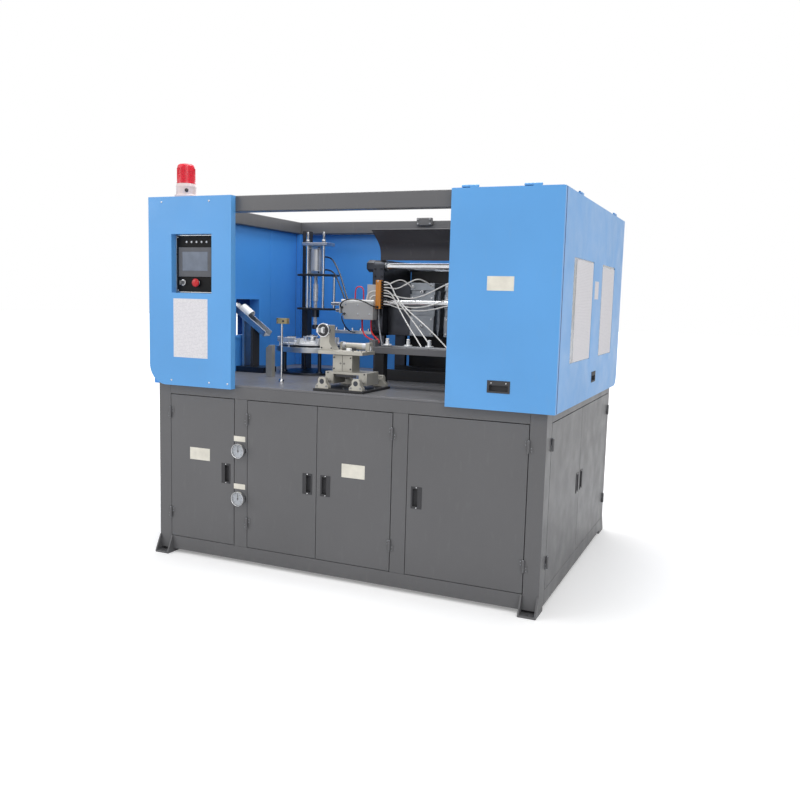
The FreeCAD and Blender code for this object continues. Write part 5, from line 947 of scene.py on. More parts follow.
class Tools:
    """What the sub-assemblies share: the three patterns and the screw heads."""

    def __init__(self) -> None:
        """Build the patterns once."""
        self.scatter, self.ring, self.row = scatter_pattern(), ring_pattern(), row_pattern()
        self.heads: dict[ScrewKind, Thing] = {}

    def head(self, kind: ScrewKind) -> Thing:
        """A screw head of radius 1 that the pattern copies, made once.

        Args:
            kind: Which head.

        Returns:
            The helper object, which close() removes.
        """
        if kind not in self.heads:
            profile, sides = kind.value
            stock = Stock().lathe(profile, (0, 0, 0), UP, BRIGHT_STEEL, sides)
            data = saved(stock.mesh, f"{kind.name.lower()}_head")
            data.shade_smooth()
            self.heads[kind] = placed(data.name, data)
        return self.heads[kind]

    def screws(self, name: str, kind: ScrewKind, radius: float, finish: Finish, places: Places,
               body: str = STANDING) -> None:
        """Set screw heads on one body, as one piece.

        Args:
            name: The piece's name.
            kind: Which head they have.
            radius: The head's radius in millimetres.
            finish: Their finish.
            places: A point and an outward direction for each, in machine millimetres.
            body: The body that they ride on.
        """
        carrier = bpy.data.meshes.new(f"{name}_places")
        carrier.from_pydata([at(point) for point, _ in places], [], [])
        facing = carrier.attributes.new("facing", "FLOAT_VECTOR", "POINT")
        for number, (_, way) in enumerate(places):
            facing.data[number].vector = way
        made = self.scatter.run(name, carrier, finish, {
            "Part": self.head(kind), "Scale": radius * MM, "Loose turn": 1.0})
        settle(name, made, body)

    def arc(self, name: str, stock: Stock, count: int, radius: float, first: float, step: float,
            base: Point, axis: Point) -> None:
        """Repeat a part round an axis.

        Args:
            name: The piece's name.
            stock: The part, in millimetres round the origin, its radius along +X.
            count: How many copies.
            radius: How far the copies are from the axis, in millimetres.
            first: The first copy's angle in degrees.
            step: The angle between copies in degrees.
            base: The arc's centre, in machine millimetres.
            axis: The direction of its axis.
        """
        finish = stock.finishes[0]
        made = self.ring.run(name, saved(stock.mesh, f"{name}_part"), finish, {
            "Count": count, "Radius": float(radius), "First angle": math.radians(first),
            "Step angle": math.radians(step)})
        settle(name, made, STANDING)
        made.transform(Matrix.Translation(at(base)) @ turn_to(axis).to_4x4() @ Matrix.Scale(MM, 4))

    def line(self, name: str, stock: Stock, count: int, step: Point, body: str = STANDING) -> None:
        """Repeat a part in a straight row.

        Args:
            name: The piece's name.
            stock: The first part, in machine millimetres.
            count: How many copies.
            step: The way from each copy to the next, in millimetres.
            body: The body that the piece rides on.
        """
        finish = stock.finishes[0]
        made = self.row.run(name, saved(stock.mesh, f"{name}_part"), finish,
                            {"Count": count, "Step": [float(part) for part in step]})
        settle(name, made, body)
        made.transform(Matrix.Scale(MM, 4) @ Matrix.Translation(SHIFT))

    def close(self) -> None:
        """Remove the helper objects once every pattern has run."""
        for helper in self.heads.values():
            bpy.data.objects.remove(helper)


@dataclass
class Assembly:
    """A part of the machine that builds its pieces with the shared tools."""

    tools: Tools

    def build(self) -> None:
        """Make all pieces; each sub-assembly does this its own way."""
        raise NotImplementedError

    def screws(self, name: str, kind: ScrewKind, radius: float, finish: Finish, places: Places,
               body: str = STANDING) -> None:
        """Set screw heads on one body, as one piece, with the shared pattern."""
        self.tools.screws(name, kind, radius, finish, places, body)


# ---- base cabinet

HINGE_GAP = 0.3


@dataclass(frozen=True)
class Leaf:
    """One cabinet door, by the places of its hinge axis and its pull.

    Attributes:
        node: The CAD node of the door.
        hinge: Where its hinge axis is along the face.
        pull: Where the middle of its pull is along the face.
        side: Whether it closes the right side instead of the front.
    """

    node: str
    hinge: float
    pull: float
    side: bool = False

    @property
    def body(self) -> str:
        """The body that the door rides on."""
        return f"{self.node}_leaf"

    @property
    def facing(self) -> Point:
        """The way the door faces."""
        return RIGHT if self.side else FRONT

    def spot(self, along: float, outward: float, up: float) -> Point:
        """A point in front of the door's face, in machine millimetres."""
        return (BASE_WIDTH + outward, along, up) if self.side else (along, -outward, up)


@dataclass
class BaseCabinet(Assembly):
    """Welded cabinet with its table, feet, six doors, pulls and hinges."""

    leaves: tuple[Leaf, ...] = (
        Leaf("left_door", 75.5, 421), Leaf("middle_left_door", 549.5, 897.5),
        Leaf("middle_right_door", 1344.5, 996.5), Leaf("right_door", 1989.5, 1473),
        Leaf("side_front_door", 101.5, 715.5, True), Leaf("side_rear_door", 1500.5, 814.5, True))
    hinge_lows: Pair = (172, 705)
    half_barrel: float = 26.85
    barrel_radius: float = 6.3
    axis_out: float = 6
    screw_out: float = 12
    pull_height: float = 443
    pull_screw: float = 47.8

    def build(self) -> None:
        """Finish the frame, then hang and dress every door."""
        carry(("base_cabinet", CABINET_PAINT, 2.2), ("table_top", TABLE_PAINT, 1.6),
              ("feet", CABINET_PAINT, 1.2), ("door_hinges", CABINET_PAINT, 0.4))
        fixed = Stock()
        for leaf in self.leaves:
            carry((leaf.node, CABINET_PAINT, 1.4), (f"{leaf.node}_handle", BLACK_PLASTIC, 1.3))
            self.barrels(fixed, leaf, 0)
            moving = Stock()
            self.barrels(moving, leaf, self.half_barrel + HINGE_GAP)
            moving.piece(f"{leaf.node}_barrels", leaf.body)
            self.fasten(leaf)
        fixed.piece("fixed_hinge_barrels")
        plain_plate("left_door_plate", "left_door_leaf", (197, 496), (321, 559), 0, PLATE_CREAM)
        plain_plate("middle_right_door_plate", "middle_right_door_leaf", (1084, 498), (1207, 564),
                    0, PLATE_CREAM)

    def barrels(self, stock: Stock, leaf: Leaf, rise: float) -> None:
        """The round barrels of one half of both hinges of a door.

        Args:
            stock: Where the barrels go.
            leaf: The door.
            rise: How far the half lies above the hinge's lower end.
        """
        radius, length = self.barrel_radius, self.half_barrel
        for low in self.hinge_lows:
            stock.lathe([(0, 0), (radius - 0.5, 0), (radius, 0.5), (radius, length - 0.5),
                         (radius - 0.5, length), (0, length)],
                        leaf.spot(leaf.hinge, self.axis_out, low + rise), UP, CABINET_PAINT, 24)
            end = low + (rise + length if rise else 0)
            stock.lathe([(0, 0), (4.6, 0), (4.2, 1.4), (2.4, 2.4), (0, 2.7)],
                        leaf.spot(leaf.hinge, self.axis_out, end), UP if rise else DOWN, STEEL, 20)

    def fasten(self, leaf: Leaf) -> None:
        """Screw on a door's pull and its hinge leaves.

        Args:
            leaf: The door.
        """
        self.screws(f"{leaf.node}_pull_screws", DOME, 3.2, BRIGHT_STEEL,
                    [(leaf.spot(leaf.pull, 2, height), leaf.facing)
                     for height in both(self.pull_height, self.pull_screw)], leaf.body)
        way = 1 if leaf.pull > leaf.hinge else -1
        half = self.half_barrel / 2
        for name, turn, rise, body in (("fixed", -way, 0, STANDING),
                                       ("moving", way, self.half_barrel + HINGE_GAP, leaf.body)):
            places = [(leaf.spot(leaf.hinge + turn * self.screw_out, 2, low + rise + half + step),
                       leaf.facing) for low in self.hinge_lows for step in (-7, 7)]
            self.screws(f"{leaf.node}_{name}_leaf_screws", DOME, 2.6, STEEL, places, body)


# ---- gauges

@dataclass
class GaugePair(Assembly):
    """Two pressure gauges with polished rings, numbered dials and glasses."""

    centre_x: float = 509
    heights: Pair = (570, 325)
    radius: float = 37.4
    depth: float = 30
    dial_out: float = 22
    dial_radius: float = 33.2
    number_radius: float = 22.5
    mark_radius: float = 31
    sweep: float = 270

    def build(self) -> None:
        """Make cases, dials, marks, numbers, glasses and the needles."""
        cases, glasses = Stock(), Stock()
        dial, face = self.dial_radius, self.dial_radius - 0.1
        for height in self.heights:
            centre = (self.centre_x, 0, height)
            cases.lathe([(0, 0), (35.6, 0), (35.6, 19.5), (36.8, 20.2), (self.radius, 21.5),
                         (self.radius, 28.2), (36.6, self.depth - 0.2), (35, self.depth),
                         (33.9, 28.8), (dial, 25.4), (dial, 21.6), (0, 21.6)], centre, FRONT,
                        BRIGHT_STEEL, 64)
            cases.lathe([(0, 21.4), (face, 21.4), (face, self.dial_out), (0, self.dial_out)],
                        centre, FRONT, DIAL_FACE, 64)
            glasses.lathe([(0, 25.4), (33.1, 25.4), (33.1, 26.6), (0, 27.4)], centre, FRONT,
                          DIAL_GLASS, 48)
            plain_plate(f"gauge_plate_{int(height)}", STANDING, (469, height + 45),
                        (537, height + 72), 0, PLATE_CREAM)
        cases.piece("gauge_rings_and_dials", replaced=["gauge_cases"])
        glasses.piece("gauge_glasses")
        self.marks()
        self.numbers()
        carry(("upper_gauge_needle", NEEDLE_PAINT, 0.3), ("lower_gauge_needle", NEEDLE_PAINT, 0.3))

    def marks(self) -> None:
        """The small and large strokes round both dials."""
        for label, height in zip(("upper", "lower"), self.heights):
            for size, count, length, width in (("small", 51, 2.2, 0.45), ("large", 11, 4.4, 0.9)):
                stroke = Stock(0.05).block((-length, -width / 2, 0), (0, width / 2, 0.12),
                                           NEEDLE_PAINT)
                self.tools.arc(f"{label}_{size}_marks", stroke, count, self.mark_radius,
                               (180 - self.sweep) / 2, self.sweep / (count - 1),
                               (self.centre_x, -self.dial_out, height), FRONT)

    def numbers(self) -> None:
        """Plain numbers from 0 to 10 round each dial, as one mesh."""
        gathered = bmesh.new()
        for height in self.heights:
            for number in range(0, 11, 2):
                angle = math.radians(-self.sweep / 2 + self.sweep * number / 10)
                gathered.from_mesh(self.figure(str(number), 7, (
                    self.centre_x + self.number_radius * math.sin(angle), -self.dial_out,
                    height + self.number_radius * math.cos(angle))))
        settle("gauge_numbers", saved(gathered, "gauge_numbers", [NEEDLE_PAINT]), STANDING)

    def figure(self, text: str, height: float, spot: Point) -> Mesh:
        """A number as a flat mesh that faces the front.

        Args:
            text: The number.
            height: Its height in millimetres.
            spot: Where its middle is, in machine millimetres.

        Returns:
            The mesh in metres in the frame.
        """
        curve = bpy.data.curves.new(f"figure_{text}", "FONT")
        curve.body, curve.size = text, height
        curve.extrude, curve.resolution_u = 0.06, 3
        curve.align_x, curve.align_y = "CENTER", "CENTER"
        mesh = flattened(placed(curve.name, curve))
        mesh.transform(Matrix.Translation(at(spot)) @ Matrix.Scale(MM, 4)
                       @ Matrix.Rotation(math.radians(90), 4, "X"))
        return mesh


# ---- upper frame and sheeting

@dataclass
class UpperFrame(Assembly):
    """Square tubes above the table, and the bolts of the box on the rear beam."""

    corner_rounding: float = 5

    def build(self) -> None:
        """Finish the tubes and set the bolts."""
        carried("upper_frame", CABINET_PAINT, self.corner_rounding)
        self.screws("beam_box_screws", HEX, 6, STEEL,
                    grid((908, 986), (1288,), (1808, 1834), FRONT))


@dataclass
class BlueSheeting(Assembly):
    """Blue panels, walls, the cabin and its two lifting covers with windows."""

    panel_screws: tuple[Pair, ...] = (
        (54, 1803), (344, 1803), (110, 906), (344, 906), (455, 906))
    front_hinges: Pair = (1655, 1930)
    side_hinges: Pair = (250, 1150)
    leaf_screws: Pair = (9, 29)
    hinge_half: float = 37.85
    hinge_radius: float = 5.2
    hinge_top: float = 1836
    roof_top: float = 1833
    papers: tuple[tuple[float, float, float, float], ...] = (
        (262, 652, 1087, 1546), (702, 800, 1374, 1462),
        (903, 1260, 1087, 1540))

    def build(self) -> None:
        """Finish all sheets, hinges, windows and what is fixed on them."""
        carry(("left_front_panel", BLUE_PAINT, 2), ("wall_panels", WALL_PAINT, 0.8),
              ("cabin_shell", BLUE_PAINT, 0.8), ("front_cover", BLUE_PAINT, 2),
              ("side_cover", BLUE_PAINT, 1.6), ("front_cover_handle", BLACK_PLASTIC, 1.3),
              ("side_cover_handle", BLACK_PLASTIC, 1.3), ("side_windows", CLEAR_SHEET, 0.6))
        self.seams()
        self.curtain()
        self.hinges()
        self.fasteners()
        plain_plate("front_cover_plate", "front_cover_leaf", (1785, 1396), (1904, 1457),
                    PANEL_FACE, PLATE_CREAM)
        for number, (low_y, high_y, low_z, high_z) in enumerate(self.papers):
            between_windows = low_y > 650 and high_y < 890
            plain_plate(f"side_notice_{number}", "side_cover_leaf", (low_y, low_z),
                        (high_y, high_z), COVER_SIDE if between_windows else COVER_SIDE - 2,
                        PRINTED_SHEET, side=True)

    def seams(self) -> None:
        """Folded edges where the wall sheets meet, and the feed window's rim."""
        stock, low, high = Stock(0.6), TABLE + 2, WALL_TOP
        for x in (700, 1320):
            stock.block((x, 1379, low), (x + 26, 1381, high), WALL_PAINT)
        stock.block((75, 1352, low), (101, 1381, high), WALL_PAINT)
        for y in (420, 1000):
            stock.block((40, y, low), (42, y + 26, high), WALL_PAINT)
        for start, end in (((612, 1093), (629, 1342)), ((872, 1093), (889, 1342)),
                           ((629, 1325), (872, 1342)), ((629, 1093), (872, 1110))):
            stock.block((40, *start), (43.5, *end), WALL_PAINT)
        stock.block((75.3, 1308.4, low), (76.9, 1381, high), WALL_PAINT, 0.4)
        stock.block((42, 1308.4, low), (76.9, 1309.8, high), WALL_PAINT, 0.4)
        stock.piece("wall_seams")

    def curtain(self) -> None:
        """Strips that hang in the feed window's outer side, shorter over the chute."""
        for name, first, count, pitch, low in (
                ("rear", 743, 3, 43, 1110.6), ("front", 629.6, 1, 43, 1110.6),
                ("middle", 673.4, 2, 34.4, 1302)):
            strip = Stock(0.6).block((-27, first, low), (-25, first + pitch - 0.8, 1324.4),
                                     CURTAIN_RUBBER)
            self.tools.line(f"{name}_curtain", strip, count, (0, pitch, 0))

    def hinges(self) -> None:
        """Round barrels over the covers' hinges, and a dark strip of painted seam shadow at the side
        cover's front edge.
        """
        roof, front, side = Stock(), Stock(), Stock()
        axis_y, axis_x = PANEL_FACE + 5, COVER_SIDE - 5
        rise = self.hinge_half + HINGE_GAP
        for start in self.front_hinges:
            self.barrel(roof, (start, axis_y, self.hinge_top), RIGHT)
            self.barrel(front, (start + rise, axis_y, self.hinge_top), RIGHT)
        for start in self.side_hinges:
            self.barrel(roof, (axis_x, start, self.hinge_top), BACK)
            self.barrel(side, (axis_x, start + rise, self.hinge_top), BACK)
        roof.piece("roof_hinge_barrels")
        front.piece("front_cover_barrels", "front_cover_leaf")
        side.piece("side_cover_barrels", "side_cover_leaf")
        # Painted shade: a thin dark strip on the side cover's front edge that stands for the shadow in
        # the seam between the covers.
        Stock(0.2).block((2104.6, -14.6, 884), (2105.5, -5, 1826), CURTAIN_RUBBER).piece(
            "side_cover_seal", "side_cover_leaf")

    def barrel(self, stock: Stock, start: Point, axis: Point) -> None:
        """One half barrel from its start along its axis."""
        end = Vector(start) + self.hinge_half * Vector(axis)
        stock.bar(start, tuple(end), self.hinge_radius, BLUE_PAINT, 24)

    def fasteners(self) -> None:
        """Dome screws of the panel, the front cover's pull and the roof leaves."""
        self.screws("left_panel_screws", DOME, 5.2, BRIGHT_STEEL,
                    [((x, PANEL_FACE, z), FRONT) for x, z in self.panel_screws])
        self.screws("front_pull_screws", DOME, 3.2, BRIGHT_STEEL,
                    grid(both(1854, 33), (PANEL_FACE - 2,), (1001,), FRONT),
                    "front_cover_leaf")
        front, side = ([start + step for start in starts for step in self.leaf_screws]
                       for starts in (self.front_hinges, self.side_hinges))
        self.screws("roof_leaf_screws", DOME, 2.8, STEEL,
                    grid(front, (-8,), (self.roof_top,), UP)
                    + grid((COVER_SIDE - 29,), side, (self.roof_top,), UP))


# ---- controls

@dataclass
class ControlStation(Assembly):
    """Black operating face with its screen, lamps, stop button and key."""

    face_low: Pair = (116, 1354)
    face_high: Pair = (357, 1642)
    rim: float = 4
    stop: Pair = (245, 1404)
    key: Pair = (160, 1404)
    glass_low: Pair = (159, 1463.5)
    glass_high: Pair = (314, 1558.5)
    lamp_first: float = 183
    lamp_pitch: float = 30.5
    lamp_height: float = 1607
    lamp_count: int = 5

    def build(self) -> None:
        """Make the face and everything on it."""
        carry(("control_box", BLACK_PLASTIC, 1.5), ("touch_screen", SCREEN_FRAME, 2),
              ("key_switch", STEEL, 0.6))
        self.face()
        self.stop_button()
        self.lamps()
        plain_plate("instruction_sheet_left", STANDING, (125, 1026), (335, 1323), PANEL_FACE,
                    PRINTED_SHEET)
        self.screws("face_screws", DOME, 3.6, BRIGHT_STEEL,
                    grid((127, 346), (-1.6,), (1365, 1631), FRONT))

    def face(self) -> None:
        """The face plate, its bright rim, the screen's glass and the collars."""
        (left, low), (right, high) = self.face_low, self.face_high
        Stock(0.5).block((left, -1.6, low), (right, 0, high), FACE_PLASTIC).piece("operating_face")
        rim = Stock(0.5)
        inner_left, inner_right = left + self.rim, right - self.rim
        inner_low, inner_high = low + self.rim, high - self.rim
        for x0, z0, x1, z1 in ((left, low, right, inner_low), (left, inner_high, right, high),
                               (left, inner_low, inner_left, inner_high),
                               (inner_right, inner_low, right, inner_high)):
            rim.block((x0, -2.6, z0), (x1, -1.6, z1), BRIGHT_STEEL)
        for (x, z), inner, outer in ((self.stop, 9.4, 17), (self.key, 11.3, 15.5)):
            rim.lathe([(inner, 1.6), (outer, 1.6), (outer, 4.4), (outer - 1.2, 5.6),
                       (inner, 5.6)], (x, 0, z), FRONT, BRIGHT_STEEL, closed=True)
        rim.piece("face_rim_and_collars")
        (left, low), (right, high) = self.glass_low, self.glass_high
        Stock(0.3).block((left, -7.4, low), (right, -6.4, high), SCREEN_GLASS).piece("screen_glass")

    def stop_button(self) -> None:
        """The red mushroom head with its stem, on the body that travels."""
        button, back = Stock(), (self.stop[0], 0, self.stop[1])
        button.lathe([(0, 9.6), (18.6, 9.8), (20.6, 11.4), (21, 13.4), (20.6, 16.2),
                      (18.4, 19.4), (14, 21.6), (8, 22.7), (0, 23)], back, FRONT,
                     RED_PLASTIC, 48)
        button.lathe([(0, -26), (8.9, -26), (8.9, 9.8), (0, 9.8)], back, FRONT, STEEL, 32)
        button.piece("stop_button_head", "stop_push", ["stop_button"])

    def lamps(self) -> None:
        """The row of pilot lamps above the screen."""
        for name, profile, finish in (
                ("lamp_rings", [(4, 1.6), (6.2, 1.6), (6.2, 3.2), (5.4, 4.2), (4, 4.2)], STEEL),
                ("lamp_caps", [(0, 1.6), (4.1, 1.6), (4.1, 3.8), (2.8, 5.2), (0, 5.8)], DIAL_FACE)):
            lamp = Stock().lathe(profile, (self.lamp_first, 0, self.lamp_height), FRONT, finish,
                                 20, closed=profile[0][0] > 0)
            self.tools.line(name, lamp, self.lamp_count, (self.lamp_pitch, 0, 0))


@dataclass
class Beacon(Assembly):
    """Rotating beacon: white base, ribbed red lens, lamp and mirror dish."""

    centre: Point = (150, 37.5, 1829)
    ribs: int = 36
    rib_radius: float = 45
    lens_base: float = 70
    bulb_radius: float = 8.8

    def build(self) -> None:
        """Turn the base, the lamp and the lens, and set the ribs round it."""
        x, y, z = self.centre
        base, bulb = Stock(), self.bulb_radius
        base.lathe([(0, 0), (57.2, 0), (57.8, 1.5), (57.8, 10.5), (55.4, 13.6), (51, 16),
                    (50, 22), (49.2, 50), (50.4, 52), (50.4, 58), (48.4, 61),
                    (47.4, 68), (46, 69.8), (0, 69.8)], self.centre, UP, BEACON_WHITE, 64)
        base.lathe([(0, 69.8), (bulb, 69.8), (bulb, 92), (7.6, 95)] +
                   [(bulb * math.cos(step), 108 + 22 * math.sin(step))
                    for step in (-0.4, 0, 0.5, 1, 1.35)] + [(0, 131)],
                   self.centre, UP, DIAL_FACE, 32)
        base.lathe([(0, 44), (9.4, 44), (9.4, 52.5), (8.2, 54.6), (4, 55.6), (0, 55.8)],
                   (x, y, z + 34), (0.64, -0.77, 0), KNOB_PLASTIC, 32)
        base.piece("beacon_housing", replaced=["beacon_base"])
        foot = (x, y, z + self.lens_base)
        Stock().lathe([(0, 95.2), (30, 93.4), (38.6, 88), (41.2, 80), (43.8, 1), (43.8, 0),
                       (46.8, 0), (46.8, 6), (45.4, 8), (44, 82), (41, 90.6),
                       (32, 96.4), (16, 97.8), (0, 98)], foot, UP, RED_LENS, 72).piece(
            "beacon_dome", replaced=["beacon_lens"])
        rib = Stock(0.3).block((-1, -1.2, 12), (0.8, 1.2, 76), RED_LENS)
        self.tools.arc("beacon_ribs", rib, self.ribs, self.rib_radius, 0, 360 / self.ribs,
                       foot, UP)
        carried("beacon_reflector", MIRROR, 0.5)


# ---- feeding and loading

def chute_finish(centre: Vector, size: Vector) -> Finish:
    """The finish of one solid of the chute.

    Args:
        centre: The solid's centre.
        size: Its size.

    Returns:
        The finish.
    """
    if size.x > 200:
        return ALUMINIUM
    if centre.z > 1200:
        return WHITE_PLASTIC
    if size.z < 60:
        return DARK_STEEL
    return ALUMINIUM if centre.x < 100 else BLACK_PLASTIC


@dataclass
class PreformFeed(Assembly):
    """Chute, star table with its gripper wheel, and the posts in front of them."""

    centre: Pair = (430, 850)
    leg_reach: float = 116.7
    leg_radius: float = 11
    legs_low: float = 912
    plate_low: float = 1030
    plate_top: float = 1060
    plate_radius: float = 209.6
    spindle_top: float = 1126
    hub_radius: float = 34.4
    hub_low: float = 1090
    hub_top: float = 1120
    jaws: int = 8
    jaw_top: float = 1110
    rod: Pair = (578, 270)

    def build(self) -> None:
        """Make the chute, the table, the wheel and the posts."""
        carried("feed_chute", chute_finish, 0.9, main=WHITE_PLASTIC)
        carried("star_table", lambda centre, size: DARK_STEEL if centre.z < 920 else
                ALUMINIUM if size.x > 300 else MANDREL_METAL, 1.2, stout, ALUMINIUM)
        carried("star_wheel", MANDREL_METAL, 0.7)
        carried("sensor_posts", lambda centre, _size:
                SENSOR_METAL if centre.z > 1200 else PLATE_METAL, 1, stout, PLATE_METAL)
        self.table()
        self.wheel()
        self.sensor()

    def table(self) -> None:
        """The table's round legs, its turned rim and the spindle."""
        stock, (x, y), radius = Stock(), self.centre, self.plate_radius
        for foot in ((u, v) for u in both(x, self.leg_reach) for v in both(y, self.leg_reach)):
            stock.bar((*foot, self.legs_low), (*foot, self.plate_low), self.leg_radius, DARK_STEEL)
            stock.lathe([(0, 0), (19, 0), (19, 6), (17.5, 8), (0, 8)], (*foot, self.legs_low), UP,
                        DARK_STEEL, 32)
        stock.lathe([(radius - 14, 30.2), (radius - 2, 30.2), (radius + 0.2, 28.5),
                     (radius + 0.2, 1.5), (radius - 1.5, 0.2), (radius - 14, 0.2)],
                    (x, y, self.plate_low), UP, BRIGHT_STEEL, 96, closed=True)
        stock.lathe([(40, 30.1), (radius - 16, 30.1), (radius - 16, 30.5), (40, 30.5)],
                    (x, y, self.plate_low), UP, DARK_STEEL, 96, closed=True)
        stock.bar((x, y, self.plate_top), (x, y, self.spindle_top), 14.9, BRIGHT_STEEL, 40)
        stock.piece("star_table_rim_and_legs")

    def wheel(self) -> None:
        """The wheel's hub with its ring of screws, the jaw screws and the screws at the jaw tips."""
        x, y = self.centre
        Stock().lathe([(15.6, 0), (self.hub_radius, 0), (self.hub_radius, 22), (31, 27),
                       (24, 30.2), (15.6, 30.2)], (x, y, self.hub_low), UP, BRIGHT_STEEL, 64,
                      closed=True).piece("star_wheel_hub", "star")
        jaws, tips, base = [], [], Vector((x, y, self.jaw_top))
        for number in range(self.jaws):
            along = Vector((*around(number, self.jaws), 0))
            across = Vector((-along.y, along.x, 0))
            jaws += [(tuple(base + reach * along), UP) for reach in (124, 134)]
            tips += [(tuple(base + 154 * along + side * across), UP) for side in (-8, 8)]
        hub = [((x + dx, y + dy, self.hub_top - 1.2), UP)
               for dx, dy in (around(number, 6, 26) for number in range(6))]
        for name, kind, radius, places in (("jaw_screws", SOCKET, 3.4, jaws),
                                           ("jaw_tip_screws", DOME, 2.8, tips),
                                           ("hub_screws", SOCKET, 3, hub)):
            self.screws(name, kind, radius, DARK_STEEL, places, "star")

    def sensor(self) -> None:
        """The thin rod of the sensor with its foot and clamp, and small screws."""
        stock, (x, y) = Stock(), self.rod
        stock.lathe([(0, 0), (15, 0), (15, 10), (12, 13), (9, 18), (6, 18), (6, 306), (0, 306)],
                    (x, y, TABLE), UP, BRIGHT_STEEL)
        stock.lathe([(0, 0), (5, 0), (5, 5), (0, 5)], (x + 18, y - 15, 1220), FRONT, DARK_STEEL, 24)
        stock.piece("sensor_rod")
        self.screws("sensor_screws", SOCKET, 2.4, DARK_STEEL,
                    grid((560,), (255,), (1210, 1231), FRONT))


@dataclass
class LoadingPress(Assembly):
    """Tower over the star wheel with its cylinder, yoke, guides and ram."""

    centre: Pair = (364, 1000)
    guides: tuple[Pair, ...] = (
        (331, 955), (440, 955), (470, 1040), (304, 1040))
    guide_radius: float = 9
    guide_low: float = 1283
    guide_top: float = 1475
    sleeve_low: float = 1227
    yoke_low: float = 1487
    yoke_under: float = 1655
    yoke_top: float = 1673
    bar_top: float = 1735
    barrel_low: float = 1507
    barrel_length: float = 128
    ram_low: float = 1154

    def build(self) -> None:
        """Make tower, cylinder and ram."""
        carried("loading_tower", lambda centre, _size:
                ALUMINIUM if centre.z > 1550 else BLACK_PAINT, 1.6, stout, BLACK_PAINT)
        carried("loading_cylinder", ALUMINIUM, 1.6, lambda _centre, size: size.z < 60)
        self.bars()
        self.barrel()
        self.ram()
        x, y = self.centre
        self.screws("press_screws", SOCKET, 4.4, DARK_STEEL,
                    grid((300, 364, 480), (940,), (1277, 1481), FRONT)
                    + grid(both(x, 38), (y - 32,), (1497, 1645), FRONT)
                    + grid((253,), (1060,), (960, 1140, 1400, 1560, 1700), FRONT))

    def bars(self) -> None:
        """Guide bars, yoke bars with their nuts, and the sleeve."""
        stock, radius = Stock(), self.guide_radius
        for x, y in self.guides:
            stock.bar((x, y, self.guide_low), (x, y, self.guide_top), radius, CHROME_Z)
        for x, y in self.guides[:2]:
            stock.bar((x, y, self.yoke_low), (x, y, self.yoke_under), radius + 0.5, CHROME_Z)
            stock.nut((x, y, self.yoke_top), UP, 14.5, 16.2, BRIGHT_STEEL)
            stock.bar((x, y, self.yoke_top + 8), (x, y, self.bar_top), radius + 0.5, CHROME_Z)
        stock.lathe([(20.5, 0), (24.5, 0), (24.5, 42), (31, 44), (20.5, 44)],
                    (*self.centre, self.sleeve_low), UP, DARK_STEEL, 48, closed=True)
        stock.piece("press_guide_bars")

    def barrel(self) -> None:
        """The cylinder's barrel with its ports and the flat cheeks beside it."""
        stock, (x, y) = Stock(), self.centre
        low, length = self.barrel_low, self.barrel_length
        stock.lathe([(30.2, 0), (34, 0), (34, length), (30.2, length)], (x, y, low), UP,
                    BARREL_METAL, 64, closed=True)
        for z in (low + 7, low + 84):
            stock.lathe([(0, 0), (8.2, 0), (8.2, 10), (6, 12), (6, 28), (0, 28)],
                        (x + 32, y, z), RIGHT, BRIGHT_STEEL, 28)
        for left in (x - 44.5, x + 33):
            stock.block((left, y - 26, low), (left + 11.5, y + 26, low + length), BARREL_METAL)
        stock.piece("press_barrel")

    def ram(self) -> None:
        """The ram's six-sided bar with its round part, pressing head and piston."""
        stock, (x, y), low = Stock(1), self.centre, self.ram_low
        stock.lathe([(0, 0), (15, 0), (19.6, 3), (19.9, 5), (19.9, 22), (17, 26), (0, 26)],
                    (x, y, low), UP, DARK_STEEL, 48)
        stock.prism([(x + dx, y + dy) for dx, dy in (around(number, 6, 12) for number in range(6))],
                    low + 25.5, low + 405, RAM_CHROME)
        stock.lathe([(0, 0), (14.6, 0), (15.6, 1), (15.6, 103), (14.6, 104), (0, 104)],
                    (x, y, low + 170.8), UP, RAM_CHROME, 48)
        stock.lathe([(0, 0), (29.4, 0), (29.8, 1), (29.8, 21), (29.4, 22), (0, 22)],
                    (x, y, low + 404), UP, STEEL, 48)
        stock.piece("press_ram_bar", "press_ram", ["loading_ram"])


# ---- clamp and moulds

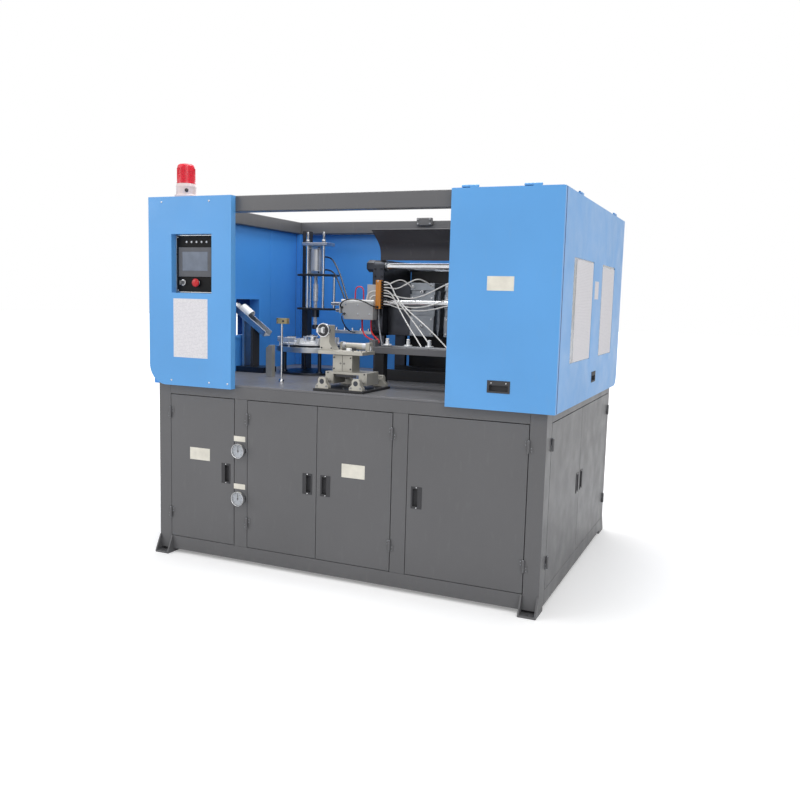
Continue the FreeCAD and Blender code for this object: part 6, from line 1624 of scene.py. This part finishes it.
@dataclass
class ClampUnit(Assembly):
    """Three platens on tie bars, two mould halves and the clamping cylinder."""

    bars: tuple[Pair, ...] = (
        (735, 1329), (1050, 1329), (735, 1527), (1050, 1527))
    bar_radius: float = 17
    fixed_face: float = 957
    rear_face: float = 1830
    nut_radius: float = 33.5
    nut_places: Pair = (848, 1895)
    nut_width: float = 42
    axis: Pair = (892.5, 1428)
    barrel_start: float = 1895
    barrel_length: float = 162
    stay_radius: float = 62.72
    rod_start: float = 1565
    rod_end: float = 1967
    platens: Pair = (923, 1862)
    moving_platen: float = 1532
    platen_front: float = 700
    mould_front: float = 770

    def build(self) -> None:
        """Make platens, bars, moulds, cylinder and hood."""
        carried("clamp_frame", lambda _centre, size:
                DARK_STEEL if size.x < 200 else BLACK_PAINT, 2.4, main=DARK_STEEL)
        carry(("fixed_mould", MOULD_METAL, 1.4), ("moving_mould", MOULD_METAL, 1.4),
              ("moving_platen", BLACK_PAINT, 2.4), ("clamp_hood", HOOD_PAINT, 0.6))
        Stock(0.6).block((958, 1085.3, 912), (1829, 1088.3, 1545), BLACK_PAINT).piece(
            "clamp_back_plate")
        self.tie_bars()
        self.cylinder()
        self.platen_screws()
        self.mould_details()

    def tie_bars(self) -> None:
        """The four chromed bars with the nuts at their ends."""
        stock, width = Stock(), self.nut_width
        for y, z in self.bars:
            stock.bar((self.fixed_face, y, z), (self.rear_face, y, z), self.bar_radius, CHROME_X, 40)
            for start, way in ((self.nut_places[0] + width, -1), (self.nut_places[1], 1)):
                stock.nut((start, y, z), (way, 0, 0), self.nut_radius, width, DARK_STEEL)
                stock.bar((start, y, z), (start + way * width, y, z), 16.6, STEEL)
            for x in (self.fixed_face, self.rear_face - 9):
                stock.lathe([(17.1, 0), (25, 0), (25, 8), (23.5, 9), (17.1, 9)], (x, y, z), RIGHT,
                            STEEL, closed=True)
        stock.piece("clamp_tie_bars", replaced=["tie_bars"])

    def cylinder(self) -> None:
        """The cylinder behind the rear platen, and the rod with its piston."""
        (y, z), start, length = self.axis, self.barrel_start, self.barrel_length
        barrel = Stock().lathe([
            (0, length - 9.8), (55.2, length - 9.8), (55.2, 0), (67.8, 0), (67.8, 14), (62.5, 16),
            (62.5, length - 24), (67.8, length - 22), (67.8, length - 3), (65, length),
            (0, length)], (start, y, z), RIGHT, PALE_PAINT, 64)
        for number in range(4):
            dy, dz = around(number + 0.5, 4, self.stay_radius)
            barrel.bar((start + 4, y + dy, z + dz), (start + length - 4, y + dy, z + dz), 4.5,
                       STEEL, 20)
        barrel.piece("clamp_barrel", replaced=["clamp_cylinder"])
        rod = Stock().bar((self.rod_start, y, z), (self.rod_end, y, z), 28, CHROME_X, 56)
        rod.lathe([(0, 0), (54, 0), (54.8, 1), (54.8, 19), (54, 20), (0, 20)],
                  (self.rod_end - 1, y, z), RIGHT, STEEL, 56)
        rod.piece("clamp_ram", "moving_clamp", ["clamp_rod"])

    def platen_screws(self) -> None:
        """The bolts on the platens' front edges and on the fixed platen's left side."""
        heights, edge = (1185, 1262, 1385, 1470, 1512), (self.platen_front,)
        self.screws("platen_bolts", SOCKET, 6.6, DARK_STEEL,
                    grid([x for middle in self.platens for x in both(middle, 20)], edge,
                         heights, FRONT)
                    + grid((890,), (800, 892, 985), (1190, 1428, 1520), LEFT))
        self.screws("moving_platen_bolts", SOCKET, 6.6, DARK_STEEL,
                    grid(both(self.moving_platen, 20), edge, heights[:-1], FRONT),
                    "moving_clamp")

    def mould_details(self) -> None:
        """Screws and water fittings on the front faces of the mould halves."""
        face = self.mould_front
        for label, body, low, high in (("fixed", STANDING, 1090, 1231),
                                       ("moving", "moving_clamp", 1291, 1432)):
            self.screws(f"{label}_mould_screws", SOCKET, 5.2, BRIGHT_STEEL,
                        grid((low + 14, high - 14), (face,), (1166, 1246, 1318, 1360, 1424),
                             FRONT), body)
            fittings = Stock()
            for z in (1205, 1392):
                spot = ((low + high) / 2, face, z)
                fittings.nut(spot, FRONT, 10, 8, BRIGHT_STEEL)
                fittings.lathe([(0, 8), (5.2, 8), (5.6, 14), (4.4, 17), (5.4, 22), (3.6, 26),
                                (0, 26)], spot, FRONT, BRIGHT_STEEL, 24)
            fittings.piece(f"{label}_mould_fittings", body)


# ---- blow air supply

@dataclass
class BlowUnit(Assembly):
    """Air manifold with barbs, blow beam with its pipes and the nozzle bar."""

    beam_front: float = 640
    manifold_front: float = 668
    barbs: int = 10
    barb_low: float = 1305
    barb_pitch: float = 15
    nozzles: int = 5
    nozzle_first: float = 665
    nozzle_pitch: float = 50
    stub_end: float = 717

    def build(self) -> None:
        """Make the manifold, the beam and the nozzles."""
        carried("blow_beam", lambda _centre, size: ALUMINIUM if size.z < 30 else PALE_PAINT, 2.4,
                lambda _centre, size: max(size) > 61 and not (size.y < 18 and size.z < 21),
                ALUMINIUM)
        Stock(1.6).block((925, self.manifold_front, 1294), (955, 700, 1450), ORANGE_PAINT).piece(
            "air_manifold_block", replaced=["air_manifold"])
        barb = Stock().lathe([(0, 0), (6.4, 0), (6.4, 4), (3.4, 5), (4.5, 8), (3.2, 9), (4.3, 12),
                              (3, 14), (0, 14)], (955, 684, self.barb_low), RIGHT, DARK_STEEL, 24)
        self.tools.line("manifold_barbs", barb, self.barbs, (0, 0, self.barb_pitch))
        nozzle = Stock().lathe([(0, 0), (6.8, 0), (6.8, 6), (5, 9), (5, 12), (3.4, 16), (0, 16)],
                               (self.nozzle_first, 715, 1168), UP, BRIGHT_STEEL, 24)
        self.tools.line("blow_nozzles", nozzle, self.nozzles, (self.nozzle_pitch, 0, 0))
        self.pipes()
        self.screws("beam_screws", SOCKET, 4.2, BRIGHT_STEEL,
                    grid((760, 835, 905), (self.beam_front,), (1262, 1312), FRONT)
                    + grid((940,), (self.manifold_front,), (1301, 1443), FRONT))

    def pipes(self) -> None:
        """The pipe on the beam, the two stubs at its left end and three ports."""
        stock = Stock().bar((725, 656, 1333), (925, 656, 1333), 8, WHITE_PLASTIC)
        for left, z in ((653, 1315), (683, 1278.5)):
            length = self.stub_end - left
            stock.lathe([(0, 0), (7.4, 0), (8.4, 2), (8.4, 14), (6.6, 15), (6.6, 19), (9.9, 20),
                         (9.9, length), (0, length)], (left, 670, z), RIGHT, BRIGHT_STEEL, 32)
        for x, y, z in ((738, self.beam_front, 1296), (752, self.beam_front, 1262),
                        (940, self.manifold_front, 1304)):
            stock.lathe([(0, 0), (6.6, 0), (6.6, 5), (4.6, 6), (4.6, 8), (0, 8)], (x, y, z), FRONT,
                        DARK_STEEL, 24)
        stock.piece("beam_pipes")


# ---- mandrels and oven

@dataclass
class MandrelLine(Assembly):
    """Rail on three posts with a sliding bar that carries seven mandrels."""

    first: float = 1133
    pitch: float = 115
    mandrels: int = 7
    line_y: float = 385
    bar_low: float = 1105.3
    bar_top: float = 1114.3
    bar_ends: Pair = (1105, 1853)

    def build(self) -> None:
        """Make the rail, the sliding bar and the mandrels on it."""
        carried("mandrel_rail", lambda _centre, size:
                BLACK_PAINT if size.z > 100 else RAIL_PAINT, 1.4, main=BLACK_PAINT)
        bar, (left, right) = Stock(), self.bar_ends
        bar.block((left, 370, self.bar_low), (right, 400, self.bar_top), STEEL)
        bar.block((left, 379.2, 1095.3), (right, 390.8, self.bar_low + 0.5), STEEL, 0.4)
        bar.piece("mandrel_bar", "carrier", ["mandrel_carrier"])
        mandrel = Stock().lathe([
            (0, 0), (20.6, 0), (20.9, 0.4), (20.9, 5.4), (20, 6.6), (17.6, 6.9), (11, 7.4),
            (10, 9), (10, 22), (8.6, 24), (7.6, 25), (7.6, 28), (9.4, 29.5), (9.4, 34), (6.4, 36),
            (0, 36)], (self.first, self.line_y, self.bar_top), UP, MANDREL_METAL)
        self.tools.line("mandrels", mandrel, self.mandrels, (self.pitch, 0, 0), "carrier")
        middles = [self.first + self.pitch * (k + 0.5) for k in range(self.mandrels - 1)]
        self.screws("mandrel_bar_screws", SOCKET, 4, DARK_STEEL,
                    grid(middles, (self.line_y,), (self.bar_top,), UP), "carrier")


@dataclass
class HeatingOven(Assembly):
    """Sheet oven with five lamp tubes in clips."""

    lamps: int = 5
    lamp_y: float = 439
    lamp_low: float = 1185
    lamp_pitch: float = 40
    lamp_ends: Pair = (1648.5, 1961.5)
    cap: float = 18

    def build(self) -> None:
        """Make the housing and the lamps."""
        carried("oven", STEEL, 0.9, stout)
        (left, right), cap = self.lamp_ends, self.cap
        for name, stretches, radius, finish in (
                ("lamp_tubes", [(left + cap, right - cap)], 4.9, LAMP_GLASS),
                ("lamp_ends", [(left, left + cap), (right - cap, right)], 5, WHITE_PLASTIC)):
            lamp = Stock()
            for start, end in stretches:
                lamp.bar((start, self.lamp_y, self.lamp_low), (end, self.lamp_y, self.lamp_low),
                         radius, finish, 24)
            self.tools.line(name, lamp, self.lamps, (0, 0, self.lamp_pitch))
        self.screws("oven_screws", DOME, 3.6, BRIGHT_STEEL,
                    grid((1655, 1805, 1955), (316, 500), (1410,), UP))


# ---- transfer unit

@dataclass
class TransferUnit(Assembly):
    """Sliding carriage with a lift and a head that turns each blank over."""

    shafts: Pair = (953, 1135)
    shaft_height: float = 947
    shaft_radius: float = 10
    lift_rods: Pair = (976, 1046)
    rod_y: float = 170
    flip_y: float = 212
    flip_height: float = 1112
    ring_centre: Point = (921, 91.9, 1190)

    def build(self) -> None:
        """Make base, carriage, lift and turning head."""
        carried("transfer_base", lambda centre, _size:
                BLACK_PAINT if centre.z < 915 else PLATE_METAL, 1.4, stout, PLATE_METAL)
        carry(("transfer_carriage", PLATE_METAL, 1.4), ("lift_table", PLATE_METAL, 1.2),
              ("turning_head", BRIGHT_STEEL, 0.8))
        self.rods()
        self.block_details()
        self.fasten()

    def rods(self) -> None:
        """The two shafts, the lift's rods, the small turning cylinder and the head's ring."""
        shafts, height = Stock(), self.shaft_height
        for x in self.shafts:
            shafts.bar((x, 58, height), (x, 292, height), self.shaft_radius, BRIGHT_STEEL)
            for y, way in ((28, FRONT), (322, BACK)):
                shafts.lathe([(0, -2), (12.5, -2), (12.5, 0.3), (11, 0.8), (0, 0.8)],
                             (x, y, height), way, DARK_STEEL, 32)
        shafts.piece("carriage_shafts")
        lift = Stock()
        for x in self.lift_rods:
            lift.bar((x, self.rod_y, 993), (x, self.rod_y, 1075), 8.3, CHROME_Z)
        y, z = self.flip_y, self.flip_height
        lift.lathe([(0, 0), (17.4, 0), (17.4, 16), (15.4, 17), (15.4, 108), (17.4, 109),
                    (17.4, 130), (0, 130)], (973, y, z), RIGHT, BARREL_METAL)
        lift.lathe([(0, 0), (5, 0), (5, 9), (0, 9)], (990, y - 16, z), FRONT, STEEL, 20)
        lift.piece("lift_rods_and_turning_cylinder", "lift")
        ring = Stock().lathe([(29.5, 0), (33.6, 0.2), (33.6, 1.2), (29.5, 1.2)], self.ring_centre,
                             FRONT, BRIGHT_STEEL, 56, closed=True)
        ring.lathe([(15.5, 0), (29.4, 0), (29.4, 0.9), (15.5, 0.9)], self.ring_centre, FRONT,
                   BLACK_PLASTIC, 56, closed=True)
        ring.piece("turning_head_ring", "flipper")

    def block_details(self) -> None:
        """The lift block's joint, the cylinder's sensor and the carriage's dark bumper."""
        block = Stock(0.4).block((1010.2, 127.2, 992), (1011.8, 128.4, 1069), BLACK_PLASTIC, 0.2)
        for x in (1001, 1021):
            block.lathe([(2.2, 0), (4.4, 0), (4.4, 0.7), (2.2, 0.7)], (x, 128, 1030), FRONT,
                        DARK_STEEL, 24, closed=True)
        block.block((990, 100, 966), (1100, 104.8, 978), BLACK_PLASTIC, 1.2)
        block.piece("carriage_details", "carriage")
        table = Stock().block((1046, 100, 1092.2), (1066, 118, 1108), WHITE_PLASTIC)
        table.block((1020, 181, 1094), (1052, 194.5, 1104), BLACK_PLASTIC)
        table.lathe([(0, 0), (5.6, 0), (5.6, 10), (4.2, 11), (4.2, 22), (0, 22)],
                    (1126, 205, 1093), UP, BRIGHT_STEEL, 24)
        table.piece("lift_table_fittings", "lift")

    def fasten(self) -> None:
        """Screws of the base plate, the bearing blocks, the carriage and the table."""
        self.screws("base_plate_screws", SOCKET, 4.2, STEEL,
                    grid((922, 1044, 1166), (80, 175, 270), (912,), UP)
                    + grid([x for shaft in self.shafts for x in both(shaft, 26)], (28,),
                           (925,), FRONT))
        self.screws("carriage_screws", SOCKET, 3.6, DARK_STEEL,
                    grid((945, 1143), (105,), (985,), FRONT)
                    + grid((966, 1056), (128,), (1004, 1058), FRONT), "carriage")
        self.screws("lift_screws", SOCKET, 3.4, DARK_STEEL,
                    grid((1080, 1124), (104, 160), (1092,), UP)
                    + grid((906, 960), (108,), (1104,), FRONT), "lift")


# ---- air lines

TUBE, HOSE = 0.007, 0.009
Route = tuple[str, float, Finish, Sequence[tuple[int, int, int]]]
ROUTES: tuple[Route, ...] = (
    ("rail_tube_1", TUBE, TUBE_WHITE, (
        (969, 684, 1440), (994, 684, 1440), (1030, 652, 1414), (1068, 628, 1358), (1152, 590, 1292),
        (1290, 530, 1210), (1418, 474, 1116), (1446, 450, 1096), (1446, 420, 1096))),
    ("mould_tube_1", TUBE, TUBE_WHITE, (
        (969, 684, 1425), (994, 684, 1425), (1028, 696, 1446), (1070, 694, 1456), (1104, 716, 1430),
        (1108, 742, 1414), (1108, 770, 1414))),
    ("mould_tube_2", TUBE, TUBE_WHITE, (
        (969, 684, 1410), (1000, 684, 1410), (1054, 662, 1402), (1116, 642, 1428), (1176, 660, 1464),
        (1218, 704, 1440), (1222, 740, 1424), (1222, 770, 1424))),
    ("rail_tube_2", TUBE, TUBE_WHITE, (
        (969, 684, 1395), (994, 684, 1395), (1036, 654, 1366), (1084, 618, 1308), (1170, 556, 1216),
        (1268, 482, 1126), (1300, 450, 1096), (1300, 420, 1096))),
    ("oven_tube_1", TUBE, TUBE_WHITE, (
        (969, 684, 1380), (1000, 684, 1380), (1068, 672, 1358), (1160, 634, 1352), (1262, 590, 1378),
        (1376, 552, 1430), (1500, 518, 1468), (1630, 505, 1470), (1676, 505, 1448), (1676, 505, 1410))),
    ("rail_tube_3", TUBE, TUBE_WHITE, (
        (969, 684, 1365), (998, 684, 1365), (1056, 662, 1342), (1130, 616, 1286), (1226, 544, 1210),
        (1330, 476, 1120), (1358, 448, 1096), (1358, 420, 1096))),
    ("oven_tube_2", TUBE, TUBE_WHITE, (
        (969, 684, 1335), (1000, 684, 1335), (1076, 666, 1312), (1176, 624, 1304), (1290, 576, 1319),
        (1412, 536, 1360), (1540, 508, 1376), (1640, 508, 1376))),
    ("oven_tube_3", TUBE, TUBE_WHITE, (
        (969, 684, 1320), (1000, 684, 1320), (1074, 662, 1298), (1174, 622, 1287), (1290, 578, 1296),
        (1412, 538, 1326), (1540, 508, 1336), (1640, 508, 1336))),
    ("upper_press_hose", HOSE, TUBE_BLACK, (
        (424, 1000, 1591), (458, 1000, 1591), (516, 956, 1556), (596, 888, 1472), (684, 786, 1362),
        (732, 738, 1312), (732, 700, 1312))),
    ("lower_press_hose", HOSE, TUBE_BLACK, (
        (424, 1000, 1514), (458, 1000, 1514), (520, 956, 1490), (600, 866, 1420), (690, 776, 1322),
        (744, 738, 1284), (744, 700, 1284))),
    ("red_hose_1", HOSE, TUBE_RED, (
        (844, 676, 1232), (844, 676, 1202), (868, 636, 1166), (916, 580, 1143), (984, 508, 1132),
        (1050, 446, 1122), (1050, 408, 1122))),
    ("red_hose_2", HOSE, TUBE_RED, (
        (898, 676, 1232), (898, 676, 1200), (920, 636, 1168), (960, 584, 1150), (1010, 520, 1139),
        (1063, 444, 1122), (1063, 408, 1122))),
    ("arched_tube", TUBE, TUBE_RED, (
        (798, 676, 1325), (798, 676, 1394), (808, 676, 1408), (824, 676, 1413), (840, 676, 1408),
        (850, 676, 1394), (850, 676, 1325))),
    ("beam_tube", TUBE, TUBE_BLACK, (
        (738, 640, 1296), (738, 602, 1296), (766, 588, 1334), (822, 604, 1346), (882, 612, 1334),
        (928, 624, 1308), (940, 640, 1304), (940, 668, 1304))),
    ("nozzle_tube", TUBE, TUBE_BLACK, (
        (752, 640, 1262), (752, 608, 1262), (762, 590, 1228), (780, 612, 1180), (788, 664, 1159),
        (788, 700, 1159))),
    ("rail_hose", HOSE, TUBE_GREY, (
        (940, 684, 1294), (940, 684, 1262), (960, 646, 1226), (994, 584, 1184), (1036, 516, 1134),
        (1076, 452, 1096), (1076, 420, 1096))),
    ("bracket_tube_1", TUBE, TUBE_WHITE, (
        (864, 684, 1325), (864, 684, 1352), (876, 684, 1380), (900, 684, 1390), (925, 684, 1390))),
    ("bracket_tube_2", TUBE, TUBE_WHITE, (
        (882, 684, 1325), (882, 684, 1341), (890, 684, 1356), (906, 684, 1366), (925, 684, 1366))))


@dataclass
class AirLines:
    """Every flexible line between the manifold, the press, the beam and the rail.

    Attributes:
        smoothness: How finely each stretch of a line is drawn.
        routes: Each line's name, diameter in metres, finish and route in machine millimetres.
    """

    smoothness: int = 14
    routes: tuple[Route, ...] = ROUTES

    def build(self) -> None:
        """Lay every line; the first one stands for the CAD node of them all."""
        for number, (name, diameter, finish, route) in enumerate(self.routes):
            points = [tuple(round((part + shift) / 1000, 4) for part, shift in zip(point, SHIFT))
                      for point in route]
            self.lay(name, diameter, finish, points, [] if number else ["air_tubes"])

    def lay(self, name: str, diameter: float, finish: Finish, points: Sequence[Point],
            replaced: Sequence[str]) -> None:
        """Args:
            name: The piece's name.
            diameter: Its outer diameter in metres.
            finish: The finish of its skin.
            points: The route's points in metres.
            replaced: CAD nodes that it stands for.
        """
        curve = bpy.data.curves.new(name, "CURVE")
        curve.dimensions = "3D"
        curve.bevel_depth, curve.bevel_resolution = diameter / 2, 3
        curve.use_fill_caps = True
        spline = curve.splines.new("NURBS")
        spline.points.add(len(points) - 1)
        for knot, point in zip(spline.points, points):
            knot.co = (*point, 1.0)
        spline.order_u = 3
        spline.use_endpoint_u = True
        spline.resolution_u = self.smoothness
        curve.materials.append(finish.material())
        piece = placed(name, curve)
        declare(piece, STANDING, replaced)
        self.measured(points)

    def measured(self, points: Sequence[Point], steps: int = 24) -> float:
        """The length of the smooth line that a route gives.

        Args:
            points: The route's points in metres.
            steps: How many straight steps stand for each stretch of the line.

        Returns:
            The length in metres of a uniform spline of order 3 with held ends.
        """
        length, last, spans = 0.0, Vector(points[0]), len(points) - 2
        knots = [0.0] * 3 + [float(k) for k in range(1, spans)] + [float(spans)] * 3
        for step in range(1, steps * spans + 1):
            u = min(step / steps, spans - 1e-9)
            low = int(u)
            a, b, c = (Vector(points[low + k]) for k in range(3))
            k1, k2, k3, k4 = knots[low + 1:low + 5]
            here = a.lerp(b, (u - k1) / (k3 - k1)).lerp(b.lerp(c, (u - k2) / (k4 - k2)),
                                                        (u - k2) / (k3 - k2))
            length += (here - last).length
            last = here
        return length


# ---- studio

@dataclass
class Studio:
    """Pale floor, white surroundings, soft lamps and the camera.

    Attributes:
        camera_place: Where the camera stands, in metres.
        yaw: How far it is turned right of straight ahead, in radians.
        pitch: How far it looks down, in radians.
        roll: How far it is tilted, in radians.
        lens: Its focal length for its sensor, in millimetres.
        sensor: The width of its sensor, in millimetres.
        fill: The strength of the surroundings on the object.
        glow: How strongly the floor shines near the machine and far from it.
        mirrored_glow: The same for the floor as glossy things show it.
        floor_reach: Half the floor's width, in metres.
        lamps: Each lamp's name, place, aim, width in metres and power in watts.
    """

    camera_place: Point = (1.8350, -4.2226, 1.3678)
    yaw: float = -0.4096
    pitch: float = 0.1212
    roll: float = 0.0269
    lens: float = 37.13
    sensor: float = 36.0
    fill: float = 0.66
    glow: Pair = (0.26, 0.75)
    mirrored_glow: Pair = (0.05, 0.6)
    floor_reach: float = 40.0
    lamps: tuple[tuple[str, Point, Point, float, float], ...] = (
        ("key_lamp", (3.6, -4.6, 4.4), (0.2, 0.0, 1.0), 3.0, 92.0),
        ("left_lamp", (-4.4, -3.6, 3.4), (-0.2, 0.0, 1.1), 3.2, 62.0),
        ("top_lamp", (-0.2, 0.1, 4.6), (-0.2, 0.1, 1.0), 2.6, 128.0),
        ("rear_lamp", (-1.5, 5.2, 3.6), (0.0, 0.0, 1.0), 3.4, 60.0))

    def build(self) -> None:
        """Set the colour handling and put up floor, surroundings, lamps and camera."""
        bpy.context.scene.view_settings.view_transform = "Standard"
        self.surroundings()
        self.floor()
        for name, place, aim, width, watts in self.lamps:
            light = bpy.data.lights.new(name, "AREA")
            light.shape, light.size, light.energy = "SQUARE", width, watts
            lamp = placed(name, light)
            lamp.location = place
            lamp.rotation_euler = (Vector(aim) - Vector(place)).to_track_quat("-Z", "Y").to_euler()
        self.camera()

    def surroundings(self) -> None:
        """White to the camera, to metal and through glass; softer as light."""
        world = bpy.data.worlds.new("white_surroundings")
        bpy.context.scene.world = world
        world.use_nodes = True
        tree = NodeTree(world.node_tree)
        strength = tree.node("ShaderNodeMapRange", {"Value": self.seen(tree)},
                             {"To Min": self.fill, "To Max": 1.0})
        light = tree.node("ShaderNodeBackground", {"Strength": strength.outputs["Result"]},
                          {"Color": (1.0, 1.0, 1.0, 1.0)})
        tree.node("ShaderNodeOutputWorld", {"Surface": light.outputs["Background"]})

    def seen(self, tree: NodeTree) -> Socket:
        """1 for rays that show the surroundings, 0 for rays that only light.

        Args:
            tree: The tree that asks.

        Returns:
            The socket with the largest of the ray tests.
        """
        path = tree.node("ShaderNodeLightPath").outputs
        total = path["Is Camera Ray"]
        for name in ("Is Glossy Ray", "Is Transmission Ray"):
            total = tree.node("ShaderNodeMath", {0: total, 1: path[name]},
                              operation="MAXIMUM").outputs["Value"]
        return total

    def floor(self) -> None:
        """A wide pale floor that keeps the machine's soft shadow."""
        mesh, reach = bpy.data.meshes.new("studio_floor"), self.floor_reach
        mesh.from_pydata([(-reach, -reach, 0), (reach, -reach, 0), (reach, reach, 0),
                          (-reach, reach, 0)], [], [(0, 1, 2, 3)])
        floor = placed("studio_floor", mesh)
        tree = ShaderTree("studio_floor_paint")
        tree.put("Base Color", tree.blend(tree.span(tree.noise(0.8, 3.0), 0.0, 1.0),
                                          srgb(238, 238, 239), srgb(242, 242, 242)))
        tree.put("Roughness", tree.span(tree.noise(4.0, 3.0), 0.82, 0.92))
        tree.put("Specular IOR Level", 0.1)
        away = tree.node("ShaderNodeVectorMath", {0: tree.place()}, operation="LENGTH")
        distance = away.outputs["Value"]
        pick = tree.node("ShaderNodeMix", {
            "Factor": tree.node("ShaderNodeLightPath").outputs["Is Glossy Ray"],
            "A": tree.span(distance, *self.glow, 1.3, 5.0),
            "B": tree.span(distance, *self.mirrored_glow, 4.0, 14.0)})
        share = tree.node("ShaderNodeMath", {0: self.seen(tree), 1: pick.outputs["Result"]},
                          operation="MULTIPLY")
        shine = tree.node("ShaderNodeEmission", {"Strength": share.outputs["Value"]})
        lit = tree.node("ShaderNodeAddShader", {0: tree.shader.outputs["BSDF"],
                                                1: shine.outputs["Emission"]})
        tree.tree.links.new(lit.outputs["Shader"], tree.output.inputs["Surface"])
        mesh.materials.append(tree.material)
        floor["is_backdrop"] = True

    def camera(self) -> None:
        """The camera at the photograph's place, angle and field."""
        forward = Vector((math.sin(self.yaw) * math.cos(self.pitch),
                          math.cos(self.yaw) * math.cos(self.pitch), -math.sin(self.pitch)))
        level = Vector((math.cos(self.yaw), -math.sin(self.yaw), 0.0))
        upright = level.cross(forward)
        right = math.cos(self.roll) * level + math.sin(self.roll) * upright
        up = math.cos(self.roll) * upright - math.sin(self.roll) * level
        data = bpy.data.cameras.new("photo_camera")
        data.lens, data.sensor_width = self.lens, self.sensor
        camera = placed("photo_camera", data)
        camera.matrix_world = (Matrix.Translation(Vector(self.camera_place))
                               @ Matrix((right, up, -forward)).transposed().to_4x4())
        bpy.context.scene.camera = camera


def corners(box: tuple[Vector, Vector]) -> list[list[float]]:
    """A box's two corners as plain lists."""
    return [list(corner) for corner in box]


def main() -> None:
    """Build every sub-assembly in order and measure the sizes before and after."""
    logging.basicConfig(level=logging.INFO, format="%(message)s")
    cad_box = corners(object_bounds())
    Studio().build()
    AirLines().build()
    tools = Tools()
    for kind in (BaseCabinet, GaugePair, UpperFrame, BlueSheeting, ControlStation, Beacon,
                 PreformFeed, LoadingPress, ClampUnit, BlowUnit, MandrelLine, HeatingOven,
                 TransferUnit):
        kind(tools).build()
        LOG.info("finished %s", kind.__name__)
    tools.close()
    {"cad": cad_box, "visual": corners(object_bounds())}


if __name__ == "__main__":
    main()
